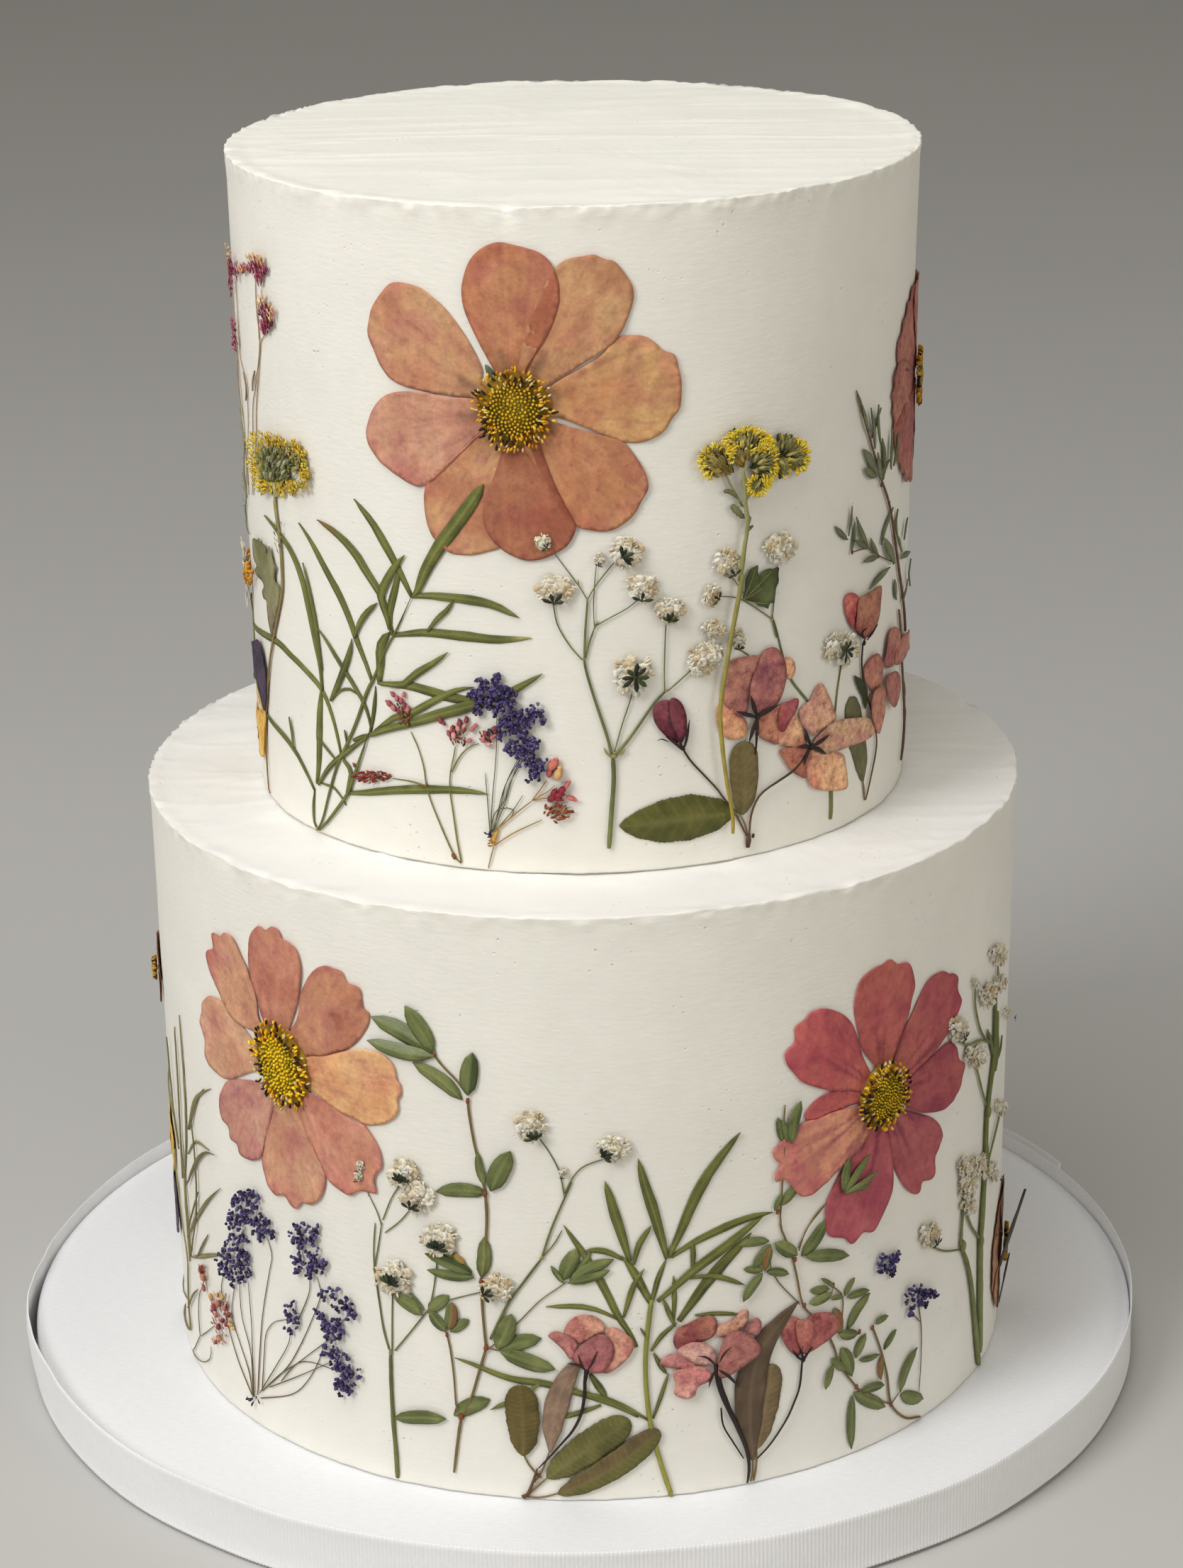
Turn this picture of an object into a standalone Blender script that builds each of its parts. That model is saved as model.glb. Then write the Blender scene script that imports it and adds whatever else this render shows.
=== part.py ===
"""Two-tier wedding cake with pressed flowers, built together with its board.

Metres, +Z up.  The origin is the middle of the board's underside, the front of
the cake looks along -Y.  Every pressed flower, leaf and sprig is a thin solid
that is drawn flat, unrolled from the wall of its tier, and then bent round it.
"""
import math

import bmesh
import bpy
from mathutils import Vector
from mathutils.bvhtree import BVHTree
from mathutils.geometry import delaunay_2d_cdt

for old in list(bpy.data.objects):
    bpy.data.objects.remove(old, do_unlink=True)

# ---------------------------------------------------------------- sizes (m)
BOARD_R = 0.1390            # drum under the cake, an eleven inch one
BOARD_H = 0.0120
BOARD_EDGE = 0.0012         # rounding of the drum's edge
RIBBON_W = 0.0150           # ribbon round the drum, stands proud of its top
RIBBON_T = 0.0005
RIBBON_LIFT = 0.0003

GAP = 0.0003                # clearance between pieces that touch
FACETS = 48                 # sides of every round piece
WELD = 0.00003              # points of an outline closer than this are one

LOWER_R_TOP = 0.1045        # eight inch tier with its icing
LOWER_R_FOOT = 0.1025
LOWER_H = 0.1447
LOWER_AT = (0.0020, -0.0090)

UPPER_R_TOP = 0.0792        # six inch tier with its icing
UPPER_R_FOOT = 0.0768
UPPER_H = 0.1505
UPPER_AT = (0.0018, -0.0112)

LIP = 0.0006                # icing lip at the rim of each tier
CROWN = 0.0008              # tops are very slightly domed
WAVE = 0.00025              # unevenness of the hand-smoothed icing

PETAL_T = 0.0004            # pressed petals and leaves
LEAF_T = 0.00044
HEAD_T = 0.0006             # small flower heads
CLEAR = 0.0012              # height of the lowest stalk ends above a tier's foot
STEM_T = 0.0005
LAYER = 0.0010              # pitch of flowers that lie over one another

# viewpoint from which the flowers were laid out: picture x, y in a
# 1669 x 2212 frame are turned into a place on the wall of a tier
VIEW_W, VIEW_H, VIEW_F = 1669.0, 2212.0, 5484.0
VIEW_EYE = Vector((0.0023, -0.8961, 0.4681))
VIEW_PITCH, VIEW_ROLL, VIEW_YAW = 0.3442, -0.0142, 0.0019


class Tier:
    def __init__(self, at, r_top, r_foot, foot, height):
        self.at, self.r_top, self.r_foot = at, r_top, r_foot
        self.foot, self.height = foot, height
        self.r_mean = 0.5 * (r_top + r_foot)

    def radius(self, z):
        k = min(max((z - self.foot) / self.height, 0.0), 1.0)
        return self.r_foot + (self.r_top - self.r_foot) * k

    def spot(self, x, y):
        """Unrolled place (u, z) on the wall that is seen at picture x, y."""
        cp, sp = math.cos(VIEW_PITCH), math.sin(VIEW_PITCH)
        cy, sy = math.cos(VIEW_YAW), math.sin(VIEW_YAW)
        ahead = Vector((sy * cp, cy * cp, -sp))
        side = Vector((cy, -sy, 0.0))
        up = side.cross(ahead)
        cr, sr = math.cos(VIEW_ROLL), math.sin(VIEW_ROLL)
        right, top = cr * side + sr * up, cr * up - sr * side
        ray = (ahead + right * ((x - VIEW_W / 2) / VIEW_F)
               - top * ((y - VIEW_H / 2) / VIEW_F))
        ex, ey = VIEW_EYE.x - self.at[0], VIEW_EYE.y - self.at[1]
        a = ray.x * ray.x + ray.y * ray.y
        b = ex * ray.x + ey * ray.y
        z = self.foot + 0.5 * self.height
        for _ in range(4):
            c = ex * ex + ey * ey - self.radius(z) ** 2
            t = (-b - math.sqrt(max(b * b - a * c, 0.0))) / a
            z = VIEW_EYE.z + t * ray.z
        px, py = ex + t * ray.x, ey + t * ray.y
        return (math.atan2(px, -py) * self.r_mean, z)


LOWER = Tier(LOWER_AT, LOWER_R_TOP, LOWER_R_FOOT, BOARD_H + GAP, LOWER_H)
UPPER = Tier(UPPER_AT, UPPER_R_TOP, UPPER_R_FOOT,
             BOARD_H + GAP + LOWER_H + GAP, UPPER_H)

parts = bpy.data.collections.new("wedding_cake")
cutters = bpy.data.collections.new("cutters")
bpy.context.scene.collection.children.link(parts)
bpy.context.scene.collection.children.link(cutters)


def material(name, rgb, rough):
    mat = bpy.data.materials.get(name)
    if mat is None:
        mat = bpy.data.materials.new(name)
        mat.use_nodes = True
        node = mat.node_tree.nodes["Principled BSDF"]
        node.inputs["Base Color"].default_value = (*rgb, 1.0)
        node.inputs["Roughness"].default_value = rough
        node.inputs["Metallic"].default_value = 0.0
        mat.diffuse_color = (*rgb, 1.0)
    return mat


def turned(name, profile, at, mat, z0):
    """Solid of revolution: the profile runs from the axis at the top, down the
    outer side and back to the axis below."""
    mesh = bpy.data.meshes.new(name)
    obj = bpy.data.objects.new(name, mesh)
    parts.objects.link(obj)
    bm = bmesh.new()
    verts = [bm.verts.new((r, 0.0, z)) for r, z in profile]
    for p, q in zip(verts, verts[1:]):
        bm.edges.new((p, q))
    bm.to_mesh(mesh)
    bm.free()
    screw = obj.modifiers.new("turn", "SCREW")
    screw.steps = screw.render_steps = FACETS
    screw.use_merge_vertices = True
    screw.merge_threshold = 0.00001
    obj.location = (at[0], at[1], z0)
    obj.data.materials.append(mat)
    return obj


def bake(obj):
    """Turn the modifiers of an object into its mesh."""
    bpy.context.view_layer.update()
    deps = bpy.context.evaluated_depsgraph_get()
    mesh = bpy.data.meshes.new_from_object(obj.evaluated_get(deps))
    obj.modifiers.clear()
    obj.data = mesh
    return obj


def hand_smooth(obj, tier):
    """Wavering of the hand-smoothed icing: inwards only on the wall, a ragged
    rim, and shallow strokes on the top."""
    top = tier.height
    for v in obj.data.vertices:
        r = math.hypot(v.co.x, v.co.y)
        a = math.atan2(v.co.x, -v.co.y)
        waver = 0.5 + 0.25 * math.sin(5 * a + 0.7) + 0.25 * math.sin(9 * a + 2.1)
        if r > 0.9 * tier.r_foot and 0.0005 < v.co.z < top - 0.001:
            k = 1.0 - WAVE * waver * math.sin(math.pi * v.co.z / top) / r
            v.co.x *= k
            v.co.y *= k
        elif v.co.z >= top - 0.001 and r > 0.9 * tier.r_foot:
            v.co.z -= 2.0 * WAVE * (0.5 + 0.3 * math.sin(17 * a) + 0.2 * math.sin(29 * a + 1))
        elif v.co.z > 0.5 * top:
            v.co.z += WAVE * (math.sin(260 * v.co.x + 90 * v.co.y) - 1.0)


# ---------------------------------------------------------------- base pieces
white_board = material("board_white", (0.83, 0.84, 0.87), 0.65)
white_ribbon = material("ribbon_white", (0.80, 0.80, 0.82), 0.45)
icing = material("icing_ivory", (0.86, 0.83, 0.73), 0.55)

bpy.ops.mesh.primitive_cylinder_add(vertices=FACETS, radius=BOARD_R, depth=BOARD_H,
                                    location=(0.0, 0.0, BOARD_H / 2),
                                    rotation=(0.0, 0.0, 0.0))
board = bpy.context.object
board.name = board.data.name = "board"
for coll in list(board.users_collection):
    coll.objects.unlink(board)
parts.objects.link(board)
board.data.materials.append(white_board)
edge = board.modifiers.new("edge", "BEVEL")
edge.width = BOARD_EDGE
edge.segments = 1
edge.limit_method = "ANGLE"
edge.angle_limit = math.radians(60)

r_in = BOARD_R + GAP
turned("board_ribbon",
       [(r_in, RIBBON_W), (r_in + RIBBON_T, RIBBON_W),
        (r_in + RIBBON_T, 0.0), (r_in, 0.0), (r_in, RIBBON_W)],
       (0.0, 0.0), white_ribbon, RIBBON_LIFT)


def tier_profile(tier):
    h, rt, rf = tier.height, tier.r_top, tier.r_foot
    return [(0.0, h - LIP + CROWN), (0.62 * rt, h - LIP + 0.6 * CROWN),
            (rt - 0.0022, h), (rt, h - 0.0004), (rt - 0.0004, h - 0.0030),
            (0.5 * (rt + rf), 0.5 * h), (rf, 0.0), (0.0, 0.0)]


for label, tier in (("lower_tier", LOWER), ("upper_tier", UPPER)):
    body = bake(turned(label, tier_profile(tier), tier.at, icing, tier.foot))
    hand_smooth(body, tier)
    body.data.shade_smooth()
    body.data.set_sharp_from_angle(angle=math.radians(35))


# ---------------------------------------------------------------- flat shapes
def leaf_outline(a, b, half, bend=0.0, fat=0.5, n=6):
    """Oval leaf from its stalk end a to its tip b, bent sideways."""
    a, b = Vector(a), Vector(b)
    d = b - a
    s = Vector((-d.y, d.x)).normalized()
    left, right = [], []
    for i in range(1, n):
        k = i / n
        w = half * math.sin(math.pi * k ** (math.log(0.5) / math.log(fat))) ** 0.8
        mid = a + d * k + s * (bend * 4 * k * (1 - k))
        left.append(mid + s * w)
        right.append(mid - s * w)
    return [a] + right + [b] + left[::-1]


def strip_outline(path, w0, w1):
    """Stem: a strip along the path, w0 wide at its foot and w1 at its end."""
    path = [Vector(p) for p in path]
    left, right = [], []
    for i, p in enumerate(path):
        q = path[min(i + 1, len(path) - 1)]
        o = path[max(i - 1, 0)]
        s = Vector((-(q - o).y, (q - o).x)).normalized()
        w = 0.5 * (w0 + (w1 - w0) * i / (len(path) - 1))
        left.append(p + s * w)
        right.append(p - s * w)
    return right + left[::-1]


def rosette_outline(c, tips, spread, core, n):
    """Flower of petals round c: each tip gives a petal's direction and length,
    spread its half angle."""
    c = Vector(c)
    petals = []
    for t in tips:
        d = Vector(t) - c
        petals.append((math.atan2(d.y, d.x), d.length))
    out = []
    for i in range(n):
        f = 2 * math.pi * (i + 0.25) / n
        r = core
        for direction, length in petals:
            off = abs((f - direction + math.pi) % (2 * math.pi) - math.pi)
            if off < spread:
                r = max(r, length * math.cos(0.5 * math.pi * off / spread) ** 0.3)
        out.append(c + Vector((math.cos(f), math.sin(f))) * r)
    return out


def round_outline(c, rx, ry=None, n=7, rough=0.0, turn=0.0):
    """Small flower head, a little uneven."""
    ry = rx if ry is None else ry
    out = []
    for i in range(n):
        f = 2 * math.pi * i / n
        k = 1.0 + rough * math.sin(3 * f + 5 * turn)
        x, y = rx * k * math.cos(f), ry * k * math.sin(f)
        out.append(Vector((c[0] + x * math.cos(turn) - y * math.sin(turn),
                           c[1] + x * math.sin(turn) + y * math.cos(turn))))
    return out


def flat_sheet(outlines):
    """The outlines united in the plane, as one flat sheet."""
    points, loops = [], []
    for outline in outlines:
        loops.append(list(range(len(points), len(points) + len(outline))))
        points += [Vector((q[0], q[1])) for q in outline]
    flat, _, faces, _, _, inside = delaunay_2d_cdt(points, [], loops, 0, WELD)
    bm = bmesh.new()
    verts = [bm.verts.new((q[0], q[1], 0.0)) for q in flat]
    for face, owners in zip(faces, inside):
        if owners:
            bm.faces.new([verts[i] for i in face])
    bmesh.ops.delete(bm, geom=[v for v in bm.verts if not v.link_faces], context="VERTS")
    bmesh.ops.recalc_face_normals(bm, faces=bm.faces)
    return bm


def flat_union(outlines, thick):
    """Closed flat solid from outlines that overlap.  Where two of them meet in
    just a point, a small round spot joins them."""
    outlines = list(outlines)
    for _ in range(4):
        bm = flat_sheet(outlines)
        weak = [v.co.copy() for v in bm.verts
                if sum(1 for e in v.link_edges if e.is_boundary) > 2]
        if not weak:
            break
        outlines += [round_outline(q, 0.0004, n=6) for q in weak]
        bm.free()
    bmesh.ops.dissolve_limit(bm, angle_limit=0.06, verts=bm.verts, edges=bm.edges)
    bmesh.ops.translate(bm, vec=(0, 0, -thick / 2), verts=bm.verts)
    top = bmesh.ops.extrude_face_region(bm, geom=bm.faces[:])
    bmesh.ops.translate(bm, vec=(0, 0, thick),
                        verts=[g for g in top["geom"] if isinstance(g, bmesh.types.BMVert)])
    bmesh.ops.recalc_face_normals(bm, faces=bm.faces)
    return bm


LAID = {}      # flat flowers already laid on each tier, layer by layer


class Pressed:
    """One pressed plant: flat pieces united, then bent round its tier."""

    def __init__(self, name, tier, mat, origin=None):
        self.name, self.tier, self.mat = name, tier, mat
        self.origin = origin          # (angle in degrees, height) or None
        self.pieces = []

    def at(self, p):
        """Place on the unrolled wall: from picture x, y, or for a plant with
        an origin from millimetres across and up."""
        if self.origin is None:
            u, z = self.tier.spot(*p)
        else:
            a, h = self.origin
            u = math.radians(a) * self.tier.r_mean + p[0] / 1000
            z = self.tier.foot + h + p[1] / 1000
        return Vector((u, max(z, self.tier.foot + CLEAR)))

    def stem(self, *path, w=1.2, end=None):
        pts = [self.at(p) for p in path]
        self.pieces.append((strip_outline(pts, w / 1000, (end or w) / 1000), STEM_T))
        return self

    def leaf(self, a, b, half, bend=0.0, fat=0.5, n=5):
        self.pieces.append((leaf_outline(self.at(a), self.at(b), half / 1000,
                                         bend / 1000, fat, n), LEAF_T))
        return self

    def flower(self, c, tips, spread, core=3.0, n=40):
        self.pieces.append((rosette_outline(self.at(c), [self.at(t) for t in tips],
                                            math.radians(spread), core / 1000, n),
                            PETAL_T))
        return self

    def head(self, c, r, ry=None, n=6, rough=0.0, turn=0.0):
        self.pieces.append((round_outline(self.at(c), r / 1000,
                                          ry and ry / 1000, n, rough, turn), HEAD_T))
        return self

    def lay(self):
        bm = flat_union([o for o, _ in self.pieces], max(t for _, t in self.pieces))
        # lowest layer in which nothing laid before is crossed
        test = bm.copy()
        bmesh.ops.triangulate(test, faces=test.faces)
        for v in test.verts:
            v.co.z *= 1.3
        tree = BVHTree.FromBMesh(test)
        layers = LAID.setdefault(self.tier, [])
        level = 0
        while level < len(layers) and any(tree.overlap(o) for o in layers[level]):
            level += 1
        if level == len(layers):
            layers.append([])
        for v in test.verts:
            v.co.z = v.co.z / 1.3 + 0.00005
        layers[level].append(BVHTree.FromBMesh(test))
        test.free()
        # cut into the upright strips of the tier's own facets
        pitch = 2 * math.pi * self.tier.r_mean / FACETS
        lo = min(v.co.x for v in bm.verts)
        hi = max(v.co.x for v in bm.verts)
        k = math.ceil(lo / pitch)
        while k * pitch < hi:
            bmesh.ops.bisect_plane(bm, geom=bm.verts[:] + bm.edges[:] + bm.faces[:],
                                   dist=0.00002, plane_co=(k * pitch, 0, 0),
                                   plane_no=(1, 0, 0))
            k += 1
        # bend round the wall
        mean, at = self.tier.r_mean, self.tier.at
        base = GAP + HEAD_T / 2 + 0.00003 + LAYER * level
        for v in bm.verts:
            r = self.tier.radius(v.co.y) + base + v.co.z
            a0 = math.floor(v.co.x / pitch + 1e-6)
            k = v.co.x / pitch - a0
            if abs(k) < 1e-4 or abs(k - 1) < 1e-4:
                k = round(k)
            p = []
            for s in (a0, a0 + 1):
                t = s * pitch / mean
                p.append(Vector((r * math.sin(t), -r * math.cos(t))))
            q = p[0] * (1 - k) + p[1] * k
            v.co = (at[0] + q.x, at[1] + q.y, v.co.y)
        bmesh.ops.recalc_face_normals(bm, faces=bm.faces)
        if bm.calc_volume(signed=True) < 0:
            bmesh.ops.reverse_faces(bm, faces=bm.faces)
        mesh = bpy.data.meshes.new(self.name)
        bm.to_mesh(mesh)
        bm.free()
        obj = bpy.data.objects.new(self.name, mesh)
        parts.objects.link(obj)
        mesh.materials.append(self.mat)
        return obj


# ---------------------------------------------------------------- colours
SALMON = material("petal_salmon", (0.52, 0.24, 0.16), 0.7)
ROSE = material("petal_rose", (0.40, 0.11, 0.13), 0.7)
PEACH = material("petal_peach", (0.60, 0.33, 0.26), 0.7)
YELLOW = material("yarrow_yellow", (0.55, 0.30, 0.04), 0.8)
GREEN = material("leaf_green", (0.14, 0.17, 0.06), 0.7)
OLIVE = material("leaf_olive", (0.12, 0.10, 0.04), 0.7)
PURPLE_LEAF = material("leaf_purple", (0.12, 0.08, 0.07), 0.7)
LACE = material("lace_violet", (0.05, 0.04, 0.13), 0.8)
BURGUNDY = material("persicaria_red", (0.30, 0.07, 0.08), 0.75)
CREAM = material("gypsophila_cream", (0.62, 0.54, 0.38), 0.8)
VIOLA = material("viola_dark", (0.06, 0.04, 0.09), 0.7)
VIOLA_Y = material("viola_yellow", (0.70, 0.42, 0.05), 0.7)


# ---------------------------------------------------------------- plant kinds
def sprig(name, tier, mat, foot, branches, origin=None, w=1.1, n=5):
    """Stem from the foot through a fork, with a head at the end of each branch:
    branches are (fork, head, size)."""
    p = Pressed(name, tier, mat, origin)
    for path, size in branches:
        p.stem(foot, *path, w=w, end=0.7 * w)
        if size:
            p.head(path[-1], size, n=n, turn=0.4)
    return p.lay()


def cosmos(name, tier, mat, c, tips, spread=24.0, origin=None, core=8.0, n=40):
    return Pressed(name, tier, mat, origin).flower(c, tips, spread, core, n).lay()


def single_leaf(name, tier, mat, stalk, base, tip, half, bend=0.0, fat=0.5, origin=None):
    p = Pressed(name, tier, mat, origin)
    p.leaf(base, tip, half, bend, fat)
    if stalk:
        over = tuple(b + 0.15 * (t - b) for b, t in zip(base, tip))
        p.stem(stalk, over, w=1.1)
    return p.lay()


def feather_leaf(name, tier, foot, lobes, origin=None, w=2.0):
    """Cosmos leaf: narrow lobes that fork off one foot."""
    p = Pressed(name, tier, GREEN, origin)
    for path, width in lobes:
        path = (foot,) + tuple(path)
        p.stem(*path, w=0.9 * width, end=0.4 * width)
    return p.lay()


# ---------------------------------------------------------------- upper tier
# Plants are laid in the order in which they lie on the icing, lowest first.
feather_leaf("cosmos_leaf_upper", UPPER, (449, 1184), [
    (((452, 960), (448, 733)), 1.6),
    (((440, 1080), (420, 738)), 1.3),
    (((480, 1060), (470, 880), (373, 726)), 1.4),
    (((480, 1060), (560, 880), (619, 766)), 3.2),
    (((480, 1060), (530, 985), (668, 969)), 2.2),
    (((490, 1119), (688, 1119)), 1.6),
    (((440, 1110), (372, 995)), 1.3),
    (((480, 1010), (359, 885)), 1.3),
    (((480, 1040), (620, 950), (750, 900)), 1.6),
])
cosmos("cosmos_upper", UPPER, SALMON, (727, 575), [
    (548, 454), (707, 344), (860, 385), (957, 543), (889, 716), (764, 789),
    (654, 775), (529, 628)])
Pressed("yarrow_upper_left", UPPER, YELLOW).stem(
    (378, 1146), (386, 900), (391, 680), w=1.6).head((398, 656), 8.6, 7.6, n=6, rough=0.06).lay()
single_leaf("lobed_leaf_upper_left", UPPER, OLIVE, None, (372, 893), (368, 758), 4.6)
Pressed("daisy_upper_left", UPPER, CREAM).stem(
    (345, 880), (344, 840), (342, 810), w=1.0).head((342, 806), 5.4, 5.4, n=6).lay()
Pressed("persicaria_upper_left", UPPER, BURGUNDY).stem(
    (345, 660), (350, 520), (364, 380), w=1.0).stem(
    (345, 660), (366, 540), (381, 447), w=0.9).head((364, 376), 3.4, 5.2, n=5).head(
    (381, 447), 3.0, 4.4, n=5).stem((347, 600), (340, 470), (333, 385), w=0.9).head(
    (333, 382), 3.0, 4.4, n=6).lay()
Pressed("viola_upper_left", UPPER, VIOLA_Y).leaf(
    (352, 1000), (350, 1070), 5.0, fat=0.55, n=5).leaf(
    (352, 1012), (360, 898), 5.4, fat=0.6, n=5).lay()
sprig("gypsophila_upper_mid", UPPER, CREAM, (859, 1195), [
    (((864, 1066), (824, 931), (767, 762)), 2.6),
    (((864, 1066), (839, 883), (846, 790)), 2.6),
    (((864, 1066), (870, 900), (884, 778)), 3.4),
    (((864, 1066), (890, 950), (946, 862)), 4.6),
    (((864, 1066), (905, 829)), 3.6),
    (((864, 1066), (940, 1000), (990, 925)), 3.4),
    (((864, 1066), (893, 950)), 3.6)])
sprig("persicaria_upper_mid", UPPER, BURGUNDY, (653, 1220), [
    (((600, 1110), (563, 1040), (558, 993)), 3.6),
    (((600, 1110), (527, 1096)), 2.8),
    (((640, 1070), (650, 1033)), 3.8),
    (((640, 1070), (690, 1036)), 3.2)], w=0.9)
Pressed("lace_upper", UPPER, LACE).stem(
    (693, 1174), (697, 1080), (702, 1000), w=0.9).stem(
    (693, 1174), (726, 1080), (745, 1030), w=0.9).head(
    (702, 978), 7.0, 5.2, n=6, rough=0.1).head((736, 1016), 7.0, 5.4, n=6, rough=0.1).head(
    (752, 1062), 4.6, 5.2, n=6, rough=0.1).stem((702, 978), (736, 1016), (752, 1062), w=3.0).lay()
sprig("persicaria_upper_small", UPPER, BURGUNDY, (689, 1229), [
    (((697, 1193), (765, 1120), (781, 1086)), 3.0),
    (((697, 1193), (762, 1165), (788, 1142)), 2.8)], w=0.9)
single_leaf("leaf_upper_green", UPPER, GREEN, None, (1030, 1170), (880, 1150), 5.8, bend=1.0)
single_leaf("leaf_upper_olive", UPPER, OLIVE, (1052, 1192), (1047, 1148), (1046, 1045), 4.6)
Pressed("crabapple_upper_mid", UPPER, PEACH).stem(
    (1054, 1192), (1060, 1100), (1066, 1000), w=1.6).stem(
    (1054, 1192), (1110, 1110), (1140, 1050), w=1.4).stem(
    (1054, 1192), (1000, 1100), (944, 1015), w=1.0).head((944, 1008), 3.0, 4.2, n=5).flower(
    (1066, 1005), [(1020, 960), (1060, 911), (1112, 940), (1118, 1010), (1060, 1046), (1018, 1012)],
    36, 5.0, 20).flower(
    (1140, 1050), [(1103, 1010), (1150, 963), (1215, 985), (1231, 1050), (1170, 1113), (1105, 1090)],
    36, 5.0, 20).lay()
Pressed("yarrow_upper_right", UPPER, YELLOW).stem(
    (1030, 1172), (1014, 1048), (1017, 940), (1037, 851), (1044, 690), w=1.3).stem(
    (1037, 851), (1090, 740), (1108, 660), w=1.0).stem((1037, 851), (1018, 730), (1010, 670), w=1.0).head(
    (1010, 652), 5.4, 5.4, n=6).head((1050, 646), 7.4, 9.2, n=6).head((1110, 642), 4.8, 5.4, n=6).lay()
single_leaf("lobed_leaf_upper_right", UPPER, GREEN, None, (1090, 868), (1070, 797), 4.6)
sprig("gypsophila_upper_right", UPPER, CREAM, (1171, 1155), [
    (((1120, 980), (1089, 871), (1098, 773)), 4.2),
    (((1120, 980), (1060, 860), (1021, 795)), 3.4),
    (((1120, 980), (1018, 889)), 3.6),
    (((1150, 1050), (1185, 916)), 4.4)])
single_leaf("leaf_upper_right", UPPER, OLIVE, (1217, 1129), (1205, 1085), (1200, 983), 5.2)
Pressed("crabapple_upper_right", UPPER, PEACH).stem(
    (1217, 1129), (1225, 1040), (1244, 940), w=1.3).stem(
    (1217, 1129), (1196, 1000), (1214, 870), w=1.0).head((1214, 864), 5.0, 5.6, n=6).flower(
    (1244, 940), [(1218, 985), (1220, 900), (1258, 890), (1262, 960)], 42, 5.0, 20).lay()
Pressed("sprig_upper_right", UPPER, GREEN).stem(
    (1262, 1072), (1250, 900), (1226, 700), (1208, 548), w=1.5).leaf(
    (1232, 745), (1180, 716), 1.7, n=3).leaf((1238, 800), (1182, 770), 1.7, n=3).leaf(
    (1226, 690), (1246, 640), 1.7, n=3).leaf((1222, 650), (1190, 600), 1.7, n=3).lay()
cosmos("cosmos_upper_right", UPPER, SALMON, (1268, 560), [
    (1244, 470), (1268, 420), (1284, 480), (1284, 620), (1268, 690), (1246, 640)],
    spread=30, n=30)

# ---------------------------------------------------------------- lower tier
feather_leaf("cosmos_leaf_lower", LOWER, (942, 2106), [
    (((916, 2012), (800, 1960), (642, 1914)), 1.7),
    (((916, 2012), (850, 1960), (692, 1990)), 1.5),
    (((916, 2012), (905, 1850), (853, 1665)), 1.6),
    (((916, 2012), (925, 1830), (900, 1634)), 1.8),
    (((916, 2012), (890, 1850), (796, 1729)), 1.5),
    (((916, 2012), (960, 1800), (1043, 1598)), 2.0),
    (((916, 2012), (985, 1850), (1090, 1710)), 1.8),
    (((916, 2012), (860, 1900), (780, 1843)), 1.5)])
cosmos("cosmos_lower_left", LOWER, SALMON, (401, 1497), [
    (304, 1322), (368, 1305), (488, 1368), (566, 1545), (538, 1664), (430, 1702),
    (340, 1600), (286, 1444)])
Pressed("grass_lower_left", LOWER, GREEN).stem(
    (264, 1900), (272, 1700), (262, 1440), w=1.2).stem(
    (264, 1900), (285, 1700), (300, 1590), w=1.2).stem(
    (264, 1900), (284, 1800), (312, 1680), w=1.2).stem((280, 1815), (300, 1776), (316, 1768), w=1.3).lay()
Pressed("viola_lower_left", LOWER, VIOLA_Y).leaf(
    (248, 1650), (244, 1567), 4.6, n=5).leaf((248, 1640), (252, 1744), 4.6, n=5).lay()
Pressed("flower_edge_lower_left", LOWER, PEACH).leaf(
    (233, 1430), (229, 1290), 4.0, n=6).lay()
Pressed("persicaria_lower_left", LOWER, BURGUNDY).stem(
    (276, 1915), (285, 1860), (289, 1800), w=0.9).head((289, 1800), 3.0, 5.0, n=5).stem(
    (276, 1915), (300, 1895), (312, 1862), w=0.9).head((313, 1862), 4.4, 7.0, n=6).lay()
Pressed("lace_lower_left", LOWER, LACE).stem(
    (360, 1972), (348, 1790), w=0.9).stem(
    (360, 1972), (384, 1830), (378, 1735), w=0.9).stem(
    (360, 1972), (446, 1795), w=0.9).stem(
    (360, 1972), (440, 1920), (484, 1905), w=0.9).stem(
    (364, 1960), (414, 1855), w=0.8).head(
    (352, 1705), 5.0, 6.4, n=6, rough=0.08).head((377, 1732), 4.0, 4.4, n=5, rough=0.08).head(
    (342, 1764), 5.0, 7.4, n=6, rough=0.08).head((438, 1758), 5.6, 8.4, n=6, rough=0.08).head(
    (481, 1833), 5.4, 3.6, n=6, rough=0.08).head((474, 1870), 4.6, 4.2, n=5, rough=0.08).head(
    (486, 1928), 5.0, 7.6, n=6, rough=0.08).head((414, 1857), 2.6, 4.6, n=5).stem(
    (352, 1705), (377, 1732), w=3.0).stem((440, 1800), (481, 1833), w=1.0).stem(
    (440, 1920), (474, 1870), w=1.0).stem((352, 1705), (342, 1764), w=3.0).lay()
sprig("gypsophila_lower_left", LOWER, CREAM, (561, 2081), [
    (((552, 1906), (529, 1791), (536, 1728), (512, 1652)), 3.0),
    (((552, 1906), (540, 1790), (580, 1675)), 3.2),
    (((552, 1906), (561, 1803)), 4.6),
    (((552, 1906), (590, 1820), (622, 1751)), 4.4),
    (((555, 1940), (640, 1870), (700, 1821)), 4.0)], w=1.8)
p = Pressed("oval_leaf_sprig_lower", LOWER, GREEN).stem(
    (641, 2076), (650, 2004), (684, 1903), (678, 1809), (685, 1688), (661, 1554), (622, 1498), w=1.5)
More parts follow.
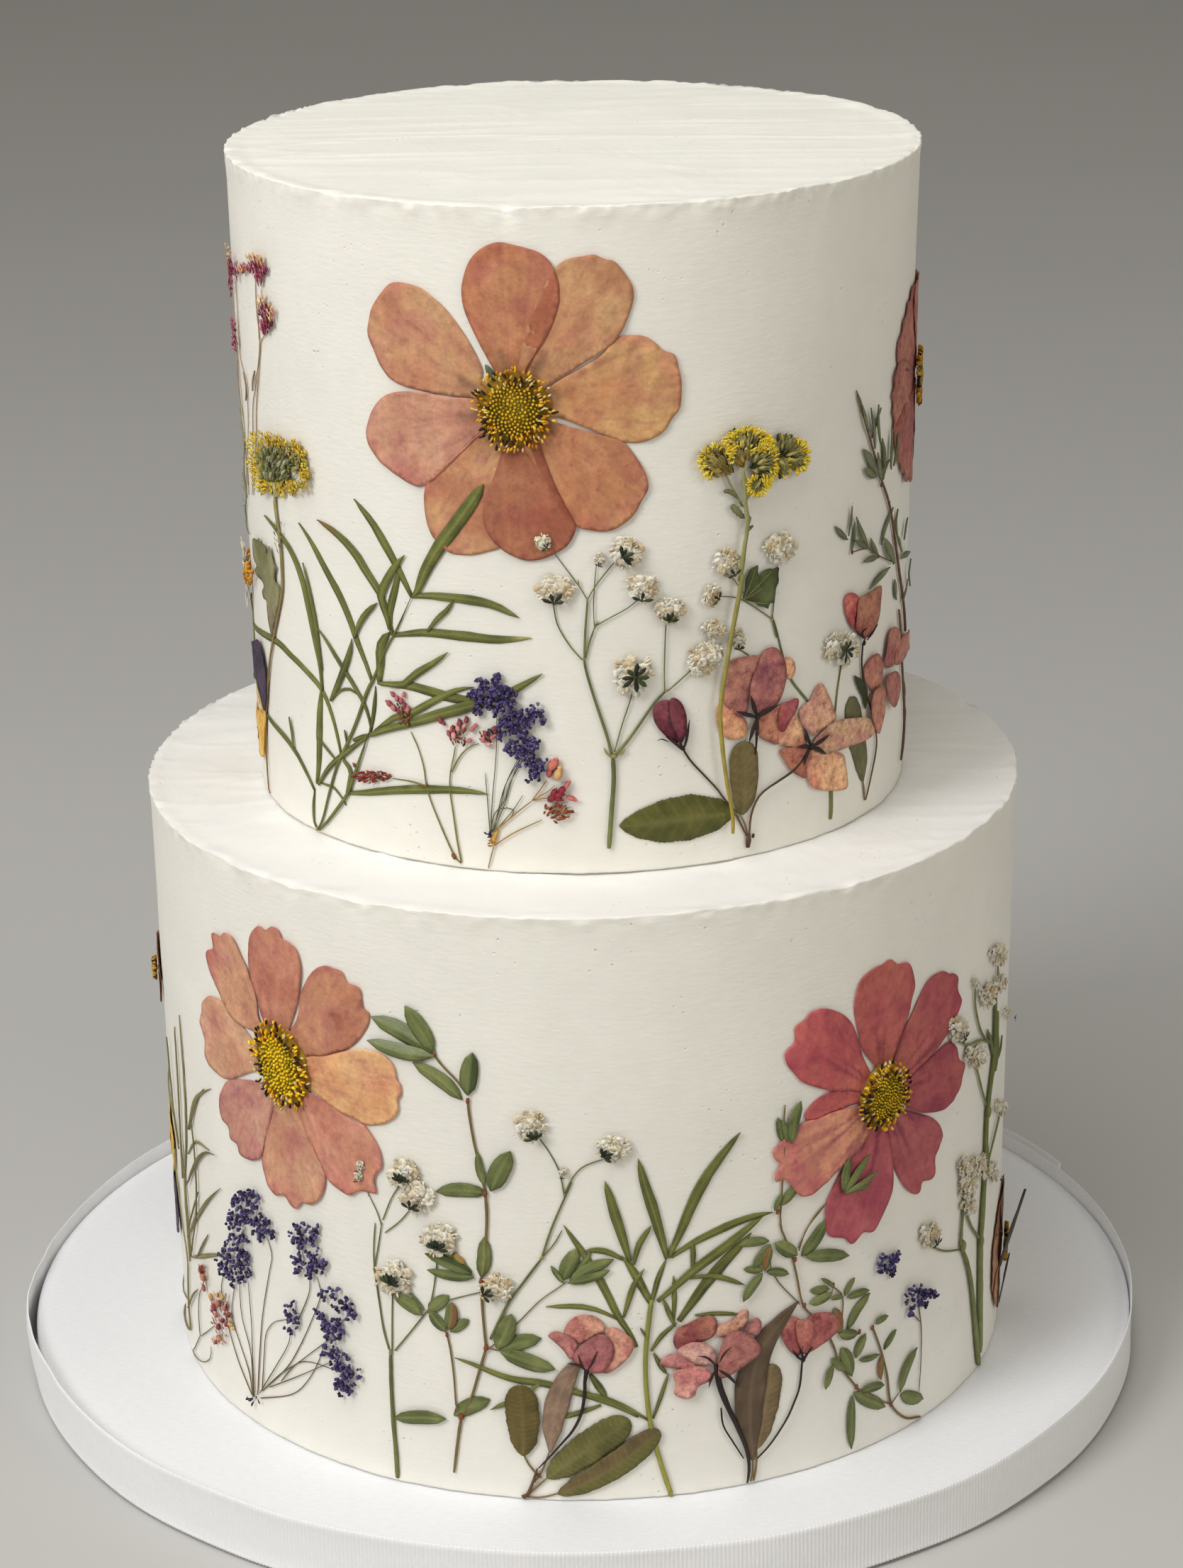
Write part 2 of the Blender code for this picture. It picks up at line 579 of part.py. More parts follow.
for joint, tip in (((661, 1554), (622, 1530)), ((661, 1554), (700, 1520)), ((685, 1688), (640, 1650)),
                   ((685, 1688), (730, 1660)), ((678, 1809), (628, 1780)), ((678, 1809), (728, 1790)),
                   ((684, 1903), (640, 1925)), ((684, 1903), (735, 1885)), ((650, 2004), (560, 1998)),
                   ((650, 2004), (696, 1975))):
    p.leaf(joint, tip, 2.4, n=2)
p.lay()
sprig("gypsophila_lower_mid", LOWER, CREAM, (692, 1890), [
    (((765, 1770), (796, 1685), (749, 1588)), 4.4),
    (((765, 1770), (796, 1685), (862, 1621)), 4.2)])
single_leaf("leaf_lower_purple_mid", LOWER, PURPLE_LEAF, (764, 2068), (775, 2042), (800, 1905), 5.0, bend=1.0)
single_leaf("leaf_lower_olive_mid", LOWER, OLIVE, (764, 2083), (746, 2047), (732, 1952), 4.6)
single_leaf("leaf_lower_long", LOWER, GREEN, (740, 2118), (789, 2105), (932, 2016), 5.0, bend=1.2)
single_leaf("leaf_lower_green", LOWER, GREEN, (744, 2107), (774, 2075), (886, 2000), 6.0, bend=0.6)
Pressed("crabapple_lower_mid", LOWER, PEACH).stem(
    (763, 2066), (815, 1980), (832, 1895), w=0.9).flower(
    (832, 1893), [(776, 1880), (800, 1858), (850, 1857), (893, 1880), (880, 1928), (800, 1925)],
    34, 4.0, 20).lay()
single_leaf("leaf_lower_purple_right", LOWER, PURPLE_LEAF, (1052, 2096), (1056, 2044), (1082, 1836), 7.6)
single_leaf("leaf_lower_brown_right", LOWER, OLIVE, None, (1078, 2040), (1098, 1925), 3.6)
Pressed("crabapple_lower_right", LOWER, PEACH).stem(
    (1052, 2096), (1040, 2000), (1030, 1930), w=1.2).stem(
    (1052, 2096), (1010, 1990), (975, 1930), w=1.0).flower(
    (1024, 1915), [(1000, 1860), (1044, 1848), (1070, 1900), (1056, 1960), (1004, 1960)],
    38, 4.0, 22).flower((965, 1925), [(934, 1925), (950, 1896), (985, 1892), (990, 1950), (950, 1962)],
                        38, 3.0, 20).lay()
Pressed("crabapple_bud_lower", LOWER, PEACH).stem(
    (1066, 2056), (1120, 1970), (1134, 1900), w=0.9).head((1140, 1880), 7.4, 5.2, n=6).lay()
cosmos("cosmos_lower_right", LOWER, ROSE, (1242, 1544), [
    (1252, 1354), (1342, 1376), (1356, 1500), (1308, 1664), (1199, 1752), (1105, 1650),
    (1140, 1570), (1106, 1440)])
p = Pressed("oval_leaf_sprig_lower_right", LOWER, GREEN).stem(
    (1297, 2016), (1257, 1981), (1205, 1960), (1132, 1845), (1120, 1777), (1098, 1710), (1112, 1585), w=1.4)
for joint, tip in (((1112, 1590), (1128, 1552)), ((1098, 1710), (1140, 1690)), ((1120, 1777), (1080, 1750)),
                   ((1120, 1777), (1168, 1760)), ((1132, 1845), (1178, 1830)), ((1205, 1960), (1236, 1900)),
                   ((1205, 1960), (1196, 2040)), ((1257, 1981), (1300, 1940)), ((1257, 1981), (1208, 1978))):
    p.leaf(joint, tip, 2.4, n=2)
p.lay()
Pressed("lace_lower_right", LOWER, LACE).stem(
    (1296, 1961), (1298, 1880), (1297, 1830), w=0.8).head((1297, 1830), 3.0, 3.6, n=5).stem(
    (1298, 1880), (1250, 1785), w=0.8).head((1250, 1783), 2.8, 3.2, n=6).lay()
sprig("gypsophila_lower_right", LOWER, CREAM, (1376, 1933), [
    (((1374, 1640), (1404, 1346)), 3.0),
    (((1374, 1640), (1390, 1500), (1374, 1387)), 3.2),
    (((1374, 1800), (1352, 1455)), 3.4),
    (((1366, 1800), (1362, 1690)), 4.4),
    (((1366, 1800), (1307, 1748)), 3.2)], w=1.3)
single_leaf("leaf_edge_lower_right", LOWER, OLIVE, None, (1407, 1772), (1409, 1686), 5.0)
Pressed("flower_edge_lower_right", LOWER, PEACH).leaf(
    (1398, 1890), (1404, 1700), 3.4, n=6).lay()

# ---------------------------------------------------------------- the back
# Millimetres across and up from a place on the wall (degrees from the front).


def ring_tips(n, r, squash=1.0, turn=0.0, uneven=0.06):
    out = []
    for i in range(n):
        f = 2 * math.pi * i / n + turn
        k = r * (1 + uneven * math.sin(2.7 * i + turn))
        out.append((k * math.cos(f), k * squash * math.sin(f)))
    return out


def feather_lobes(h):
    return [((( 0.0, 0.35 * h), (-0.06 * h, 0.7 * h), (-0.20 * h, h)), 1.7),
            (((0.0, 0.35 * h), (0.04 * h, 0.7 * h), (0.10 * h, 1.02 * h)), 1.8),
            (((0.0, 0.35 * h), (0.16 * h, 0.6 * h), (0.34 * h, 0.84 * h)), 1.8),
            (((0.0, 0.35 * h), (-0.16 * h, 0.5 * h), (-0.34 * h, 0.66 * h)), 1.6),
            (((0.0, 0.35 * h), (0.18 * h, 0.42 * h), (0.36 * h, 0.52 * h)), 1.6),
            (((0.0, 0.12 * h), (-0.14 * h, 0.26 * h), (-0.28 * h, 0.34 * h)), 1.5)]


def spray_branches(h):
    return [(((0.0, 0.45 * h), (-0.10 * h, 0.72 * h), (-0.14 * h, h)), 3.8),
            (((0.0, 0.45 * h), (0.06 * h, 0.7 * h), (0.04 * h, 0.93 * h)), 4.4),
            (((0.0, 0.45 * h), (0.18 * h, 0.66 * h), (0.24 * h, 0.84 * h)), 4.2),
            (((0.0, 0.30 * h), (-0.20 * h, 0.52 * h), (-0.26 * h, 0.68 * h)), 3.8)]


feather_leaf("cosmos_leaf_upper_back", UPPER, (0, 0), feather_lobes(82.0), origin=(150, 0.008))
cosmos("cosmos_upper_back", UPPER, ROSE, (0, 0), ring_tips(8, 35.0, 1.0, 0.2), origin=(182, 0.096))
sprig("gypsophila_upper_back", UPPER, CREAM, (0, 0), spray_branches(78.0), origin=(225, 0.006))
Pressed("yarrow_upper_back", UPPER, YELLOW, (122, 0.006)).stem(
    (0, 0), (2, 45), (0, 92), w=1.6).head((0, 96), 9.0, 8.0, n=6, rough=0.06).lay()
Pressed("crabapple_upper_back", UPPER, PEACH, (196, 0.006)).stem(
    (0, 0), (6, 16), (10, 34), w=1.4).flower(
    (10, 34), [(10 + x, 34 + y) for x, y in ring_tips(5, 14.0, 1.0, 0.5)], 38, 5.0, 20).lay()

feather_leaf("cosmos_leaf_lower_back", LOWER, (0, 0), feather_lobes(88.0), origin=(205, 0.006))
cosmos("cosmos_lower_back_left", LOWER, SALMON, (0, 0), ring_tips(8, 35.0, 1.0, 0.5), origin=(238, 0.090))
cosmos("cosmos_lower_back_right", LOWER, ROSE, (0, 0), ring_tips(8, 33.0, 1.0, 0.1), origin=(142, 0.084))
Pressed("lace_lower_back", LOWER, LACE, (171, 0.006)).stem(
    (0, 0), (-8, 30), (-14, 56), w=0.9).stem((0, 0), (2, 34), (2, 66), w=0.9).stem(
    (0, 0), (9, 26), (16, 46), w=0.9).head((-14, 58), 6.0, 7.0, n=6, rough=0.08).head(
    (2, 68), 6.0, 7.0, n=6, rough=0.08).head((16, 48), 6.0, 5.0, n=6, rough=0.08).lay()


def sway(y):
    return 2.0 * math.sin(y / 20.0)


p = Pressed("oval_leaf_sprig_lower_back", LOWER, GREEN, (112, 0.006)).stem(
    *[(sway(y), y) for y in range(0, 105, 9)], w=1.5)
for i in range(1, 6):
    y = 18.0 * i
    for s in (-1, 1):
        p.leaf((sway(y), y), (sway(y) + s * 8.5, y + 4.0 + 1.5 * s), 2.4, n=2)
p.leaf((sway(98), 98), (1, 114), 2.2, n=4)
p.lay()
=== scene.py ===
import math

import bpy
import numpy as np
from mathutils import Matrix, Vector
from mathutils.geometry import delaunay_2d_cdt


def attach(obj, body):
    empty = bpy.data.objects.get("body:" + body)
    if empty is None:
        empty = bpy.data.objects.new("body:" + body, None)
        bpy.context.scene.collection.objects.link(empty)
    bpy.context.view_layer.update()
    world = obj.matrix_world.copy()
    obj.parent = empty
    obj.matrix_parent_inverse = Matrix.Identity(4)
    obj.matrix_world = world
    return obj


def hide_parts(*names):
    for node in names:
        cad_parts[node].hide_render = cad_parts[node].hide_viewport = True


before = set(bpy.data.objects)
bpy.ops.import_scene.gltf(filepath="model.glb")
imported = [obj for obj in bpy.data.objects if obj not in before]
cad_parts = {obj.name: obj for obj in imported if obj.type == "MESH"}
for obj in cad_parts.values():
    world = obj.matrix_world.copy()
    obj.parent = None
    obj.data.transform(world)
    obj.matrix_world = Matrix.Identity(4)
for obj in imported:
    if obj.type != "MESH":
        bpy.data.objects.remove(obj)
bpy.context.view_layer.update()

# ============================================================ frame and sizes
FW, FH, FOCAL = 1669.0, 2212.0, 5484.0
EYE = np.array([0.0023, -0.8961, 0.4681])
PITCH, ROLL, YAW = 0.3442, -0.0142, 0.0019

_cp, _sp = math.cos(PITCH), math.sin(PITCH)
_cy, _sy = math.cos(YAW), math.sin(YAW)
AHEAD = np.array([_sy * _cp, _cy * _cp, -_sp])
_side = np.array([_cy, -_sy, 0.0])
_up = np.cross(_side, AHEAD)
RIGHT = math.cos(ROLL) * _side + math.sin(ROLL) * _up
TOP = math.cos(ROLL) * _up - math.sin(ROLL) * _side

BOARD_R, BOARD_H = 0.1390, 0.0120
RIBBON_W, RIBBON_Z = 0.0150, 0.0003

rng = np.random.default_rng(41)


# ============================================================ noise
def _hash(ix, iy, iz, seed):
    n = (ix * 73856093) ^ (iy * 19349663) ^ (iz * 83492791) ^ (seed * 40503 + 7919)
    n = n & 0x7fffffff
    n = ((n ^ (n >> 13)) * 1274126177) & 0x7fffffff
    n = n ^ (n >> 16)
    return (n & 0xffff) / 32767.5 - 1.0


def vn(p, seed=0):
    """Smooth value noise, -1 to 1, at the points p (n, 3)."""
    p = np.asarray(p, float)
    i = np.floor(p).astype(np.int64)
    f = p - i
    f = f * f * (3 - 2 * f)
    out = 0.0
    for dx in (0, 1):
        wx = f[..., 0] if dx else 1 - f[..., 0]
        for dy in (0, 1):
            wy = f[..., 1] if dy else 1 - f[..., 1]
            for dz in (0, 1):
                wz = f[..., 2] if dz else 1 - f[..., 2]
                out = out + wx * wy * wz * _hash(i[..., 0] + dx, i[..., 1] + dy, i[..., 2] + dz, seed)
    return out


def fbm(p, octaves=4, seed=0, gain=0.5):
    s, a, t = 0.0, 1.0, 0.0
    p = np.asarray(p, float)
    for o in range(octaves):
        s = s + a * vn(p * (2.0 ** o) + 17.3 * o, seed + o)
        t += a
        a *= gain
    return s / t


def n2(x, y, scale, seed=0, octaves=3):
    """Noise over a flat place (x, y in metres), scale in features a metre."""
    return fbm(np.stack([x * scale, y * scale, np.full_like(x, seed * 3.7)], -1), octaves, seed)


def sstep(a, b, x):
    t = np.clip((x - a) / (b - a), 0, 1)
    return t * t * (3 - 2 * t)


def mixc(a, b, t):
    return np.asarray(a)[None, :] * (1 - t[:, None]) + np.asarray(b)[None, :] * t[:, None]


def srgb(r, g, b):
    """8-bit screen colour to linear."""
    c = np.array([r, g, b]) / 255.0
    return np.where(c <= 0.04045, c / 12.92, ((c + 0.055) / 1.055) ** 2.4)


# ============================================================ tiers
class Tier:
    def __init__(self, name, at, rt, rf, foot, h, seed):
        self.name, self.at, self.rt, self.rf = name, at, rt, rf
        self.foot, self.h, self.seed = foot, h, seed
        self.mean = 0.5 * (rt + rf)
        self.under = []          # outlines already laid, for shading of what covers them
        self.nicks = ()

    def radius(self, z):
        return self.rf + (self.rt - self.rf) * np.clip((z - self.foot) / self.h, 0, 1)

    def dents(self, x, y, z):
        """Small hand-made unevenness of the icing wall, at a place on it."""
        p = np.stack([x, y, z], -1)
        low = 0.00028 * fbm(p * 26, 2, self.seed)
        mid = 0.00007 * fbm(p * 110 * np.array([1, 1, 0.45]), 2, self.seed + 5)
        return low + mid - 0.00015

    def wall(self, u, z, w):
        """From the unrolled wall (u along, z up, w out) to space."""
        u, z = np.asarray(u, float), np.asarray(z, float)
        a = u / self.mean
        r = self.radius(z)
        s, c = np.sin(a), np.cos(a)
        r = r + self.dents(r * s, -r * c, z) + w
        return np.stack([self.at[0] + r * s, self.at[1] - r * c, z], -1)

    def spot(self, px, py):
        """Place (u, z) on the wall that is seen at picture x, y."""
        px, py = np.asarray(px, float), np.asarray(py, float)
        ray = (AHEAD[None, :] + RIGHT[None, :] * ((px - FW / 2) / FOCAL)[..., None]
               - TOP[None, :] * ((py - FH / 2) / FOCAL)[..., None])
        ex, ey = EYE[0] - self.at[0], EYE[1] - self.at[1]
        a = ray[..., 0] ** 2 + ray[..., 1] ** 2
        b = ex * ray[..., 0] + ey * ray[..., 1]
        z = np.full(a.shape, self.foot + 0.5 * self.h)
        for _ in range(5):
            c = ex * ex + ey * ey - self.radius(z) ** 2
            t = (-b - np.sqrt(np.maximum(b * b - a * c, 0.0))) / a
            z = EYE[2] + t * ray[..., 2]
        x, y = ex + t * ray[..., 0], ey + t * ray[..., 1]
        u = np.arctan2(x, -y) * self.mean
        # what stands past the outline of the wall carries on round it
        miss = np.maximum(np.sqrt(x * x + y * y) - self.radius(z), 0.0)
        u = u + np.sign(x) * np.where(miss > 1e-7, np.sqrt(2 * self.mean * miss), 0.0)
        return np.stack([u, np.maximum(z, self.foot + 0.0006)], -1)


LOWER = Tier("lower", (0.0020, -0.0090), 0.1045, 0.1025, 0.0123, 0.1447, 11)
UPPER = Tier("upper", (0.0018, -0.0112), 0.0792, 0.0768, 0.1573, 0.1505, 23)
UPPER.nicks = ((711, 292, 0.0019, 0.0013), (470, 284, 0.0030, 0.0006), (980, 290, 0.0035, 0.0006))
LOWER.nicks = ((322, 1270, 0.0028, 0.0008), (410, 1290, 0.0020, 0.0007), (505, 1300, 0.0030, 0.0008),
               (580, 1305, 0.0018, 0.0006), (1190, 1290, 0.0028, 0.0006))


class View:
    """Turns points drawn in an enlarged window of the picture frame into
    places on a tier's wall."""

    def __init__(self, tier, ox=0.0, oy=0.0, scale=1.0):
        self.tier, self.ox, self.oy, self.s = tier, ox, oy, scale

    def __call__(self, pts):
        p = np.atleast_2d(np.asarray(pts, float))
        return self.tier.spot(self.ox + p[:, 0] / self.s, self.oy + p[:, 1] / self.s)


class EdgeView(View):
    """The same, with what lies by the left outline brought in to the wall."""

    def __call__(self, pts):
        p = np.atleast_2d(np.asarray(pts, float))
        x, y = self.ox + p[:, 0] / self.s, self.oy + p[:, 1] / self.s
        x = x + (8.0 * sstep(430.0, 620.0, y) + 6.0 * sstep(620.0, 880.0, y)) * (1 - sstep(345.0, 400.0, x))
        return self.tier.spot(x, y)


class Place:
    """Millimetres across and up from a place on the wall, for the back."""

    def __init__(self, tier, angle, height, turn=0.0, scale=1.0):
        self.tier, self.turn, self.scale = tier, math.radians(turn), scale
        self.o = np.array([math.radians(angle) * tier.mean, tier.foot + height])

    def __call__(self, pts):
        p = np.atleast_2d(np.asarray(pts, float)) * self.scale / 1000.0
        c, s = math.cos(self.turn), math.sin(self.turn)
        q = np.stack([p[:, 0] * c - p[:, 1] * s, p[:, 0] * s + p[:, 1] * c], -1)
        return self.o[None, :] + q


# ============================================================ mesh building
class Build:
    """Collects vertices, faces, colours and material numbers of one piece."""

    def __init__(self):
        self.v, self.c, self.f, self.m, self.n = [], [], [], [], 0

    def add(self, v, f, c, m=0):
        v = np.asarray(v, float).reshape(-1, 3)
        c = np.asarray(c, float)
        if c.ndim == 1:
            c = np.tile(c[None, :], (len(v), 1))
        self.v.append(v)
        self.c.append(c)
        for q in f:
            q = np.asarray(q, np.int64)
            self.f.append(q + self.n)
            self.m.append(np.full(len(q), m, np.int32))
        self.n += len(v)

    def object(self, name, mats):
        v = np.concatenate(self.v)
        c = np.clip(np.concatenate(self.c), 0.0, 1.0)
        me = bpy.data.meshes.new(name)
        sizes = [q.shape[1] for q in self.f for _ in range(len(q))]
        loops = np.concatenate([q.ravel() for q in self.f])
        sizes = np.concatenate([np.full(len(q), q.shape[1], np.int32) for q in self.f])
        me.vertices.add(len(v))
        me.vertices.foreach_set("co", v.astype(np.float32).ravel())
        me.loops.add(len(loops))
        me.loops.foreach_set("vertex_index", loops.astype(np.int32))
        me.polygons.add(len(sizes))
        starts = np.concatenate([[0], np.cumsum(sizes)[:-1]]).astype(np.int32)
        me.polygons.foreach_set("loop_start", starts)
        me.polygons.foreach_set("material_index", np.concatenate(self.m))
        me.update(calc_edges=True)
        me.validate()
        att = me.color_attributes.new("Col", "FLOAT_COLOR", "POINT")
        rgba = np.concatenate([c, np.ones((len(c), 1))], 1)
        att.data.foreach_set("color", rgba.astype(np.float32).ravel())
        for m in mats:
            me.materials.append(m)
        me.polygons.foreach_set("use_smooth", np.ones(len(me.polygons), bool))
        me.update()
        ob = bpy.data.objects.new(name, me)
        bpy.context.scene.collection.objects.link(ob)
        return ob


def grid_faces(nr, nc, close_c=False):
    """Quads of a grid with nr rows of nc points."""
    r = np.arange(nr - 1)[:, None]
    k = np.arange(nc if close_c else nc - 1)[None, :]
    a = r * nc + k
    b = r * nc + (k + 1) % nc
    return np.stack([a, b, b + nc, a + nc], -1).reshape(-1, 4)


def resample(p, step, closed=True):
    q = np.concatenate([p, p[:1]]) if closed else p
    d = np.sqrt(((q[1:] - q[:-1]) ** 2).sum(1))
    s = np.concatenate([[0], np.cumsum(d)])
    n = max(int(round(s[-1] / step)), 6 if closed else 2)
    t = np.linspace(0, s[-1], n + 1)[: n if closed else n + 1]
    return np.stack([np.interp(t, s, q[:, k]) for k in range(q.shape[1])], -1)


def spline(p, per=8, closed=False, tension=0.5):
    """Catmull-Rom through the points."""
    p = np.asarray(p, float)
    n = len(p)
    if n < 3 and not closed:
        return p
    out = []
    for i in range(n if closed else n - 1):
        p0 = p[(i - 1) % n] if closed or i > 0 else 2 * p[0] - p[1]
        p1, p2 = p[i], p[(i + 1) % n]
        p3 = p[(i + 2) % n] if closed or i + 2 < n else 2 * p[-1] - p[-2]
        m1, m2 = tension * (p2 - p0), tension * (p3 - p1)
        t = np.linspace(0, 1, per, endpoint=False)[:, None]
        out.append((2 * t ** 3 - 3 * t ** 2 + 1) * p1 + (t ** 3 - 2 * t ** 2 + t) * m1
                   + (-2 * t ** 3 + 3 * t ** 2) * p2 + (t ** 3 - t ** 2) * m2)
    if not closed:
        out.append(p[-1:])
    return np.concatenate(out)


def in_poly(pts, poly):
    x, y = pts[:, 0][:, None], pts[:, 1][:, None]
    x1, y1 = poly[:, 0][None, :], poly[:, 1][None, :]
    x2, y2 = np.roll(poly[:, 0], -1)[None, :], np.roll(poly[:, 1], -1)[None, :]
    cond = (y1 > y) != (y2 > y)
    xi = (x2 - x1) * (y - y1) / np.where(np.abs(y2 - y1) < 1e-15, 1e-15, y2 - y1) + x1
    return (np.sum(cond & (x < xi), 1) % 2) == 1


def dist_poly(pts, poly):
    a = poly[None, :, :]
    b = np.roll(poly, -1, 0)[None, :, :]
    p = pts[:, None, :]
    ab = b - a
    t = np.clip(((p - a) * ab).sum(-1) / np.maximum((ab * ab).sum(-1), 1e-18), 0, 1)
    q = a + ab * t[..., None]
    return np.sqrt(((p - q) ** 2).sum(-1)).min(1)


def fill(outline, spacing, seed=0):
    """Triangles over an outline (closed, in metres), with points inside."""
    area = 0.5 * np.sum(outline[:, 0] * np.roll(outline[:, 1], -1) - np.roll(outline[:, 0], -1) * outline[:, 1])
    if area < 0:
        outline = outline[::-1]
    lo, hi = outline.min(0), outline.max(0)
    nx, ny = int((hi[0] - lo[0]) / spacing) + 2, int((hi[1] - lo[1]) / (0.866 * spacing)) + 2
    gx, gy = np.meshgrid(np.arange(nx), np.arange(ny))
    g = np.stack([lo[0] + (gx + 0.5 * (gy % 2)) * spacing, lo[1] + gy * 0.866 * spacing], -1).reshape(-1, 2)
    r = np.random.default_rng(seed)
    g = g + (r.random(g.shape) - 0.5) * 0.3 * spacing
    g = g[in_poly(g, outline)]
    if len(g):
        g = g[dist_poly(g, outline) > 0.6 * spacing]
    pts = np.concatenate([outline, g]) if len(g) else outline
    v, _, f, _, _, own = delaunay_2d_cdt([Vector(q) for q in pts], [], [list(range(len(outline)))], 1, 1e-8)
    tris = [q for q, o in zip(f, own) if o and len(q) == 3]
    if not tris:
        print("empty outline", outline.mean(0), len(outline))
        return outline, None
    return np.array([[q[0], q[1]] for q in v]), np.array(tris, np.int64)


def sheet(B, tier, outline, w0, height, colour, thick=0.00014, spacing=0.0009, m=0, seed=0, register=None,
          see_through=1.0):
    """One thin petal or leaf: closed, its face a height above the wall, its
    colour a function of place and distance to the edge."""
    P, T = fill(outline, spacing, seed)
    if T is None:
        return
    d = dist_poly(P, outline)
    w = w0 + height(P, d)
    w = np.maximum(w, 0.00006)
    c = colour(P, d)
    # painted shade: where this sheet lies over an outline laid earlier, its colour is multiplied by that outline's
    # tint, fading in from the outline's edge, for the darker look of two thin layers lying over each other
    for poly, lo, hi, tint in tier.under:
        if see_through <= 0:
            break
        near = (P[:, 0] > lo[0]) & (P[:, 0] < hi[0]) & (P[:, 1] > lo[1]) & (P[:, 1] < hi[1])
        if near.any():
            idx = np.nonzero(near)[0]
            ins = in_poly(P[idx], poly)
            if ins.any():
                idx = idx[ins]
                e = sstep(0.0, 0.0007, dist_poly(P[idx], poly))[:, None] * see_through
                c[idx] = c[idx] * (1 - e + e * tint[None, :])
    top = tier.wall(P[:, 0], P[:, 1], w)
    bot = tier.wall(P[:, 0], P[:, 1], w - thick)
    n = len(P)
    # outer edges, in order, for the wall between the two faces
    E = np.concatenate([T[:, [0, 1]], T[:, [1, 2]], T[:, [2, 0]]])
    key = {}
    for a, b in E:
        key[(int(a), int(b))] = True
    rim = np.array([(a, b) for a, b in key if (b, a) not in key], np.int64)
    walls = np.stack([rim[:, 0], rim[:, 0] + n, rim[:, 1] + n, rim[:, 1]], -1)
    # painted shade: the under face is painted 8% darker than the top face, so the edge walls darken towards the icing
    B.add(np.concatenate([top, bot]), [T, T[:, ::-1] + n, walls], np.concatenate([c, c * 0.92]), m)
    if register is not None:
        pad = 0.0001
        tier.under.append((outline, outline.min(0) - pad, outline.max(0) + pad, np.asarray(register, float)))


def tube(B, tier, path, r0, r1, col0, col1=None, w0=0.0003, m=1, sides=6, flat=0.7, seed=0, knots=(), lift=0.0,
         wobble=0.0):
    """A stem pressed on the wall: a flattened tube along the path (u, z)."""
    p = spline(np.asarray(path, float), 7)
    p = resample(p, 0.0016, closed=False)
    n = len(p)
    k = np.linspace(0, 1, n)
    d = np.gradient(p, axis=0)
    d /= np.maximum(np.sqrt((d ** 2).sum(1))[:, None], 1e-12)
    s = np.stack([-d[:, 1], d[:, 0]], -1)
    if wobble:
        p = p + s * (wobble * n2(p[:, 0], p[:, 1], 160, seed, 2))[:, None]
    r = r0 + (r1 - r0) * k
    r = r * (1 + 0.14 * n2(p[:, 0], p[:, 1], 420, seed + 3, 2))
    for at, size in knots:
        r = r * (1 + size * np.exp(-((k - at) / (0.0011 / max(0.004, 0.0016 * n))) ** 2))
    r[0] *= 0.8
    r[-1] *= 0.75
    a = 2 * math.pi * np.arange(sides) / sides
    off = r[:, None] * np.cos(a)[None, :]
    hgt = w0 + lift * np.sin(math.pi * k)[:, None] + flat * r[:, None] * (np.sin(a)[None, :])
    P = p[:, None, :] + s[:, None, :] * off[..., None]
    w = hgt + 0.35 * flat * r[:, None]
    v = tier.wall(P[..., 0].ravel(), P[..., 1].ravel(), w.ravel())
    f = grid_faces(n, sides, True)[:, ::-1]
    caps = []
    for row, rev in ((0, False), (n - 1, True)):
        ring = row * sides + np.arange(sides)
        tri = np.array([[ring[0], ring[i], ring[i + 1]] for i in range(1, sides - 1)])
        caps.append(tri[:, ::-1] if rev else tri)
    col1 = col0 if col1 is None else col1
    c = mixc(col0, col1, np.repeat(k, sides))
    # colour grain, and painted shade: the outward side of the stem is painted up to 10% lighter and the side against
    # the icing up to 10% darker
    g = 1 + 0.22 * n2(P[..., 0].ravel(), P[..., 1].ravel(), 900, seed + 9, 2) \
        + 0.10 * np.tile(np.sin(a), n)
    B.add(v, [f] + caps, c * g[:, None], m)
    return p


# ============================================================ materials
def new_mat(name, rough, spec=0.4):
    mat = bpy.data.materials.new(name)
    mat.use_nodes = True
    nt = mat.node_tree
    b = nt.nodes["Principled BSDF"]
    b.inputs["Roughness"].default_value = rough
    b.inputs["Specular IOR Level"].default_value = spec
    return mat, nt, b


def add_node(nt, kind, **kw):
    n = nt.nodes.new(kind)
    for k, v in kw.items():
        if k in n.inputs:
            n.inputs[k].default_value = v
        else:
            setattr(n, k, v)
    return n


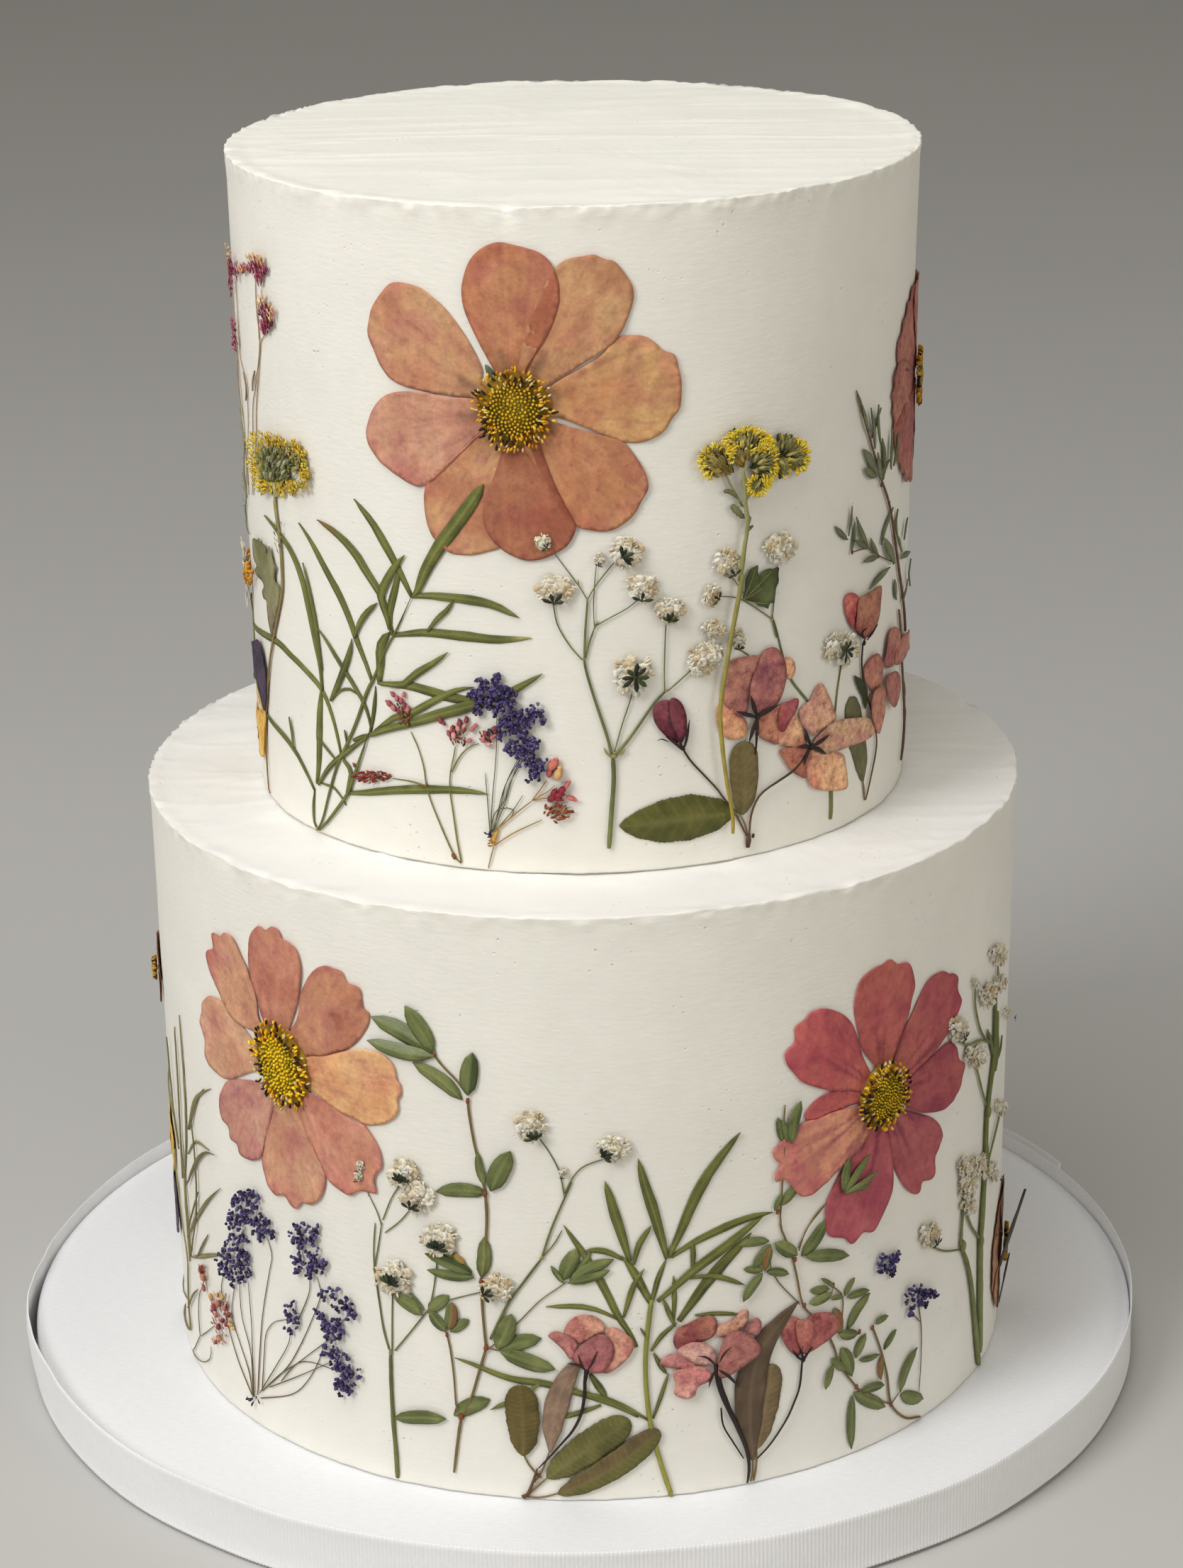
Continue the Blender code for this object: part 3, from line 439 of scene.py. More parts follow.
def plant_mat(name, rough, grain, grain_amt, bump, bump_scale, stretch=(1, 1, 1), spec=0.35, mott=None, net=None):
    """Colour from the piece's own Col attribute, with fine grain, bump and, for petals, bruised mottling."""
    mat, nt, b = new_mat(name, rough, spec)
    L = nt.links.new
    geo = add_node(nt, "ShaderNodeTexCoord")
    mp = add_node(nt, "ShaderNodeMapping")
    mp.inputs["Scale"].default_value = stretch
    L(geo.outputs["Object"], mp.inputs["Vector"])
    col = add_node(nt, "ShaderNodeAttribute", attribute_name="Col")
    n1 = add_node(nt, "ShaderNodeTexNoise", Scale=grain, Detail=4.0, Roughness=0.65)
    L(mp.outputs[0], n1.inputs["Vector"])
    ramp = add_node(nt, "ShaderNodeMapRange")
    ramp.inputs["From Min"].default_value, ramp.inputs["From Max"].default_value = 0.25, 0.75
    top = 1.25 if mott else 1.0
    ramp.inputs["To Min"].default_value = (1 - grain_amt) * top
    ramp.inputs["To Max"].default_value = (1 + grain_amt) * top
    L(n1.outputs["Fac"], ramp.inputs["Value"])
    mul = add_node(nt, "ShaderNodeVectorMath", operation="SCALE")
    if mott:
        scale, low, high = mott
        n0 = add_node(nt, "ShaderNodeTexNoise", Scale=scale, Detail=5.0, Roughness=0.62)
        L(mp.outputs[0], n0.inputs["Vector"])
        cr = add_node(nt, "ShaderNodeValToRGB")
        cr.color_ramp.elements[0].position, cr.color_ramp.elements[1].position = 0.30, 0.72
        cr.color_ramp.elements[0].color = (*low, 1)
        cr.color_ramp.elements[1].color = (*high, 1)
        e = cr.color_ramp.elements.new(0.5)
        e.color = (0.8, 0.8, 0.8, 1)
        L(n0.outputs["Fac"], cr.inputs["Fac"])
        mm = add_node(nt, "ShaderNodeVectorMath", operation="MULTIPLY")
        L(col.outputs["Color"], mm.inputs[0])
        L(cr.outputs["Color"], mm.inputs[1])
        out = mm.outputs[0]
        if net:
            # fine net of veins
            vo = add_node(nt, "ShaderNodeTexVoronoi", feature="DISTANCE_TO_EDGE")
            vo.inputs["Scale"].default_value = net[0]
            wob = add_node(nt, "ShaderNodeVectorMath", operation="MULTIPLY_ADD")
            nw = add_node(nt, "ShaderNodeTexNoise", Scale=net[0] * 0.8, Detail=2.0)
            L(mp.outputs[0], nw.inputs["Vector"])
            L(nw.outputs["Color"], wob.inputs[0])
            wob.inputs[1].default_value = (0.0014, 0.0014, 0.0014)
            L(mp.outputs[0], wob.inputs[2])
            L(wob.outputs[0], vo.inputs["Vector"])
            vr = add_node(nt, "ShaderNodeMapRange")
            vr.inputs["From Min"].default_value, vr.inputs["From Max"].default_value = 0.0, 0.14
            vr.inputs["To Min"].default_value, vr.inputs["To Max"].default_value = 1 - net[1], 1.05
            L(vo.outputs["Distance"], vr.inputs["Value"])
            mv = add_node(nt, "ShaderNodeVectorMath", operation="SCALE")
            L(out, mv.inputs[0])
            L(vr.outputs[0], mv.inputs["Scale"])
            out = mv.outputs[0]
        L(out, mul.inputs[0])
    else:
        L(col.outputs["Color"], mul.inputs[0])
    L(ramp.outputs[0], mul.inputs["Scale"])
    L(mul.outputs[0], b.inputs["Base Color"])
    n2_ = add_node(nt, "ShaderNodeTexNoise", Scale=bump_scale, Detail=5.0, Roughness=0.6)
    L(mp.outputs[0], n2_.inputs["Vector"])
    bp = add_node(nt, "ShaderNodeBump", Strength=bump, Distance=0.0004)
    L(n2_.outputs["Fac"], bp.inputs["Height"])
    L(bp.outputs[0], b.inputs["Normal"])
    rr = add_node(nt, "ShaderNodeMapRange")
    rr.inputs["To Min"].default_value, rr.inputs["To Max"].default_value = rough - 0.08, min(rough + 0.1, 1)
    L(n1.outputs["Fac"], rr.inputs["Value"])
    L(rr.outputs[0], b.inputs["Roughness"])
    return mat


PETAL = plant_mat("pressed_petal", 0.62, 1500, 0.10, 0.35, 1100, spec=0.3,
                  mott=(420, (0.68, 0.60, 0.68), (0.88, 0.90, 0.87)))
THIN = plant_mat("thin_bruised_petal", 0.6, 1700, 0.12, 0.45, 900, spec=0.3,
                 mott=(520, (0.46, 0.33, 0.42), (0.98, 1.0, 0.95)), net=(820, 0.15))
LEAFM = plant_mat("pressed_leaf", 0.58, 1800, 0.16, 0.5, 1300, spec=0.35)
STEMM = plant_mat("dried_stem", 0.6, 1400, 0.2, 0.5, 1500, (1, 1, 0.25))
FLORET = plant_mat("dried_floret", 0.75, 2600, 0.16, 0.5, 2400, spec=0.25)
PLANT = [PETAL, LEAFM, STEMM, FLORET, THIN]
P_, L_, S_, F_, T_ = 0, 1, 2, 3, 4


def icing_mat():
    mat, nt, b = new_mat("ivory_buttercream", 0.5, 0.35)
    L = nt.links.new
    tc = add_node(nt, "ShaderNodeTexCoord")
    col = add_node(nt, "ShaderNodeAttribute", attribute_name="Col")
    # soft clouding of the cream
    n1 = add_node(nt, "ShaderNodeTexNoise", Scale=45.0, Detail=5.0, Roughness=0.6)
    L(tc.outputs["Object"], n1.inputs["Vector"])
    r1 = add_node(nt, "ShaderNodeMapRange")
    r1.inputs["From Min"].default_value, r1.inputs["From Max"].default_value = 0.3, 0.7
    r1.inputs["To Min"].default_value, r1.inputs["To Max"].default_value = 0.965, 1.02
    L(n1.outputs["Fac"], r1.inputs["Value"])
    mul = add_node(nt, "ShaderNodeVectorMath", operation="SCALE")
    L(col.outputs["Color"], mul.inputs[0])
    L(r1.outputs[0], mul.inputs["Scale"])
    L(mul.outputs[0], b.inputs["Base Color"])
    # pinholes left by air bubbles
    vo = add_node(nt, "ShaderNodeTexVoronoi", Scale=420.0, Randomness=1.0)
    L(tc.outputs["Object"], vo.inputs["Vector"])
    hole = add_node(nt, "ShaderNodeMapRange", interpolation_type="SMOOTHSTEP")
    hole.inputs["From Min"].default_value, hole.inputs["From Max"].default_value = 0.0, 0.16
    L(vo.outputs["Distance"], hole.inputs["Value"])
    few = add_node(nt, "ShaderNodeTexNoise", Scale=70.0, Detail=2.0)
    L(tc.outputs["Object"], few.inputs["Vector"])
    fr = add_node(nt, "ShaderNodeMapRange")
    fr.inputs["From Min"].default_value, fr.inputs["From Max"].default_value = 0.56, 0.66
    L(few.outputs["Fac"], fr.inputs["Value"])
    inv = add_node(nt, "ShaderNodeMath", operation="SUBTRACT")
    inv.inputs[0].default_value = 1.0
    L(hole.outputs[0], inv.inputs[1])
    amt = add_node(nt, "ShaderNodeMath", operation="MULTIPLY")
    L(inv.outputs[0], amt.inputs[0])
    L(fr.outputs[0], amt.inputs[1])
    # fine drag of the smoother
    mp = add_node(nt, "ShaderNodeMapping")
    mp.inputs["Scale"].default_value = (1.0, 1.0, 3.2)
    L(tc.outputs["Object"], mp.inputs["Vector"])
    n3 = add_node(nt, "ShaderNodeTexNoise", Scale=340.0, Detail=6.0, Roughness=0.62)
    L(mp.outputs[0], n3.inputs["Vector"])
    b1 = add_node(nt, "ShaderNodeBump", Strength=0.22, Distance=0.0006)
    L(n3.outputs["Fac"], b1.inputs["Height"])
    b2 = add_node(nt, "ShaderNodeBump", Strength=0.6, Distance=0.0007, invert=True)
    L(amt.outputs[0], b2.inputs["Height"])
    L(b1.outputs[0], b2.inputs["Normal"])
    L(b2.outputs[0], b.inputs["Normal"])
    rr = add_node(nt, "ShaderNodeMapRange")
    rr.inputs["To Min"].default_value, rr.inputs["To Max"].default_value = 0.42, 0.62
    L(n3.outputs["Fac"], rr.inputs["Value"])
    L(rr.outputs[0], b.inputs["Roughness"])
    b.inputs["Subsurface Weight"].default_value = 0.12
    b.inputs["Subsurface Radius"].default_value = (1.0, 0.75, 0.5)
    b.inputs["Subsurface Scale"].default_value = 0.002
    return mat


def board_mat():
    mat, nt, b = new_mat("white_board_paper", 0.55, 0.4)
    L = nt.links.new
    tc = add_node(nt, "ShaderNodeTexCoord")
    mp = add_node(nt, "ShaderNodeMapping")
    mp.inputs["Scale"].default_value = (1.0, 4.0, 1.0)
    mp.inputs["Rotation"].default_value = (0, 0, 0.25)
    L(tc.outputs["Object"], mp.inputs["Vector"])
    n1 = add_node(nt, "ShaderNodeTexNoise", Scale=420.0, Detail=7.0, Roughness=0.7)
    L(mp.outputs[0], n1.inputs["Vector"])
    ramp = add_node(nt, "ShaderNodeValToRGB")
    ramp.color_ramp.elements[0].position, ramp.color_ramp.elements[1].position = 0.3, 0.7
    ramp.color_ramp.elements[0].color = (0.80, 0.805, 0.83, 1)
    ramp.color_ramp.elements[1].color = (0.88, 0.885, 0.905, 1)
    L(n1.outputs["Fac"], ramp.inputs["Fac"])
    L(ramp.outputs["Color"], b.inputs["Base Color"])
    vo = add_node(nt, "ShaderNodeTexVoronoi", Scale=900.0)
    L(mp.outputs[0], vo.inputs["Vector"])
    bp = add_node(nt, "ShaderNodeBump", Strength=0.25, Distance=0.0004)
    L(n1.outputs["Fac"], bp.inputs["Height"])
    b2 = add_node(nt, "ShaderNodeBump", Strength=0.1, Distance=0.0003)
    L(vo.outputs["Distance"], b2.inputs["Height"])
    L(bp.outputs[0], b2.inputs["Normal"])
    L(b2.outputs[0], b.inputs["Normal"])
    rr = add_node(nt, "ShaderNodeMapRange")
    rr.inputs["To Min"].default_value, rr.inputs["To Max"].default_value = 0.42, 0.68
    L(n1.outputs["Fac"], rr.inputs["Value"])
    L(rr.outputs[0], b.inputs["Roughness"])
    return mat


def ribbon_mat():
    mat, nt, b = new_mat("white_grosgrain", 0.5, 0.45)
    L = nt.links.new
    tc = add_node(nt, "ShaderNodeTexCoord")
    col = add_node(nt, "ShaderNodeAttribute", attribute_name="Col")
    wv = add_node(nt, "ShaderNodeTexNoise", Scale=3000.0, Detail=3.0, Roughness=0.6)
    mp = add_node(nt, "ShaderNodeMapping")
    mp.inputs["Scale"].default_value = (1.0, 1.0, 0.2)
    L(tc.outputs["Object"], mp.inputs["Vector"])
    L(mp.outputs[0], wv.inputs["Vector"])
    r1 = add_node(nt, "ShaderNodeMapRange")
    r1.inputs["To Min"].default_value, r1.inputs["To Max"].default_value = 0.9, 1.06
    L(wv.outputs["Fac"], r1.inputs["Value"])
    mul = add_node(nt, "ShaderNodeVectorMath", operation="SCALE")
    L(col.outputs["Color"], mul.inputs[0])
    L(r1.outputs[0], mul.inputs["Scale"])
    L(mul.outputs[0], b.inputs["Base Color"])
    bp = add_node(nt, "ShaderNodeBump", Strength=0.3, Distance=0.0002)
    L(wv.outputs["Fac"], bp.inputs["Height"])
    L(bp.outputs[0], b.inputs["Normal"])
    b.inputs["Sheen Weight"].default_value = 0.25
    b.inputs["Sheen Roughness"].default_value = 0.4
    return mat


ICING, BOARDM, RIBBONM = icing_mat(), board_mat(), ribbon_mat()


# ============================================================ camera, light, stage
def camera_and_light():
    cam = bpy.data.cameras.new("view")
    cam.sensor_fit = "HORIZONTAL"
    cam.sensor_width = 36.0
    cam.lens = FOCAL / FW * 36.0
    cam.clip_start, cam.clip_end = 0.05, 20.0
    ob = bpy.data.objects.new("view", cam)
    m = Matrix(((RIGHT[0], TOP[0], -AHEAD[0], EYE[0]), (RIGHT[1], TOP[1], -AHEAD[1], EYE[1]),
                (RIGHT[2], TOP[2], -AHEAD[2], EYE[2]), (0, 0, 0, 1)))
    ob.matrix_world = m
    bpy.context.scene.collection.objects.link(ob)
    bpy.context.scene.camera = ob

    def area(name, at, aim, size, power, colour):
        li = bpy.data.lights.new(name, "AREA")
        li.shape = "DISK"
        li.size, li.energy, li.color = size, power, colour
        o = bpy.data.objects.new(name, li)
        o.location = at
        d = Vector(aim) - Vector(at)
        o.rotation_euler = d.to_track_quat("-Z", "Y").to_euler()
        bpy.context.scene.collection.objects.link(o)

    area("key_left", (-1.15, -1.15, 1.3), (0, 0, 0.14), 0.75, 18.5, (1.0, 0.985, 0.955))
    area("fill_right", (1.25, -0.95, 0.95), (0, 0, 0.14), 0.8, 5.0, (1.0, 0.95, 0.84))
    area("top_soft", (-0.35, -0.5, 1.55), (0, 0, 0.15), 1.1, 10.5, (0.97, 0.99, 1.0))

    world = bpy.data.worlds.new("soft")
    world.use_nodes = True
    bg = world.node_tree.nodes["Background"]
    bg.inputs["Color"].default_value = (1.0, 0.96, 0.87, 1)
    bg.inputs["Strength"].default_value = 0.27
    bpy.context.scene.world = world
    vs = bpy.context.scene.view_settings
    vs.view_transform = "Standard"
    vs.look = "None"
    vs.exposure, vs.gamma = 0.0, 1.0

    me = bpy.data.meshes.new("floor")
    s = 6.0
    me.from_pydata([(-s, -s, 0), (s, -s, 0), (s, s, 0), (-s, s, 0)], [], [(0, 1, 2, 3)])
    fl = bpy.data.objects.new("floor", me)
    bpy.context.scene.collection.objects.link(fl)
    mat, nt, b = new_mat("pale_floor", 0.85, 0.2)
    n = add_node(nt, "ShaderNodeTexNoise", Scale=3.0, Detail=3.0)
    r = add_node(nt, "ShaderNodeValToRGB")
    r.color_ramp.elements[0].color = (0.50, 0.49, 0.475, 1)
    r.color_ramp.elements[1].color = (0.54, 0.53, 0.515, 1)
    tc = add_node(nt, "ShaderNodeTexCoord")
    nt.links.new(tc.outputs["Object"], n.inputs["Vector"])
    nt.links.new(n.outputs["Fac"], r.inputs["Fac"])
    nt.links.new(r.outputs["Color"], b.inputs["Base Color"])
    me.materials.append(mat)


camera_and_light()


# ============================================================ icing
def make_tier(tier, name, node, strokes):
    NU = 480
    a = 2 * math.pi * np.arange(NU) / NU
    rows = []          # each row: (kind, value)
    h = tier.h
    zs = np.concatenate([[0.0, 0.0004], np.linspace(0.0012, h - 0.004, 54), h - np.array([0.0032, 0.0025, 0.0019,
                         0.0014, 0.0010, 0.0007, 0.0004])])
    V, C = [], []
    base = np.array([0.885, 0.862, 0.79])
    ca, sa = np.cos(a), np.sin(a)
    nick = np.zeros(NU)
    for nx, ny, wide, deep in tier.nicks:
        u0 = tier.spot(np.array([nx]), np.array([ny]))[0, 0]
        away = (a * tier.mean - u0 + math.pi * tier.mean) % (2 * math.pi * tier.mean) - math.pi * tier.mean
        nick += deep * np.exp(-(away / wide) ** 2)
    for z in zs:
        zz = np.full(NU, tier.foot + z)
        w = np.zeros(NU)
        p = np.stack([sa, -ca, np.full(NU, z * 9)], -1)
        k = sstep(h - 0.006, h, np.array([z]))[0]
        # rough band and lip below the rim
        rag = vn(p * np.array([95, 95, 60]), tier.seed + 3)
        rag2 = vn(p * np.array([40, 40, 50]), tier.seed + 4)
        lump = np.clip(vn(p * np.array([62, 62, 30]), tier.seed + 6) - 0.3, 0, 1)
        w += k * (0.00016 + 0.00032 * rag + 0.00024 * rag2 + 0.0006 * lump - 0.7 * nick)
        # the foot sits in a little squeezed-out icing
        f = 1 - sstep(0.0, 0.0016, np.array([z]))[0]
        w += f * (0.0002 + 0.0003 * np.clip(rag2, 0, 1))
        u = a * tier.mean
        v = tier.wall(u, zz, w)
        rough = 0.00034 * k * rag - k * nick
        v[:, 2] += rough
        V.append(v)
        c = base[None, :] * (1 + 0.012 * rag2[:, None])
        # painted shade: the foot of the wall, where it meets the board, is painted up to 5% darker
        c = c * (1 - 0.05 * f)
        C.append(c)
    # rim and top: radial rings
    rt = tier.rt
    ins = np.concatenate([[0.0001, 0.0004, 0.0009, 0.0015, 0.0022, 0.0030, 0.0042], np.linspace(0.0056, rt - 0.0015, 42)])
    for d in ins:
        r = rt - d
        edge = math.exp(-d / 0.0016)
        x, y = r * sa, -r * ca
        p = np.stack([x, y, np.full(NU, 0.3)], -1)
        chip = np.clip(vn(np.stack([sa * rt, -ca * rt, np.full(NU, d * 0.6)], -1) * 330, tier.seed + 7) - 0.25, 0, 1)
        chip2 = np.clip(vn(np.stack([sa * rt, -ca * rt, np.full(NU, 0.0)], -1) * 110, tier.seed + 8) - 0.35, 0, 1)
        wav = vn(p * 40, tier.seed + 9)
        zt = h - 0.0002 + edge * (0.00026 * wav - 0.0012 * chip - 0.0014 * chip2 - nick)
        zt = zt - 0.00035 * sstep(0.0012, 0.0045, np.full(NU, d))
        zt = zt + 0.0006 * (1 - (r / rt) ** 2) + strokes(x, y, r, a, d)
        rr = r + edge * (0.00034 * wav - 0.0006 * chip - 0.0008 * chip2 - 0.7 * nick)
        dn = tier.dents(rt * sa, -rt * ca, np.full(NU, tier.foot + h)) * math.exp(-d / 0.006)
        V.append(np.stack([tier.at[0] + (rr + dn) * sa, tier.at[1] - (rr + dn) * ca, tier.foot + zt], -1))
        # painted shade: tier.tint darkens and cools the whole top of the lower tier; the top is also 4% darker right at
        # the rim
        c = base[None, :] * tier.tint[None, :] * (1.02 - 0.04 * math.exp(-d / 0.003) + 0.01 * wav[:, None])
        C.append(np.clip(c, 0, 1))
    nr = len(V)
    V = np.concatenate(V)
    C = np.concatenate(C)
    F = grid_faces(nr, NU, True)
    mid = V[-NU:].mean(0)
    V = np.concatenate([V, mid[None, :], [[tier.at[0], tier.at[1], tier.foot]]])
    C = np.concatenate([C, C[-1:], C[:1]])
    last = (nr - 1) * NU + np.arange(NU)
    top = np.stack([last, np.roll(last, -1), np.full(NU, len(V) - 2)], -1)
    first = np.arange(NU)
    bot = np.stack([np.roll(first, -1), first, np.full(NU, len(V) - 1)], -1)
    B = Build()
    B.add(V, [F, top, bot], C)
    ob = B.object(name, [ICING])
    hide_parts(node)
    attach(ob, "root")
    return ob


def strokes_upper(x, y, r, a, d):
    q = np.stack([x * 14, y * 120, np.full_like(x, 1.0)], -1)
    s = fbm(q, 3, 71)
    ridge = (1 - np.abs(fbm(np.stack([x * 22 + 3, y * 150, np.full_like(x, 4.0)], -1), 2, 75))) ** 8
    return 0.00022 * s + 0.00028 * ridge + 0.00006 * fbm(np.stack([x, y, x * 0], -1) * 420, 3, 78)


def strokes_lower(x, y, r, a, d):
    q = np.stack([x * 20, y * 95, np.full_like(x, 2.0)], -1)
    s = fbm(q, 3, 81)
    ridge = (1 - np.abs(fbm(np.stack([x * 30 + 3, y * 120, np.full_like(x, 9.0)], -1), 2, 85))) ** 8
    near = math.exp(-((r - 0.0815) / 0.004) ** 2)
    curl = near * np.clip(vn(np.stack([np.sin(a) * 9, np.cos(a) * 9, np.full_like(x, r * 260)], -1), 88), 0, 1)
    return 0.00026 * s + 0.00034 * ridge + 0.0011 * curl + 0.00008 * fbm(np.stack([x, y, x * 0], -1) * 380, 3, 89)


# painted shade: the top of the lower tier is painted darker and cooler than the upper tier's top, though both are the
# same icing
UPPER.tint, LOWER.tint = np.ones(3), np.array([0.965, 0.97, 1.02])
make_tier(LOWER, "lower_tier_icing", "lower_tier", strokes_lower)
make_tier(UPPER, "upper_tier_icing", "upper_tier", strokes_upper)


# ============================================================ board and ribbon
def make_board():
    NU = 360
    a = 2 * math.pi * np.arange(NU) / NU
    R, H, e = BOARD_R, BOARD_H, 0.0012
    prof = [(R - 0.0016, 0.0), (R - 0.0006, 0.0003), (R, 0.0012)]
    prof += [(R, H - e)] + [(R - e + e * math.cos(t), H - e + e * math.sin(t)) for t in np.linspace(0.3, math.pi / 2, 5)]
    prof += [(R - e - (R - e) * k, H) for k in (0.02, 0.06, 0.12, 0.2, 0.3, 0.45, 0.6, 0.8)]
    V = []
    for r, z in prof:
        w = 0.00012 * vn(np.stack([np.sin(a) * r * 30, np.cos(a) * r * 30, np.full(NU, z)], -1), 3)
        V.append(np.stack([r * np.sin(a), -r * np.cos(a), z + w * (z >= H - 1e-6)], -1))
    nr = len(V)
    V = np.concatenate(V + [np.array([[0, 0, H], [0, 0, 0.0]])])
    F = grid_faces(nr, NU, True)
    last = (nr - 1) * NU + np.arange(NU)
    top = np.stack([last, np.roll(last, -1), np.full(NU, len(V) - 2)], -1)
    first = np.arange(NU)
    bot = np.stack([np.roll(first, -1), first, np.full(NU, len(V) - 1)], -1)
    B = Build()
    B.add(V, [F, top, bot], np.array([0.8, 0.8, 0.82]))
    ob = B.object("board_covering", [BOARDM])
    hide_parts("board")
    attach(ob, "root")


def make_ribbon():
    RIBS = 900
    B = Build()

    def band(a0, a1, lift, closed, zoff, seed, endcurl=0.0):
        n = int(round(RIBS * 4 * (a1 - a0) / (2 * math.pi)))
        a = np.linspace(a0, a1, n, endpoint=not closed)
        P = np.stack([np.sin(a), np.cos(a), np.zeros(n)], -1)
        ph = a * RIBS
        rib = 0.5 + 0.5 * np.cos(ph)
        loose = 0.0005 * (vn(P * 3.1, seed) + 0.6 * vn(P * 8, seed + 1))
        # bulge at the left where the ribbon stands off, calmer at the front
        left = np.exp(-(((a + 1.45 + math.pi) % (2 * math.pi) - math.pi) / 0.32) ** 2)
        topz = RIBBON_Z + RIBBON_W + 0.0004 * vn(P * 5, seed + 2) + zoff
        botz = RIBBON_Z + 0.0002 + 0.00035 * (1 + vn(P * 6, seed + 3)) + zoff
        rows = []
        ks = [0.0, 0.02, 0.05, 0.09, 0.3, 0.7, 0.91, 0.95, 0.98, 1.0]
        inner = [1.0, 0.5, 0.0]
        for side in (1, 0):
            for k in (ks if side else inner):
                z = botz + (topz - botz) * k
                edge = math.exp(-((min(k, 1 - k) - 0.045) / 0.022) ** 2)
                lip = math.exp(-(min(k, 1 - k) / 0.015) ** 2)
                belly = math.sin(math.pi * k)
                out = BOARD_R + 0.0006 + lift + np.clip(loose * (0.4 + belly), -0.0002, 0.002)
                out = out + left * (0.0012 * k * k + 0.0008 * belly) * (0.7 + 0.5 * vn(P * 14, seed + 5))
                prof = 0.00011 * rib * (1 - lip) + 0.00010 * edge
                w = out + (prof if side else -0.00022 + 0.6 * prof)
                # picot loops along both edges
                z = z + lip * 0.00022 * (rib - 0.5) * (1 if k > 0.5 else -1)
                rows.append(np.stack([w * np.sin(a), -w * np.cos(a), z], -1))
        V = np.concatenate(rows)
        nr = len(rows)
        F = grid_faces(nr, n, closed)
        wrap = grid_faces(2, n, closed)
        W = np.where(wrap < n, wrap + (nr - 1) * n, wrap - n)
        shade = np.tile(0.985 + 0.03 * (rib - 0.5), nr)
        for i, k in enumerate(ks + inner):
            e = math.exp(-((min(k, 1 - k) - 0.05) / 0.03) ** 2)
            shade[i * n:(i + 1) * n] *= 1 - 0.05 * (1 - e) + 0.03 * e
        col = np.array([0.955, 0.955, 0.97])[None, :] * shade[:, None]
        faces = [F[:, ::-1], W[:, ::-1]]
        if not closed:
            for c, rev in ((0, False), (n - 1, True)):
                idx = np.arange(nr) * n + c
                fan = np.array([[idx[0], idx[j], idx[j + 1]] for j in range(1, nr - 1)])
                faces.append(fan if rev else fan[:, ::-1])
        B.add(V, faces, col)

    band(0, 2 * math.pi, 0.0, True, 0.0, 31)
    # the loose end, lapped over the start at the back right
    band(1.98, 2.62, 0.0011, False, 0.0009, 37)
    ob = B.object("board_ribbon_grosgrain", [RIBBONM])
    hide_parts("board_ribbon")
    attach(ob, "root")


make_board()
make_ribbon()

# ============================================================ cosmos
SALMON = [srgb(200, 146, 116), srgb(186, 122, 98), srgb(206, 158, 122)]
ROSE = [srgb(164, 92, 92), srgb(146, 70, 80), srgb(180, 112, 98)]


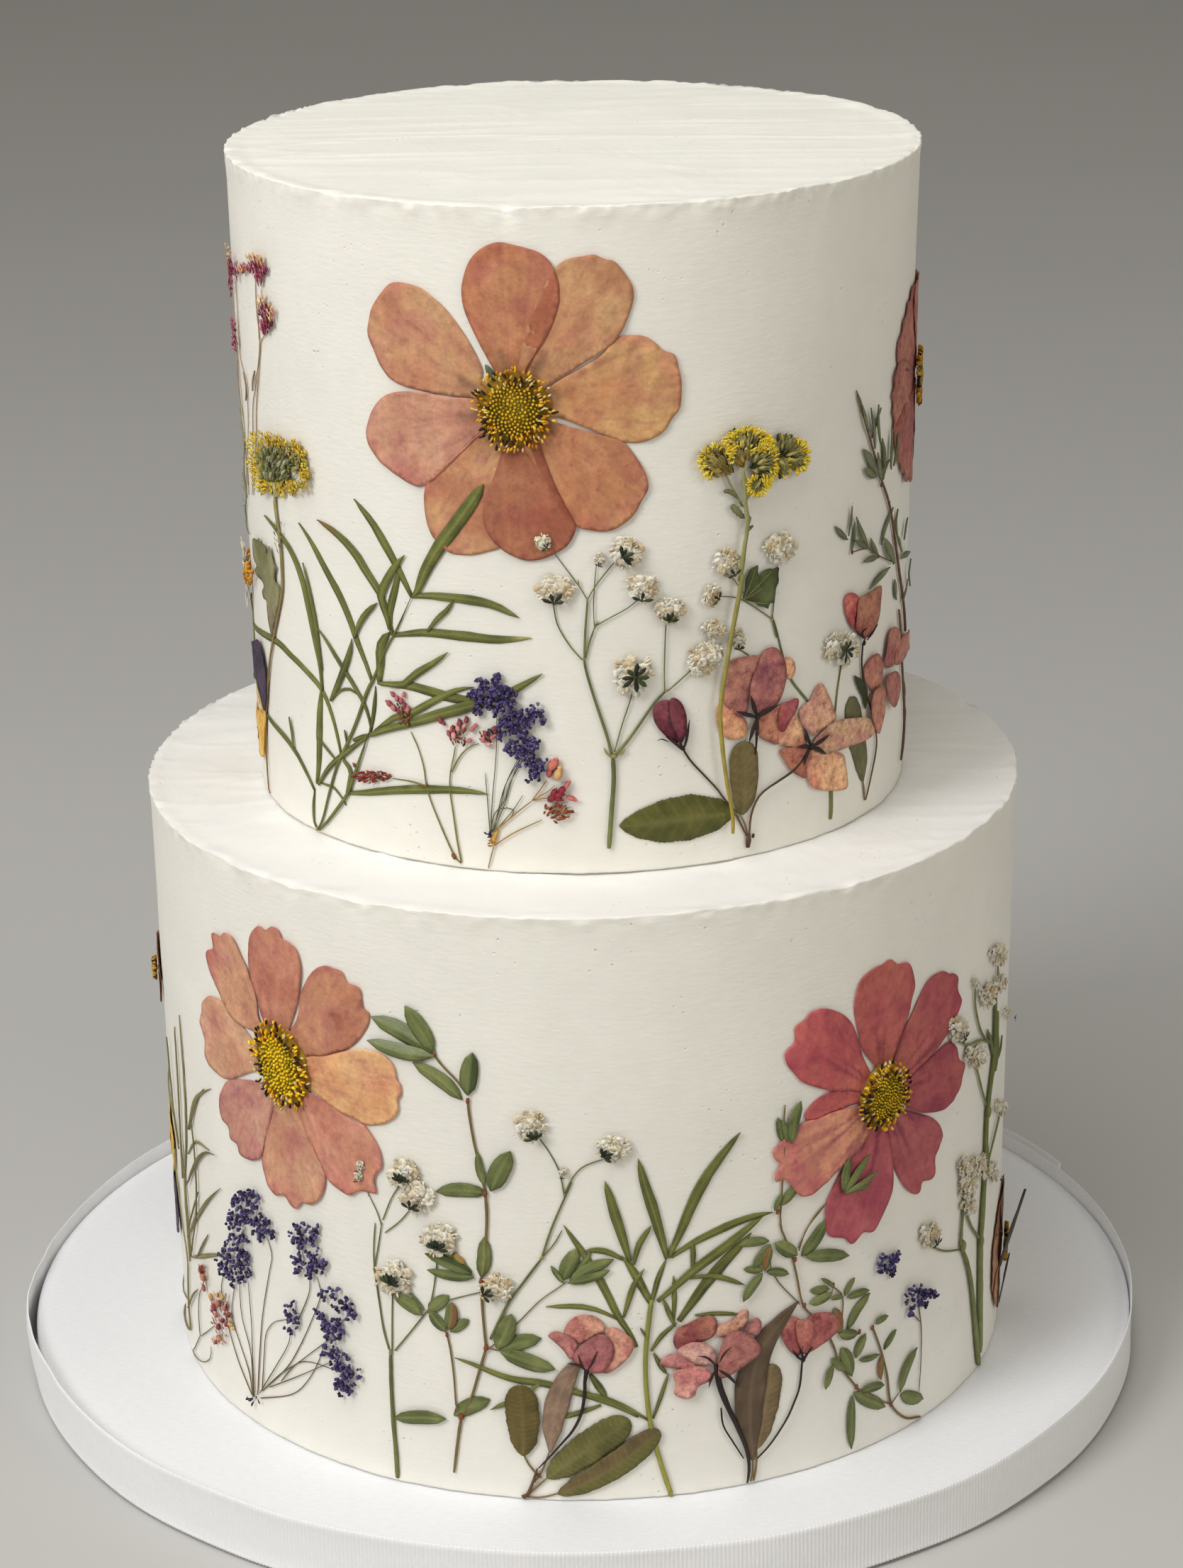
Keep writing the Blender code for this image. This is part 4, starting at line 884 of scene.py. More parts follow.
def cosmos_petals(B, tier, centre, outlines, pal, w0, seed, spacing=0.0008, mauve=0.5, sepals=(), marks=(), order=None,
                  smooth=0.5, tints_and_shade=(), streak=0.2):
    """Petals round a centre (u, z); each outline is a smooth closed curve."""
    c0 = np.asarray(centre, float)
    for i, raw in enumerate(outlines):
        o = resample(spline(raw, 6, True, smooth), 0.00055)
        far = o[np.argmax(((o - c0) ** 2).sum(1))]
        mid = o.mean(0)
        ax = mid - c0
        L = np.sqrt(((o - c0) ** 2).sum(1)).max()
        ax = ax / np.linalg.norm(ax)
        sd = np.array([-ax[1], ax[0]])
        r = np.random.default_rng(seed * 31 + i)
        lift = r.uniform(0.0, 0.00025)
        ph, hue, mv = r.uniform(0, 6), r.uniform(-1, 1), mauve * r.uniform(0.6, 1.2)
        # per-petal colour factor: each petal's own tone, plus painted shade for petals that lie in shadow
        tint = np.asarray(tints_and_shade[i] if i < len(tints_and_shade) else (1, 1, 1), float)

        def height(P, d, ax=ax, sd=sd, L=L, ph=ph, i=i, lift=lift):
            q = P - c0
            k = (q @ ax) / L
            ang = np.arctan2(q @ sd, np.maximum(q @ ax, 1e-5))
            ribs = 0.000045 * np.cos(ang * 34 + ph + 2 * n2(P[:, 0], P[:, 1], 120, seed + i, 2)) * sstep(0.25, 0.6, k)
            wr = 0.00014 * n2(P[:, 0], P[:, 1], 190, seed + i + 7, 3)
            cr = 0.00026 * (1 - np.abs(n2(P[:, 0] * 1.6, P[:, 1], 95, seed + i + 13, 2))) ** 7
            curl = 0.00030 * np.exp(-d / 0.0011) * np.clip(n2(P[:, 0], P[:, 1], 90, seed + i + 3, 2) + 0.35, 0, 1)
            return 0.00022 + 0.00011 * (i % 3) + ribs + wr + cr + curl + lift * k

        def colour(P, d, ax=ax, sd=sd, L=L, hue=hue, mv=mv, i=i, ph=ph, tint=tint):
            q = P - c0
            k = np.clip((q @ ax) / L, 0, 1)
            ang = np.arctan2(q @ sd, np.maximum(q @ ax, 1e-5))
            n = n2(P[:, 0], P[:, 1], 130, seed + 40 + i, 4)
            c = mixc(pal[0], pal[1], np.clip(0.42 + 1.3 * n + 0.12 * hue, 0, 1)) * tint[None, :]
            t = np.clip(n2(P[:, 0], P[:, 1], 55, seed + 90 + i, 3) * 1.3 + 0.1, 0, 1) * 0.55
            c = c * (1 - t[:, None]) + (pal[2] * tint)[None, :] * t[:, None]
            # veins fan out from the base
            v = np.abs(np.sin(ang * 21 + ph + 0.5 * n2(P[:, 0], P[:, 1], 200, seed + i, 2)))
            c = c * (1 - 0.13 * (1 - sstep(0.0, 0.22, v)) * sstep(0.12, 0.4, k))[:, None]
            fine = np.sin(ang * 95 + 5 * n2(P[:, 0], P[:, 1], 260, seed + i + 5, 2))
            c = c * (1 + 0.045 * fine)[:, None]
            # painted highlight: the wrinkle crests raised in height() (same noise) are painted up to 17% lighter
            crest = (1 - np.abs(n2(P[:, 0] * 1.6, P[:, 1], 95, seed + i + 13, 2))) ** 9
            c = c * (1 + 0.17 * crest)[:, None]
            # mauve bruising
            m = sstep(0.0, 0.42, n2(P[:, 0], P[:, 1], 150, seed + 60 + i, 4) + 0.45 * (k - 0.62)) * mv
            c = c * (1 - m[:, None]) + (c * np.array([0.90, 0.70, 0.96])[None, :]) * m[:, None]
            spots = sstep(0.34, 0.6, n2(P[:, 0], P[:, 1], 520, seed + 77 + i, 2)) * mv
            c = c * (1 - 0.30 * spots[:, None] * np.array([0.7, 1.1, 0.5])[None, :])
            # dark streaks running out from the disc
            s = sstep(0.02, 0.42, n2(ang * 0.020, k * 0.004 + 0.37 * i, 700, seed + 21 + i, 3)) * (1 - sstep(0.40, 0.88, k)) * streak
            c = c * (1 - s[:, None] * np.array([0.42, 0.56, 0.34])[None, :])
            # creamy, darker towards the disc
            b = (1 - sstep(0.18, 0.42, k))
            c = c * (1 - 0.22 * b[:, None] * np.array([0.8, 0.9, 1.3])[None, :])
            for (sa, sr, sl) in sepals:
                dirv = np.array([math.cos(sa), math.sin(sa)])
                along = q @ dirv
                off = q @ np.array([-dirv[1], dirv[0]])
                g = np.exp(-(off / 0.0011) ** 2) * sstep(sr - 0.001, sr, along) * (1 - sstep(sr + sl - 0.0015, sr + sl, along))
                c = c * (1 - 0.42 * g[:, None]) + np.array([0.02, 0.02, 0.015])[None, :] * g[:, None]
            # thin dark rim
            e = np.exp(-d / 0.00022)
            c = c * (1 - 0.20 * e[:, None] * np.array([0.6, 1.15, 0.9])[None, :])
            for poly, tint in marks:
                ins = in_poly(P, poly) * sstep(0.0, 0.0006, dist_poly(P, poly))
                c = c * (1 - ins[:, None]) + np.asarray(tint)[None, :] * ins[:, None] * (0.9 + 0.25 * n[:, None])
            return c

        sheet(B, tier, o, w0, height, colour, 0.00012, spacing, P_, seed + i, register=(0.86, 0.72, 0.72))


def cosmos_disc(B, tier, centre, ax, ay, tilt, w0, seed, dark=0.5, skirt=srgb(186, 134, 92), gold=(1.1, 1.0, 0.6)):
    """Disc of tiny florets: a dome of olive-yellow buds, a ring of opened
    yellow florets with black anthers round it."""
    r = np.random.default_rng(seed)
    gold = np.asarray(gold)
    ct, st = math.cos(tilt), math.sin(tilt)

    def at(x, y):
        return np.array([centre[0] + x * ax * ct - y * ay * st, centre[1] + x * ax * st + y * ay * ct])

    # bases of the petals, drawn together under the disc
    t = np.linspace(0, 2 * math.pi, 56, endpoint=False)
    o = np.stack([at(0.92 * math.cos(k) * (1 + 0.05 * math.sin(8 * k)), 0.92 * math.sin(k) * (1 + 0.04 * math.sin(8 * k + 1)))
                  for k in t])
    sheet(B, tier, o, w0 - 0.0003, lambda P, d: 0.0004 + 0.0001 * n2(P[:, 0], P[:, 1], 500, seed),
          lambda P, d: mixc(skirt * 0.86, skirt * 1.1, np.clip(0.5 + n2(P[:, 0], P[:, 1], 500, seed + 1), 0, 1)),
          0.00012, 0.0011, P_, seed)
    # padding under the florets
    t = np.linspace(0, 2 * math.pi, 40, endpoint=False)
    o = np.stack([at(0.9 * math.cos(k) * (1 + 0.05 * math.sin(7 * k)), 0.9 * math.sin(k)) for k in t])
    sheet(B, tier, o, w0, lambda P, d: 0.0004 + 0.0012 * sstep(0, 0.006, d) + 0.0001 * n2(P[:, 0], P[:, 1], 900, seed),
          lambda P, d: mixc(srgb(134, 110, 26), srgb(178, 146, 40), 0.5 + 0.5 * n2(P[:, 0], P[:, 1], 900, seed + 1)),
          0.0004, 0.0008, F_, seed)

    def bead(p, rx, ry, hgt, rot, w, col, col2, rows=4, segs=6, point=0.0):
        k = np.linspace(0.02, 1, rows)
        V, C = [], []
        for j, kk in enumerate(k):
            rad = math.sin(kk * math.pi / 2)
            zz = math.cos(kk * math.pi / 2)
            a = 2 * math.pi * np.arange(segs) / segs + 0.4 * j
            x, y = rad * rx * np.cos(a), rad * ry * np.sin(a)
            X = p[0] + x * math.cos(rot) - y * math.sin(rot)
            Y = p[1] + x * math.sin(rot) + y * math.cos(rot)
            V.append(tier.wall(X, Y, np.full(segs, w + hgt * zz)))
            # painted shade: each floret's top ring takes col2 and its base ring col, which the callers give darker
            # (0.62 or 0.7 of the colour, or a darker brown for anthers)
            C.append(mixc(col2, col, np.full(segs, kk)))
        V, C = np.concatenate(V), np.concatenate(C)
        F = grid_faces(rows, segs, True)
        cap = np.array([[0, i, i + 1] for i in range(1, segs - 1)])
        low = (rows - 1) * segs
        bot = np.array([[low, low + i + 1, low + i] for i in range(1, segs - 1)])
        B.add(V, [F[:, ::-1], cap, bot], C, F_)

    # buds of the middle in a spiral
    N = 150
    for i in range(N):
        rad = math.sqrt((i + 0.5) / N) * 0.64
        th = i * 2.39996
        x, y = rad * math.cos(th), rad * math.sin(th)
        p = at(x, y)
        w = w0 + 0.0013 + 0.0004 * (1 - rad / 0.64)
        g = r.uniform(0, 1)
        c = mixc(srgb(196, 166, 34), srgb(234, 206, 66), np.array([g]))[0] * gold
        if r.random() < 0.25:
            c = srgb(156, 144, 48) * gold
        g = r.uniform(0.85, 1.35)
        bead(p, 0.00044 * g * ax / 0.011, 0.00044 * ay / 0.011, r.uniform(0.0005, 0.0009), th, w, c * 0.62, c, 3, 5)
    # opened ring
    M = 170
    for i in range(M):
        th = 2 * math.pi * (i + r.uniform(-0.4, 0.4)) / M * 3.0
        rad = r.uniform(0.62, 1.03)
        x, y = rad * math.cos(th), rad * math.sin(th)
        p = at(x, y)
        w = w0 + 0.0011 + r.uniform(0, 0.0006) - 0.0005 * (rad - 0.62)
        rot = th + tilt + r.uniform(-0.6, 0.6)
        kind = r.random()
        if kind < 0.17 + 0.1 * dark:
            bead(p, r.uniform(0.0006, 0.0010), 0.00032, 0.00055, rot, w + 0.0002, srgb(28, 20, 14), srgb(50, 38, 28), 3, 5)
        elif kind < 0.86:
            c = [srgb(232, 184, 50), srgb(214, 160, 40), srgb(242, 208, 96), srgb(188, 136, 42)][r.integers(4)] * gold
            bead(p, r.uniform(0.0005, 0.00085), r.uniform(0.00022, 0.0004), 0.0006, rot, w, c * 0.7, c, 3, 5)
        else:
            c = srgb(236, 216, 160)
            bead(p, r.uniform(0.0005, 0.0008), 0.00025, 0.0006, rot, w + 0.0001, c * 0.7, c, 3, 5)


def finish_piece(B, name, node):
    ob = B.object(name, PLANT)
    if node:
        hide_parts(node)
    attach(ob, "root")
    return ob


def t6():
    V = View(UPPER, 480, 310, 3.0745)
    outs = {
        "D": [(840, 790), (880, 745), (960, 690), (1050, 640), (1140, 580), (1200, 512), (1290, 500), (1350, 520),
              (1400, 565), (1450, 585), (1468, 650), (1478, 710), (1472, 810), (1440, 860), (1400, 920), (1350, 950),
              (1290, 968), (1220, 960), (1140, 930), (1040, 890), (950, 860), (850, 850)],
        "C": [(760, 740), (778, 600), (795, 520), (822, 430), (865, 330), (928, 215), (985, 170), (1050, 157),
              (1100, 150), (1150, 170), (1190, 180), (1240, 240), (1268, 290), (1270, 350), (1245, 430), (1200, 515),
              (1140, 570), (1060, 620), (980, 672), (900, 722), (830, 790)],
        "B": [(720, 760), (690, 690), (640, 600), (580, 480), (540, 390), (527, 310), (535, 250), (560, 180), (610, 125),
              (680, 97), (760, 110), (850, 135), (900, 170), (928, 215), (948, 280), (945, 380), (905, 490), (845, 590),
              (800, 680), (775, 760)],
        "A": [(720, 840), (600, 775), (480, 762), (340, 738), (240, 703), (180, 640), (148, 560), (122, 490), (128, 430),
              (143, 372), (190, 305), (235, 270), (330, 285), (400, 330), (470, 400), (535, 490), (585, 575), (618, 650),
              (622, 700), (720, 790)],
        "E": [(800, 850), (880, 862), (960, 885), (1060, 912), (1150, 937), (1225, 962), (1270, 1010), (1320, 1090),
              (1335, 1160), (1305, 1220), (1270, 1280), (1200, 1335), (1140, 1350), (1070, 1340), (1020, 1325),
              (960, 1270), (900, 1170), (850, 1080), (800, 980), (780, 890)],
        "F": [(790, 860), (860, 960), (885, 1030), (930, 1140), (980, 1240), (1022, 1322), (1000, 1390), (960, 1430),
              (880, 1468), (810, 1475), (750, 1455), (700, 1425), (650, 1370), (622, 1290), (640, 1200), (680, 1080),
              (720, 960), (745, 860)],
        "G": [(780, 860), (768, 1000), (776, 1150), (782, 1230), (765, 1320), (730, 1390), (690, 1425), (640, 1440),
              (560, 1455), (480, 1445), (430, 1400), (400, 1370), (375, 1300), (365, 1200), (385, 1130), (440, 1070),
              (520, 1000), (600, 930), (700, 850)],
        "H": [(730, 850), (620, 925), (540, 1000), (470, 1070), (400, 1130), (350, 1155), (300, 1140), (240, 1100),
              (180, 1050), (140, 1000), (122, 960), (118, 900), (140, 830), (180, 775), (230, 748), (300, 742),
              (380, 750), (470, 768), (560, 772), (720, 800)]}
    B = Build()
    c = V([(755, 820)])[0]
    # green bract tips that show between the petals
    for tip, half in (((628, 628), 16), ((905, 705), 12), ((575, 760), 12)):
        q = V([tip])[0]
        d = q - c
        s = np.array([-d[1], d[0]]) / np.linalg.norm(d) * 0.0011
        o = resample(spline(np.stack([c + d * 0.35 + s, c + d * 0.75 + s * 0.9, q, c + d * 0.75 - s * 0.9,
                                      c + d * 0.35 - s]), 5, True), 0.0005)
        sheet(B, UPPER, o, 0.0001, lambda P, d: 0.0002 + 0 * d,
              lambda P, d: mixc(srgb(78, 88, 62), srgb(120, 124, 92), np.clip(0.5 + n2(P[:, 0], P[:, 1], 700, 5), 0, 1)),
              0.0002, 0.0008, L_, 3)
    sep = []
    for tx, ty in ((690, 545), (880, 595), (500, 680), (495, 858), (985, 742), (950, 930)):
        q = V([(tx, ty)])[0] - c
        L = np.linalg.norm(q)
        sep.append((math.atan2(q[1], q[0]), 0.6 * L, 0.4 * L))
    pal = [q * np.array([1.08, 1.10, 0.92]) for q in SALMON]
    cosmos_petals(B, UPPER, c, [V(outs[k]) for k in "DCBAEFGH"], pal, 0.0, 101, 0.00072, 0.6, sepals=sep,
                  streak=0.3,
                  # per-petal tones with painted shade; the sixth (petal F) is darkest, as painted shadow
                  tints_and_shade=((1.01, 1.12, 0.98), (0.97, 1.15, 1.10), (0.82, 0.70, 0.69), (0.98, 1.07, 1.12), (0.92, 0.91, 0.85),
                         (0.65, 0.50, 0.52), (0.94, 0.99, 0.99), (0.96, 1.01, 1.27)))
    a = V([(930, 820), (755, 1000)])
    cosmos_disc(B, UPPER, c, abs(a[0][0] - c[0]), abs(a[1][1] - c[1]), 0.0, 0.0004, 7)
    finish_piece(B, "cosmos_upper_petals", "cosmos_upper")


def l5():
    V = View(LOWER, 270, 1290, 3.6455)
    outs = [
        [(430, 680), (330, 600), (250, 560), (190, 480), (140, 360), (105, 280), (92, 215), (100, 180), (125, 168),
         (115, 105), (125, 90), (150, 105), (165, 105), (180, 90), (215, 110), (240, 150), (270, 220), (300, 280),
         (325, 360), (345, 450), (360, 540), (450, 680)],
        [(440, 660), (370, 520), (350, 430), (320, 340), (303, 250), (303, 150), (315, 100), (340, 65), (360, 55),
         (385, 75), (405, 70), (420, 58), (445, 65), (465, 90), (475, 120), (510, 135), (545, 170), (565, 220),
         (575, 290), (568, 360), (560, 430), (540, 500), (520, 560), (480, 660)],
        [(480, 660), (545, 540), (560, 470), (570, 400), (600, 330), (640, 280), (690, 262), (740, 275), (780, 295),
         (805, 345), (850, 360), (875, 385), (882, 440), (890, 480), (918, 505), (915, 560), (890, 610), (850, 660),
         (800, 695), (740, 710), (680, 728), (620, 725), (500, 720)],
        [(500, 780), (600, 730), (680, 727), (760, 707), (850, 690), (930, 695), (990, 715), (1035, 755), (1055, 800),
         (1060, 840), (1080, 870), (1085, 925), (1065, 950), (1070, 1000), (1040, 1050), (980, 1078), (900, 1080),
         (860, 1060), (780, 1020), (700, 970), (640, 920), (520, 830)],
        [(520, 840), (600, 900), (680, 955), (760, 1010), (860, 1065), (900, 1085), (950, 1160), (980, 1230), (985, 1300),
         (955, 1330), (945, 1370), (958, 1430), (930, 1430), (870, 1420), (820, 1440), (760, 1410), (710, 1360),
         (680, 1310), (640, 1220), (590, 1120), (560, 1020), (500, 880)],
        [(500, 860), (570, 1050), (610, 1150), (650, 1240), (690, 1320), (690, 1400), (665, 1460), (625, 1490),
         (580, 1480), (560, 1500), (545, 1510), (520, 1490), (485, 1440), (440, 1440), (400, 1380), (375, 1300),
         (370, 1230), (390, 1130), (420, 1010), (460, 860)],
        [(470, 840), (360, 862), (300, 850), (200, 850), (160, 910), (150, 980), (165, 1050), (195, 1090), (205, 1150),
         (240, 1175), (255, 1230), (300, 1255), (340, 1260), (370, 1240), (388, 1150), (414, 1050), (460, 900)],
        [(450, 740), (330, 650), (280, 590), (220, 520), (180, 460), (140, 430), (95, 418), (65, 450), (60, 500),
         (48, 545), (60, 590), (75, 640), (80, 710), (100, 770), (130, 810), (180, 845), (230, 840), (300, 815),
         (360, 800), (450, 790)]]
    B = Build()
    c = V([(475, 768)])[0]
    red = V([(708, 488), (762, 500), (798, 560), (790, 602), (742, 608), (735, 552), (692, 512)])
    order = [7, 1, 0, 2, 6, 4, 3, 5]
    pal = [q * np.array([1.22, 1.29, 1.24]) for q in SALMON]
    cosmos_petals(B, LOWER, c, [V(outs[k]) for k in order], pal, 0.0, 211, 0.00078, 0.7,
                  marks=[(resample(red, 0.0004), srgb(170, 105, 82))],
                  streak=0.3,
                  tints_and_shade=((0.99, 1.15, 1.17), (0.80, 0.67, 0.71), (0.89, 0.90, 0.91), (0.80, 0.72, 0.72), (0.87, 0.94, 1.15),
                         (0.92, 0.83, 0.92), (1.19, 1.39, 1.11), (0.91, 0.95, 0.98)))
    a = V([(630, 768), (475, 990)])
    cosmos_disc(B, LOWER, c, 0.0089, 0.0106, 0.30, 0.0004, 9, 1.1, gold=(1.6, 1.5, 0.46))
    finish_piece(B, "cosmos_lower_left_petals", "cosmos_lower_left")


def l15():
    V = View(LOWER, 1080, 1340, 3.6467)
    outs = [
        [(600, 700), (560, 600), (500, 520), (475, 420), (455, 300), (470, 200), (500, 140), (560, 90), (600, 75), (640, 48),
         (680, 72), (725, 62), (755, 100), (768, 180), (750, 250), (735, 330), (700, 420), (670, 500), (650, 570),
         (630, 690)],
        [(620, 720), (665, 540), (700, 430), (760, 310), (800, 220), (840, 150), (880, 120), (915, 108), (945, 125),
         (960, 118), (985, 140), (985, 200), (1000, 260), (985, 320), (950, 400), (900, 480), (840, 560), (760, 640),
         (660, 740)],
        [(640, 740), (720, 660), (780, 610), (850, 550), (900, 500), (945, 470), (975, 500), (985, 560), (1012, 580),
         (1005, 640), (990, 710), (950, 780), (890, 825), (820, 835), (760, 825), (650, 780)],
        [(620, 770), (700, 812), (790, 840), (850, 860), (890, 900), (900, 960), (880, 1020), (862, 1070), (862, 1150),
         (840, 1180), (800, 1190), (790, 1240), (765, 1255), (720, 1230), (680, 1170), (650, 1090), (635, 1000),
         (605, 800)],
        [(590, 800), (605, 900), (630, 960), (645, 1050), (650, 1180), (640, 1260), (600, 1360), (550, 1445), (500, 1450),
         (470, 1480), (435, 1510), (400, 1480), (325, 1470), (305, 1400), (310, 1300), (340, 1230), (385, 1140),
         (430, 1080), (480, 1000), (560, 800)],
        [(570, 780), (440, 810), (350, 830), (270, 865), (200, 880), (140, 930), (70, 990), (35, 1040), (50, 1080),
         (75, 1100), (45, 1150), (50, 1190), (100, 1180), (150, 1240), (180, 1262), (240, 1250), (300, 1200),
         (360, 1140), (430, 1070), (500, 980), (580, 820)],
        [(570, 740), (430, 725), (330, 730), (260, 770), (215, 820), (200, 860), (230, 880), (300, 860), (380, 825),
         (450, 795), (570, 770)],
        [(590, 740), (505, 560), (480, 470), (450, 390), (410, 340), (350, 310), (290, 300), (230, 320), (200, 360),
         (150, 400), (150, 470), (100, 530), (110, 590), (150, 640), (190, 680), (280, 710), (370, 725), (450, 722),
         (580, 760)]]
    B = Build()
    c = V([(600, 745)])[0]
    pal = [q * np.array([1.40, 1.32, 1.12]) for q in ROSE]
    cosmos_petals(B, LOWER, c, [V(o) for o in outs], pal, 0.0, 307, 0.00074, 0.8, streak=0.95,
                  tints_and_shade=((1.04, 1.04, 1), (1, 1, 1), (0.82, 0.70, 0.86), (0.94, 0.9, 1.08), (1, 0.93, 1.15), (1.34, 2.1, 1.6),
                         (1.2, 1.17, 1.15), (1.2, 1.17, 1.15)))
    cosmos_disc(B, LOWER, c, 0.0076, 0.0086, 0.1, 0.0004, 15, 0.9, srgb(168, 100, 84), (1.15, 1.05, 0.55))
    finish_piece(B, "cosmos_lower_right_petals", "cosmos_lower_right")



# ============================================================ leaves, petals, stems
PROF = {
    "lobe": ([0, .06, .25, .55, .82, .95, 1], [.42, .5, .8, 1, .74, .38, .04]),
    "oval": ([0, .03, .14, .35, .6, .8, .93, 1], [.10, .26, .72, .99, 1, .8, .44, .05]),
    "blunt": ([0, .04, .18, .5, .8, .93, .98, 1], [.12, .36, .76, 1, .97, .7, .42, .08]),
    "lance": ([0, .05, .2, .45, .7, .9, 1], [.12, .28, .76, 1, .78, .34, .03]),
    "grass": ([0, .2, .6, .9, 1], [.55, .8, 1, .45, .05]),
    "spoon": ([0, .3, .6, .85, .96, 1], [.2, .4, .85, 1, .6, .1]),
    "big": ([0, .03, .15, .4, .65, .85, .95, 1], [.06, .2, .68, 1, .93, .6, .3, .03]),
    "purple": ([0, .06, .25, .5, .72, .88, 1], [.08, .3, .86, 1, .8, .46, .05]),
}


def evenly(line, n):
    p = spline(np.asarray(line, float), 8) if len(line) > 2 else np.asarray(line, float)
    d = np.sqrt(((p[1:] - p[:-1]) ** 2).sum(1))
    s = np.concatenate([[0], np.cumsum(d)])
    t = np.linspace(0, s[-1], n)
    return np.stack([np.interp(t, s, p[:, 0]), np.interp(t, s, p[:, 1])], -1), s[-1]


def blade(B, tier, V, line, width, c0, c1, w0=0.0003, prof="lobe", seed=0, across=5, mid=0.2, veins=0, teeth=0,
          tooth=0.0, camber=0.00012, tipc=None, half=None, m=L_, reg=None, rag=0.05, wav=0.00012, thick=0.00015,
          groove=0.0, rise=0.0, n=None):
    """A leaf or lobe along a line, given in the view's own units."""
    pts = V(line)
    L = np.sqrt(((pts[1:] - pts[:-1]) ** 2).sum(1)).sum()
    if n is None:
        n = int(np.clip(L / 0.0021, 7, 34))
    if teeth:
        n = max(n, teeth * 3 + 1)
    p, L = evenly(pts, n)
    k = np.linspace(0, 1, n)
    d = np.gradient(p, axis=0)
    d /= np.maximum(np.sqrt((d ** 2).sum(1))[:, None], 1e-12)
    sd = np.stack([-d[:, 1], d[:, 0]], -1)
    hw = 0.5 * width * V.k * np.interp(k, *PROF[prof])
    t = np.linspace(-1, 1, across)
    K, T = np.meshgrid(k, t, indexing="ij")
    e = 1 + rag * vn(np.stack([K * L * 700, np.sign(T) * 3.1, np.full_like(K, seed * 1.7)], -1))
    if teeth:
        e = e * (1 + tooth * (((K * teeth) % 1) - 0.5) * np.abs(T) ** 2)
    off = hw[:, None] * T * e
    P = p[:, None, :] + sd[:, None, :] * off[..., None]
    x, y = P[..., 0], P[..., 1]
    g1 = n2(x, y, 330, seed, 3)
    ridge = np.exp(-(T / 0.2) ** 2)
    h = w0 + camber * (1 - T ** 2) + wav * (g1 + 0.35) + 0.00009 * ridge * (mid > 0) + rise * K \
        - groove * np.exp(-((np.abs(T) - 0.5) / 0.2) ** 2)
    if veins:
        f = np.abs(((K * veins - np.abs(T) * 0.9) % 1) - 0.5)
        vv = np.exp(-(f / 0.12) ** 2) * sstep(0.05, 0.2, np.abs(T))
        h = h + 0.00003 * vv
    streak = vn(np.stack([T * 2.6 + seed, K * L * 60, np.full_like(K, 1.0)], -1))
    g2 = n2(x, y, 1300, seed + 1, 2)
    mixv = np.clip(0.5 + 0.75 * g1 + 0.28 * streak, 0, 1)[..., None]
    c = np.asarray(c0) * (1 - mixv) + np.asarray(c1) * mixv
    c = c * (1 + 0.13 * g2[..., None])
    if half is not None:
        hs = sstep(-0.05, 0.12, T)[..., None]
        c2 = np.asarray(half) * (1 + 0.25 * g1[..., None] + 0.12 * g2[..., None])
        c = c * hs + c2 * (1 - hs)
    # painted shade: darker along the two grooves pressed in halfway to the edges
    if groove:
        c = c * (1 - 0.22 * np.exp(-((np.abs(T) - 0.5) / 0.22) ** 2))[..., None]
    if veins:
        c = c * (1 + 0.30 * vv[..., None])
    if mid > 0:
        pale = np.asarray(c1) * 1.5 + 0.035
        r = (np.exp(-(T / 0.16) ** 2) * mid * (1 - 0.5 * K))[..., None]
        c = c * (1 - r) + pale * r
    c = c * (1 - 0.22 * np.abs(T) ** 6)[..., None]
    if tipc is not None:
        q = sstep(0.72, 0.97, K + 0.1 * g1)[..., None]
        c = c * (1 - q) + np.asarray(tipc) * q
    h = np.maximum(h, 0.0001)
    top = tier.wall(x.ravel(), y.ravel(), h.ravel())
    bot = tier.wall(x.ravel(), y.ravel(), (h - thick).ravel())
    a = across
    F = grid_faces(n, a)[:, ::-1]
    N = n * a
    i = np.arange(n - 1)
    j = np.arange(a - 1)
    e0 = np.stack([i * a, (i + 1) * a, (i + 1) * a + N, i * a + N], -1)
    e1 = np.stack([i * a + a - 1, i * a + a - 1 + N, (i + 1) * a + a - 1 + N, (i + 1) * a + a - 1], -1)
    e2 = np.stack([j, j + N, j + 1 + N, j + 1], -1)
    l = (n - 1) * a
    e3 = np.stack([l + j, l + j + 1, l + j + 1 + N, l + j + N], -1)
    C = c.reshape(-1, 3)
    # painted shade: the under face is painted 15% darker, so the edge walls darken towards the icing
    B.add(np.concatenate([top, bot]), [F, F[:, ::-1] + N, e0[:, ::-1], e1[:, ::-1], e2[:, ::-1], e3[:, ::-1]],
          np.concatenate([C, C * 0.85]), m)
    if reg is not None:
        o = np.concatenate([P[:, 0], P[::-1, -1]])
        tier.under.append((o, o.min(0), o.max(0), np.asarray(reg, float)))


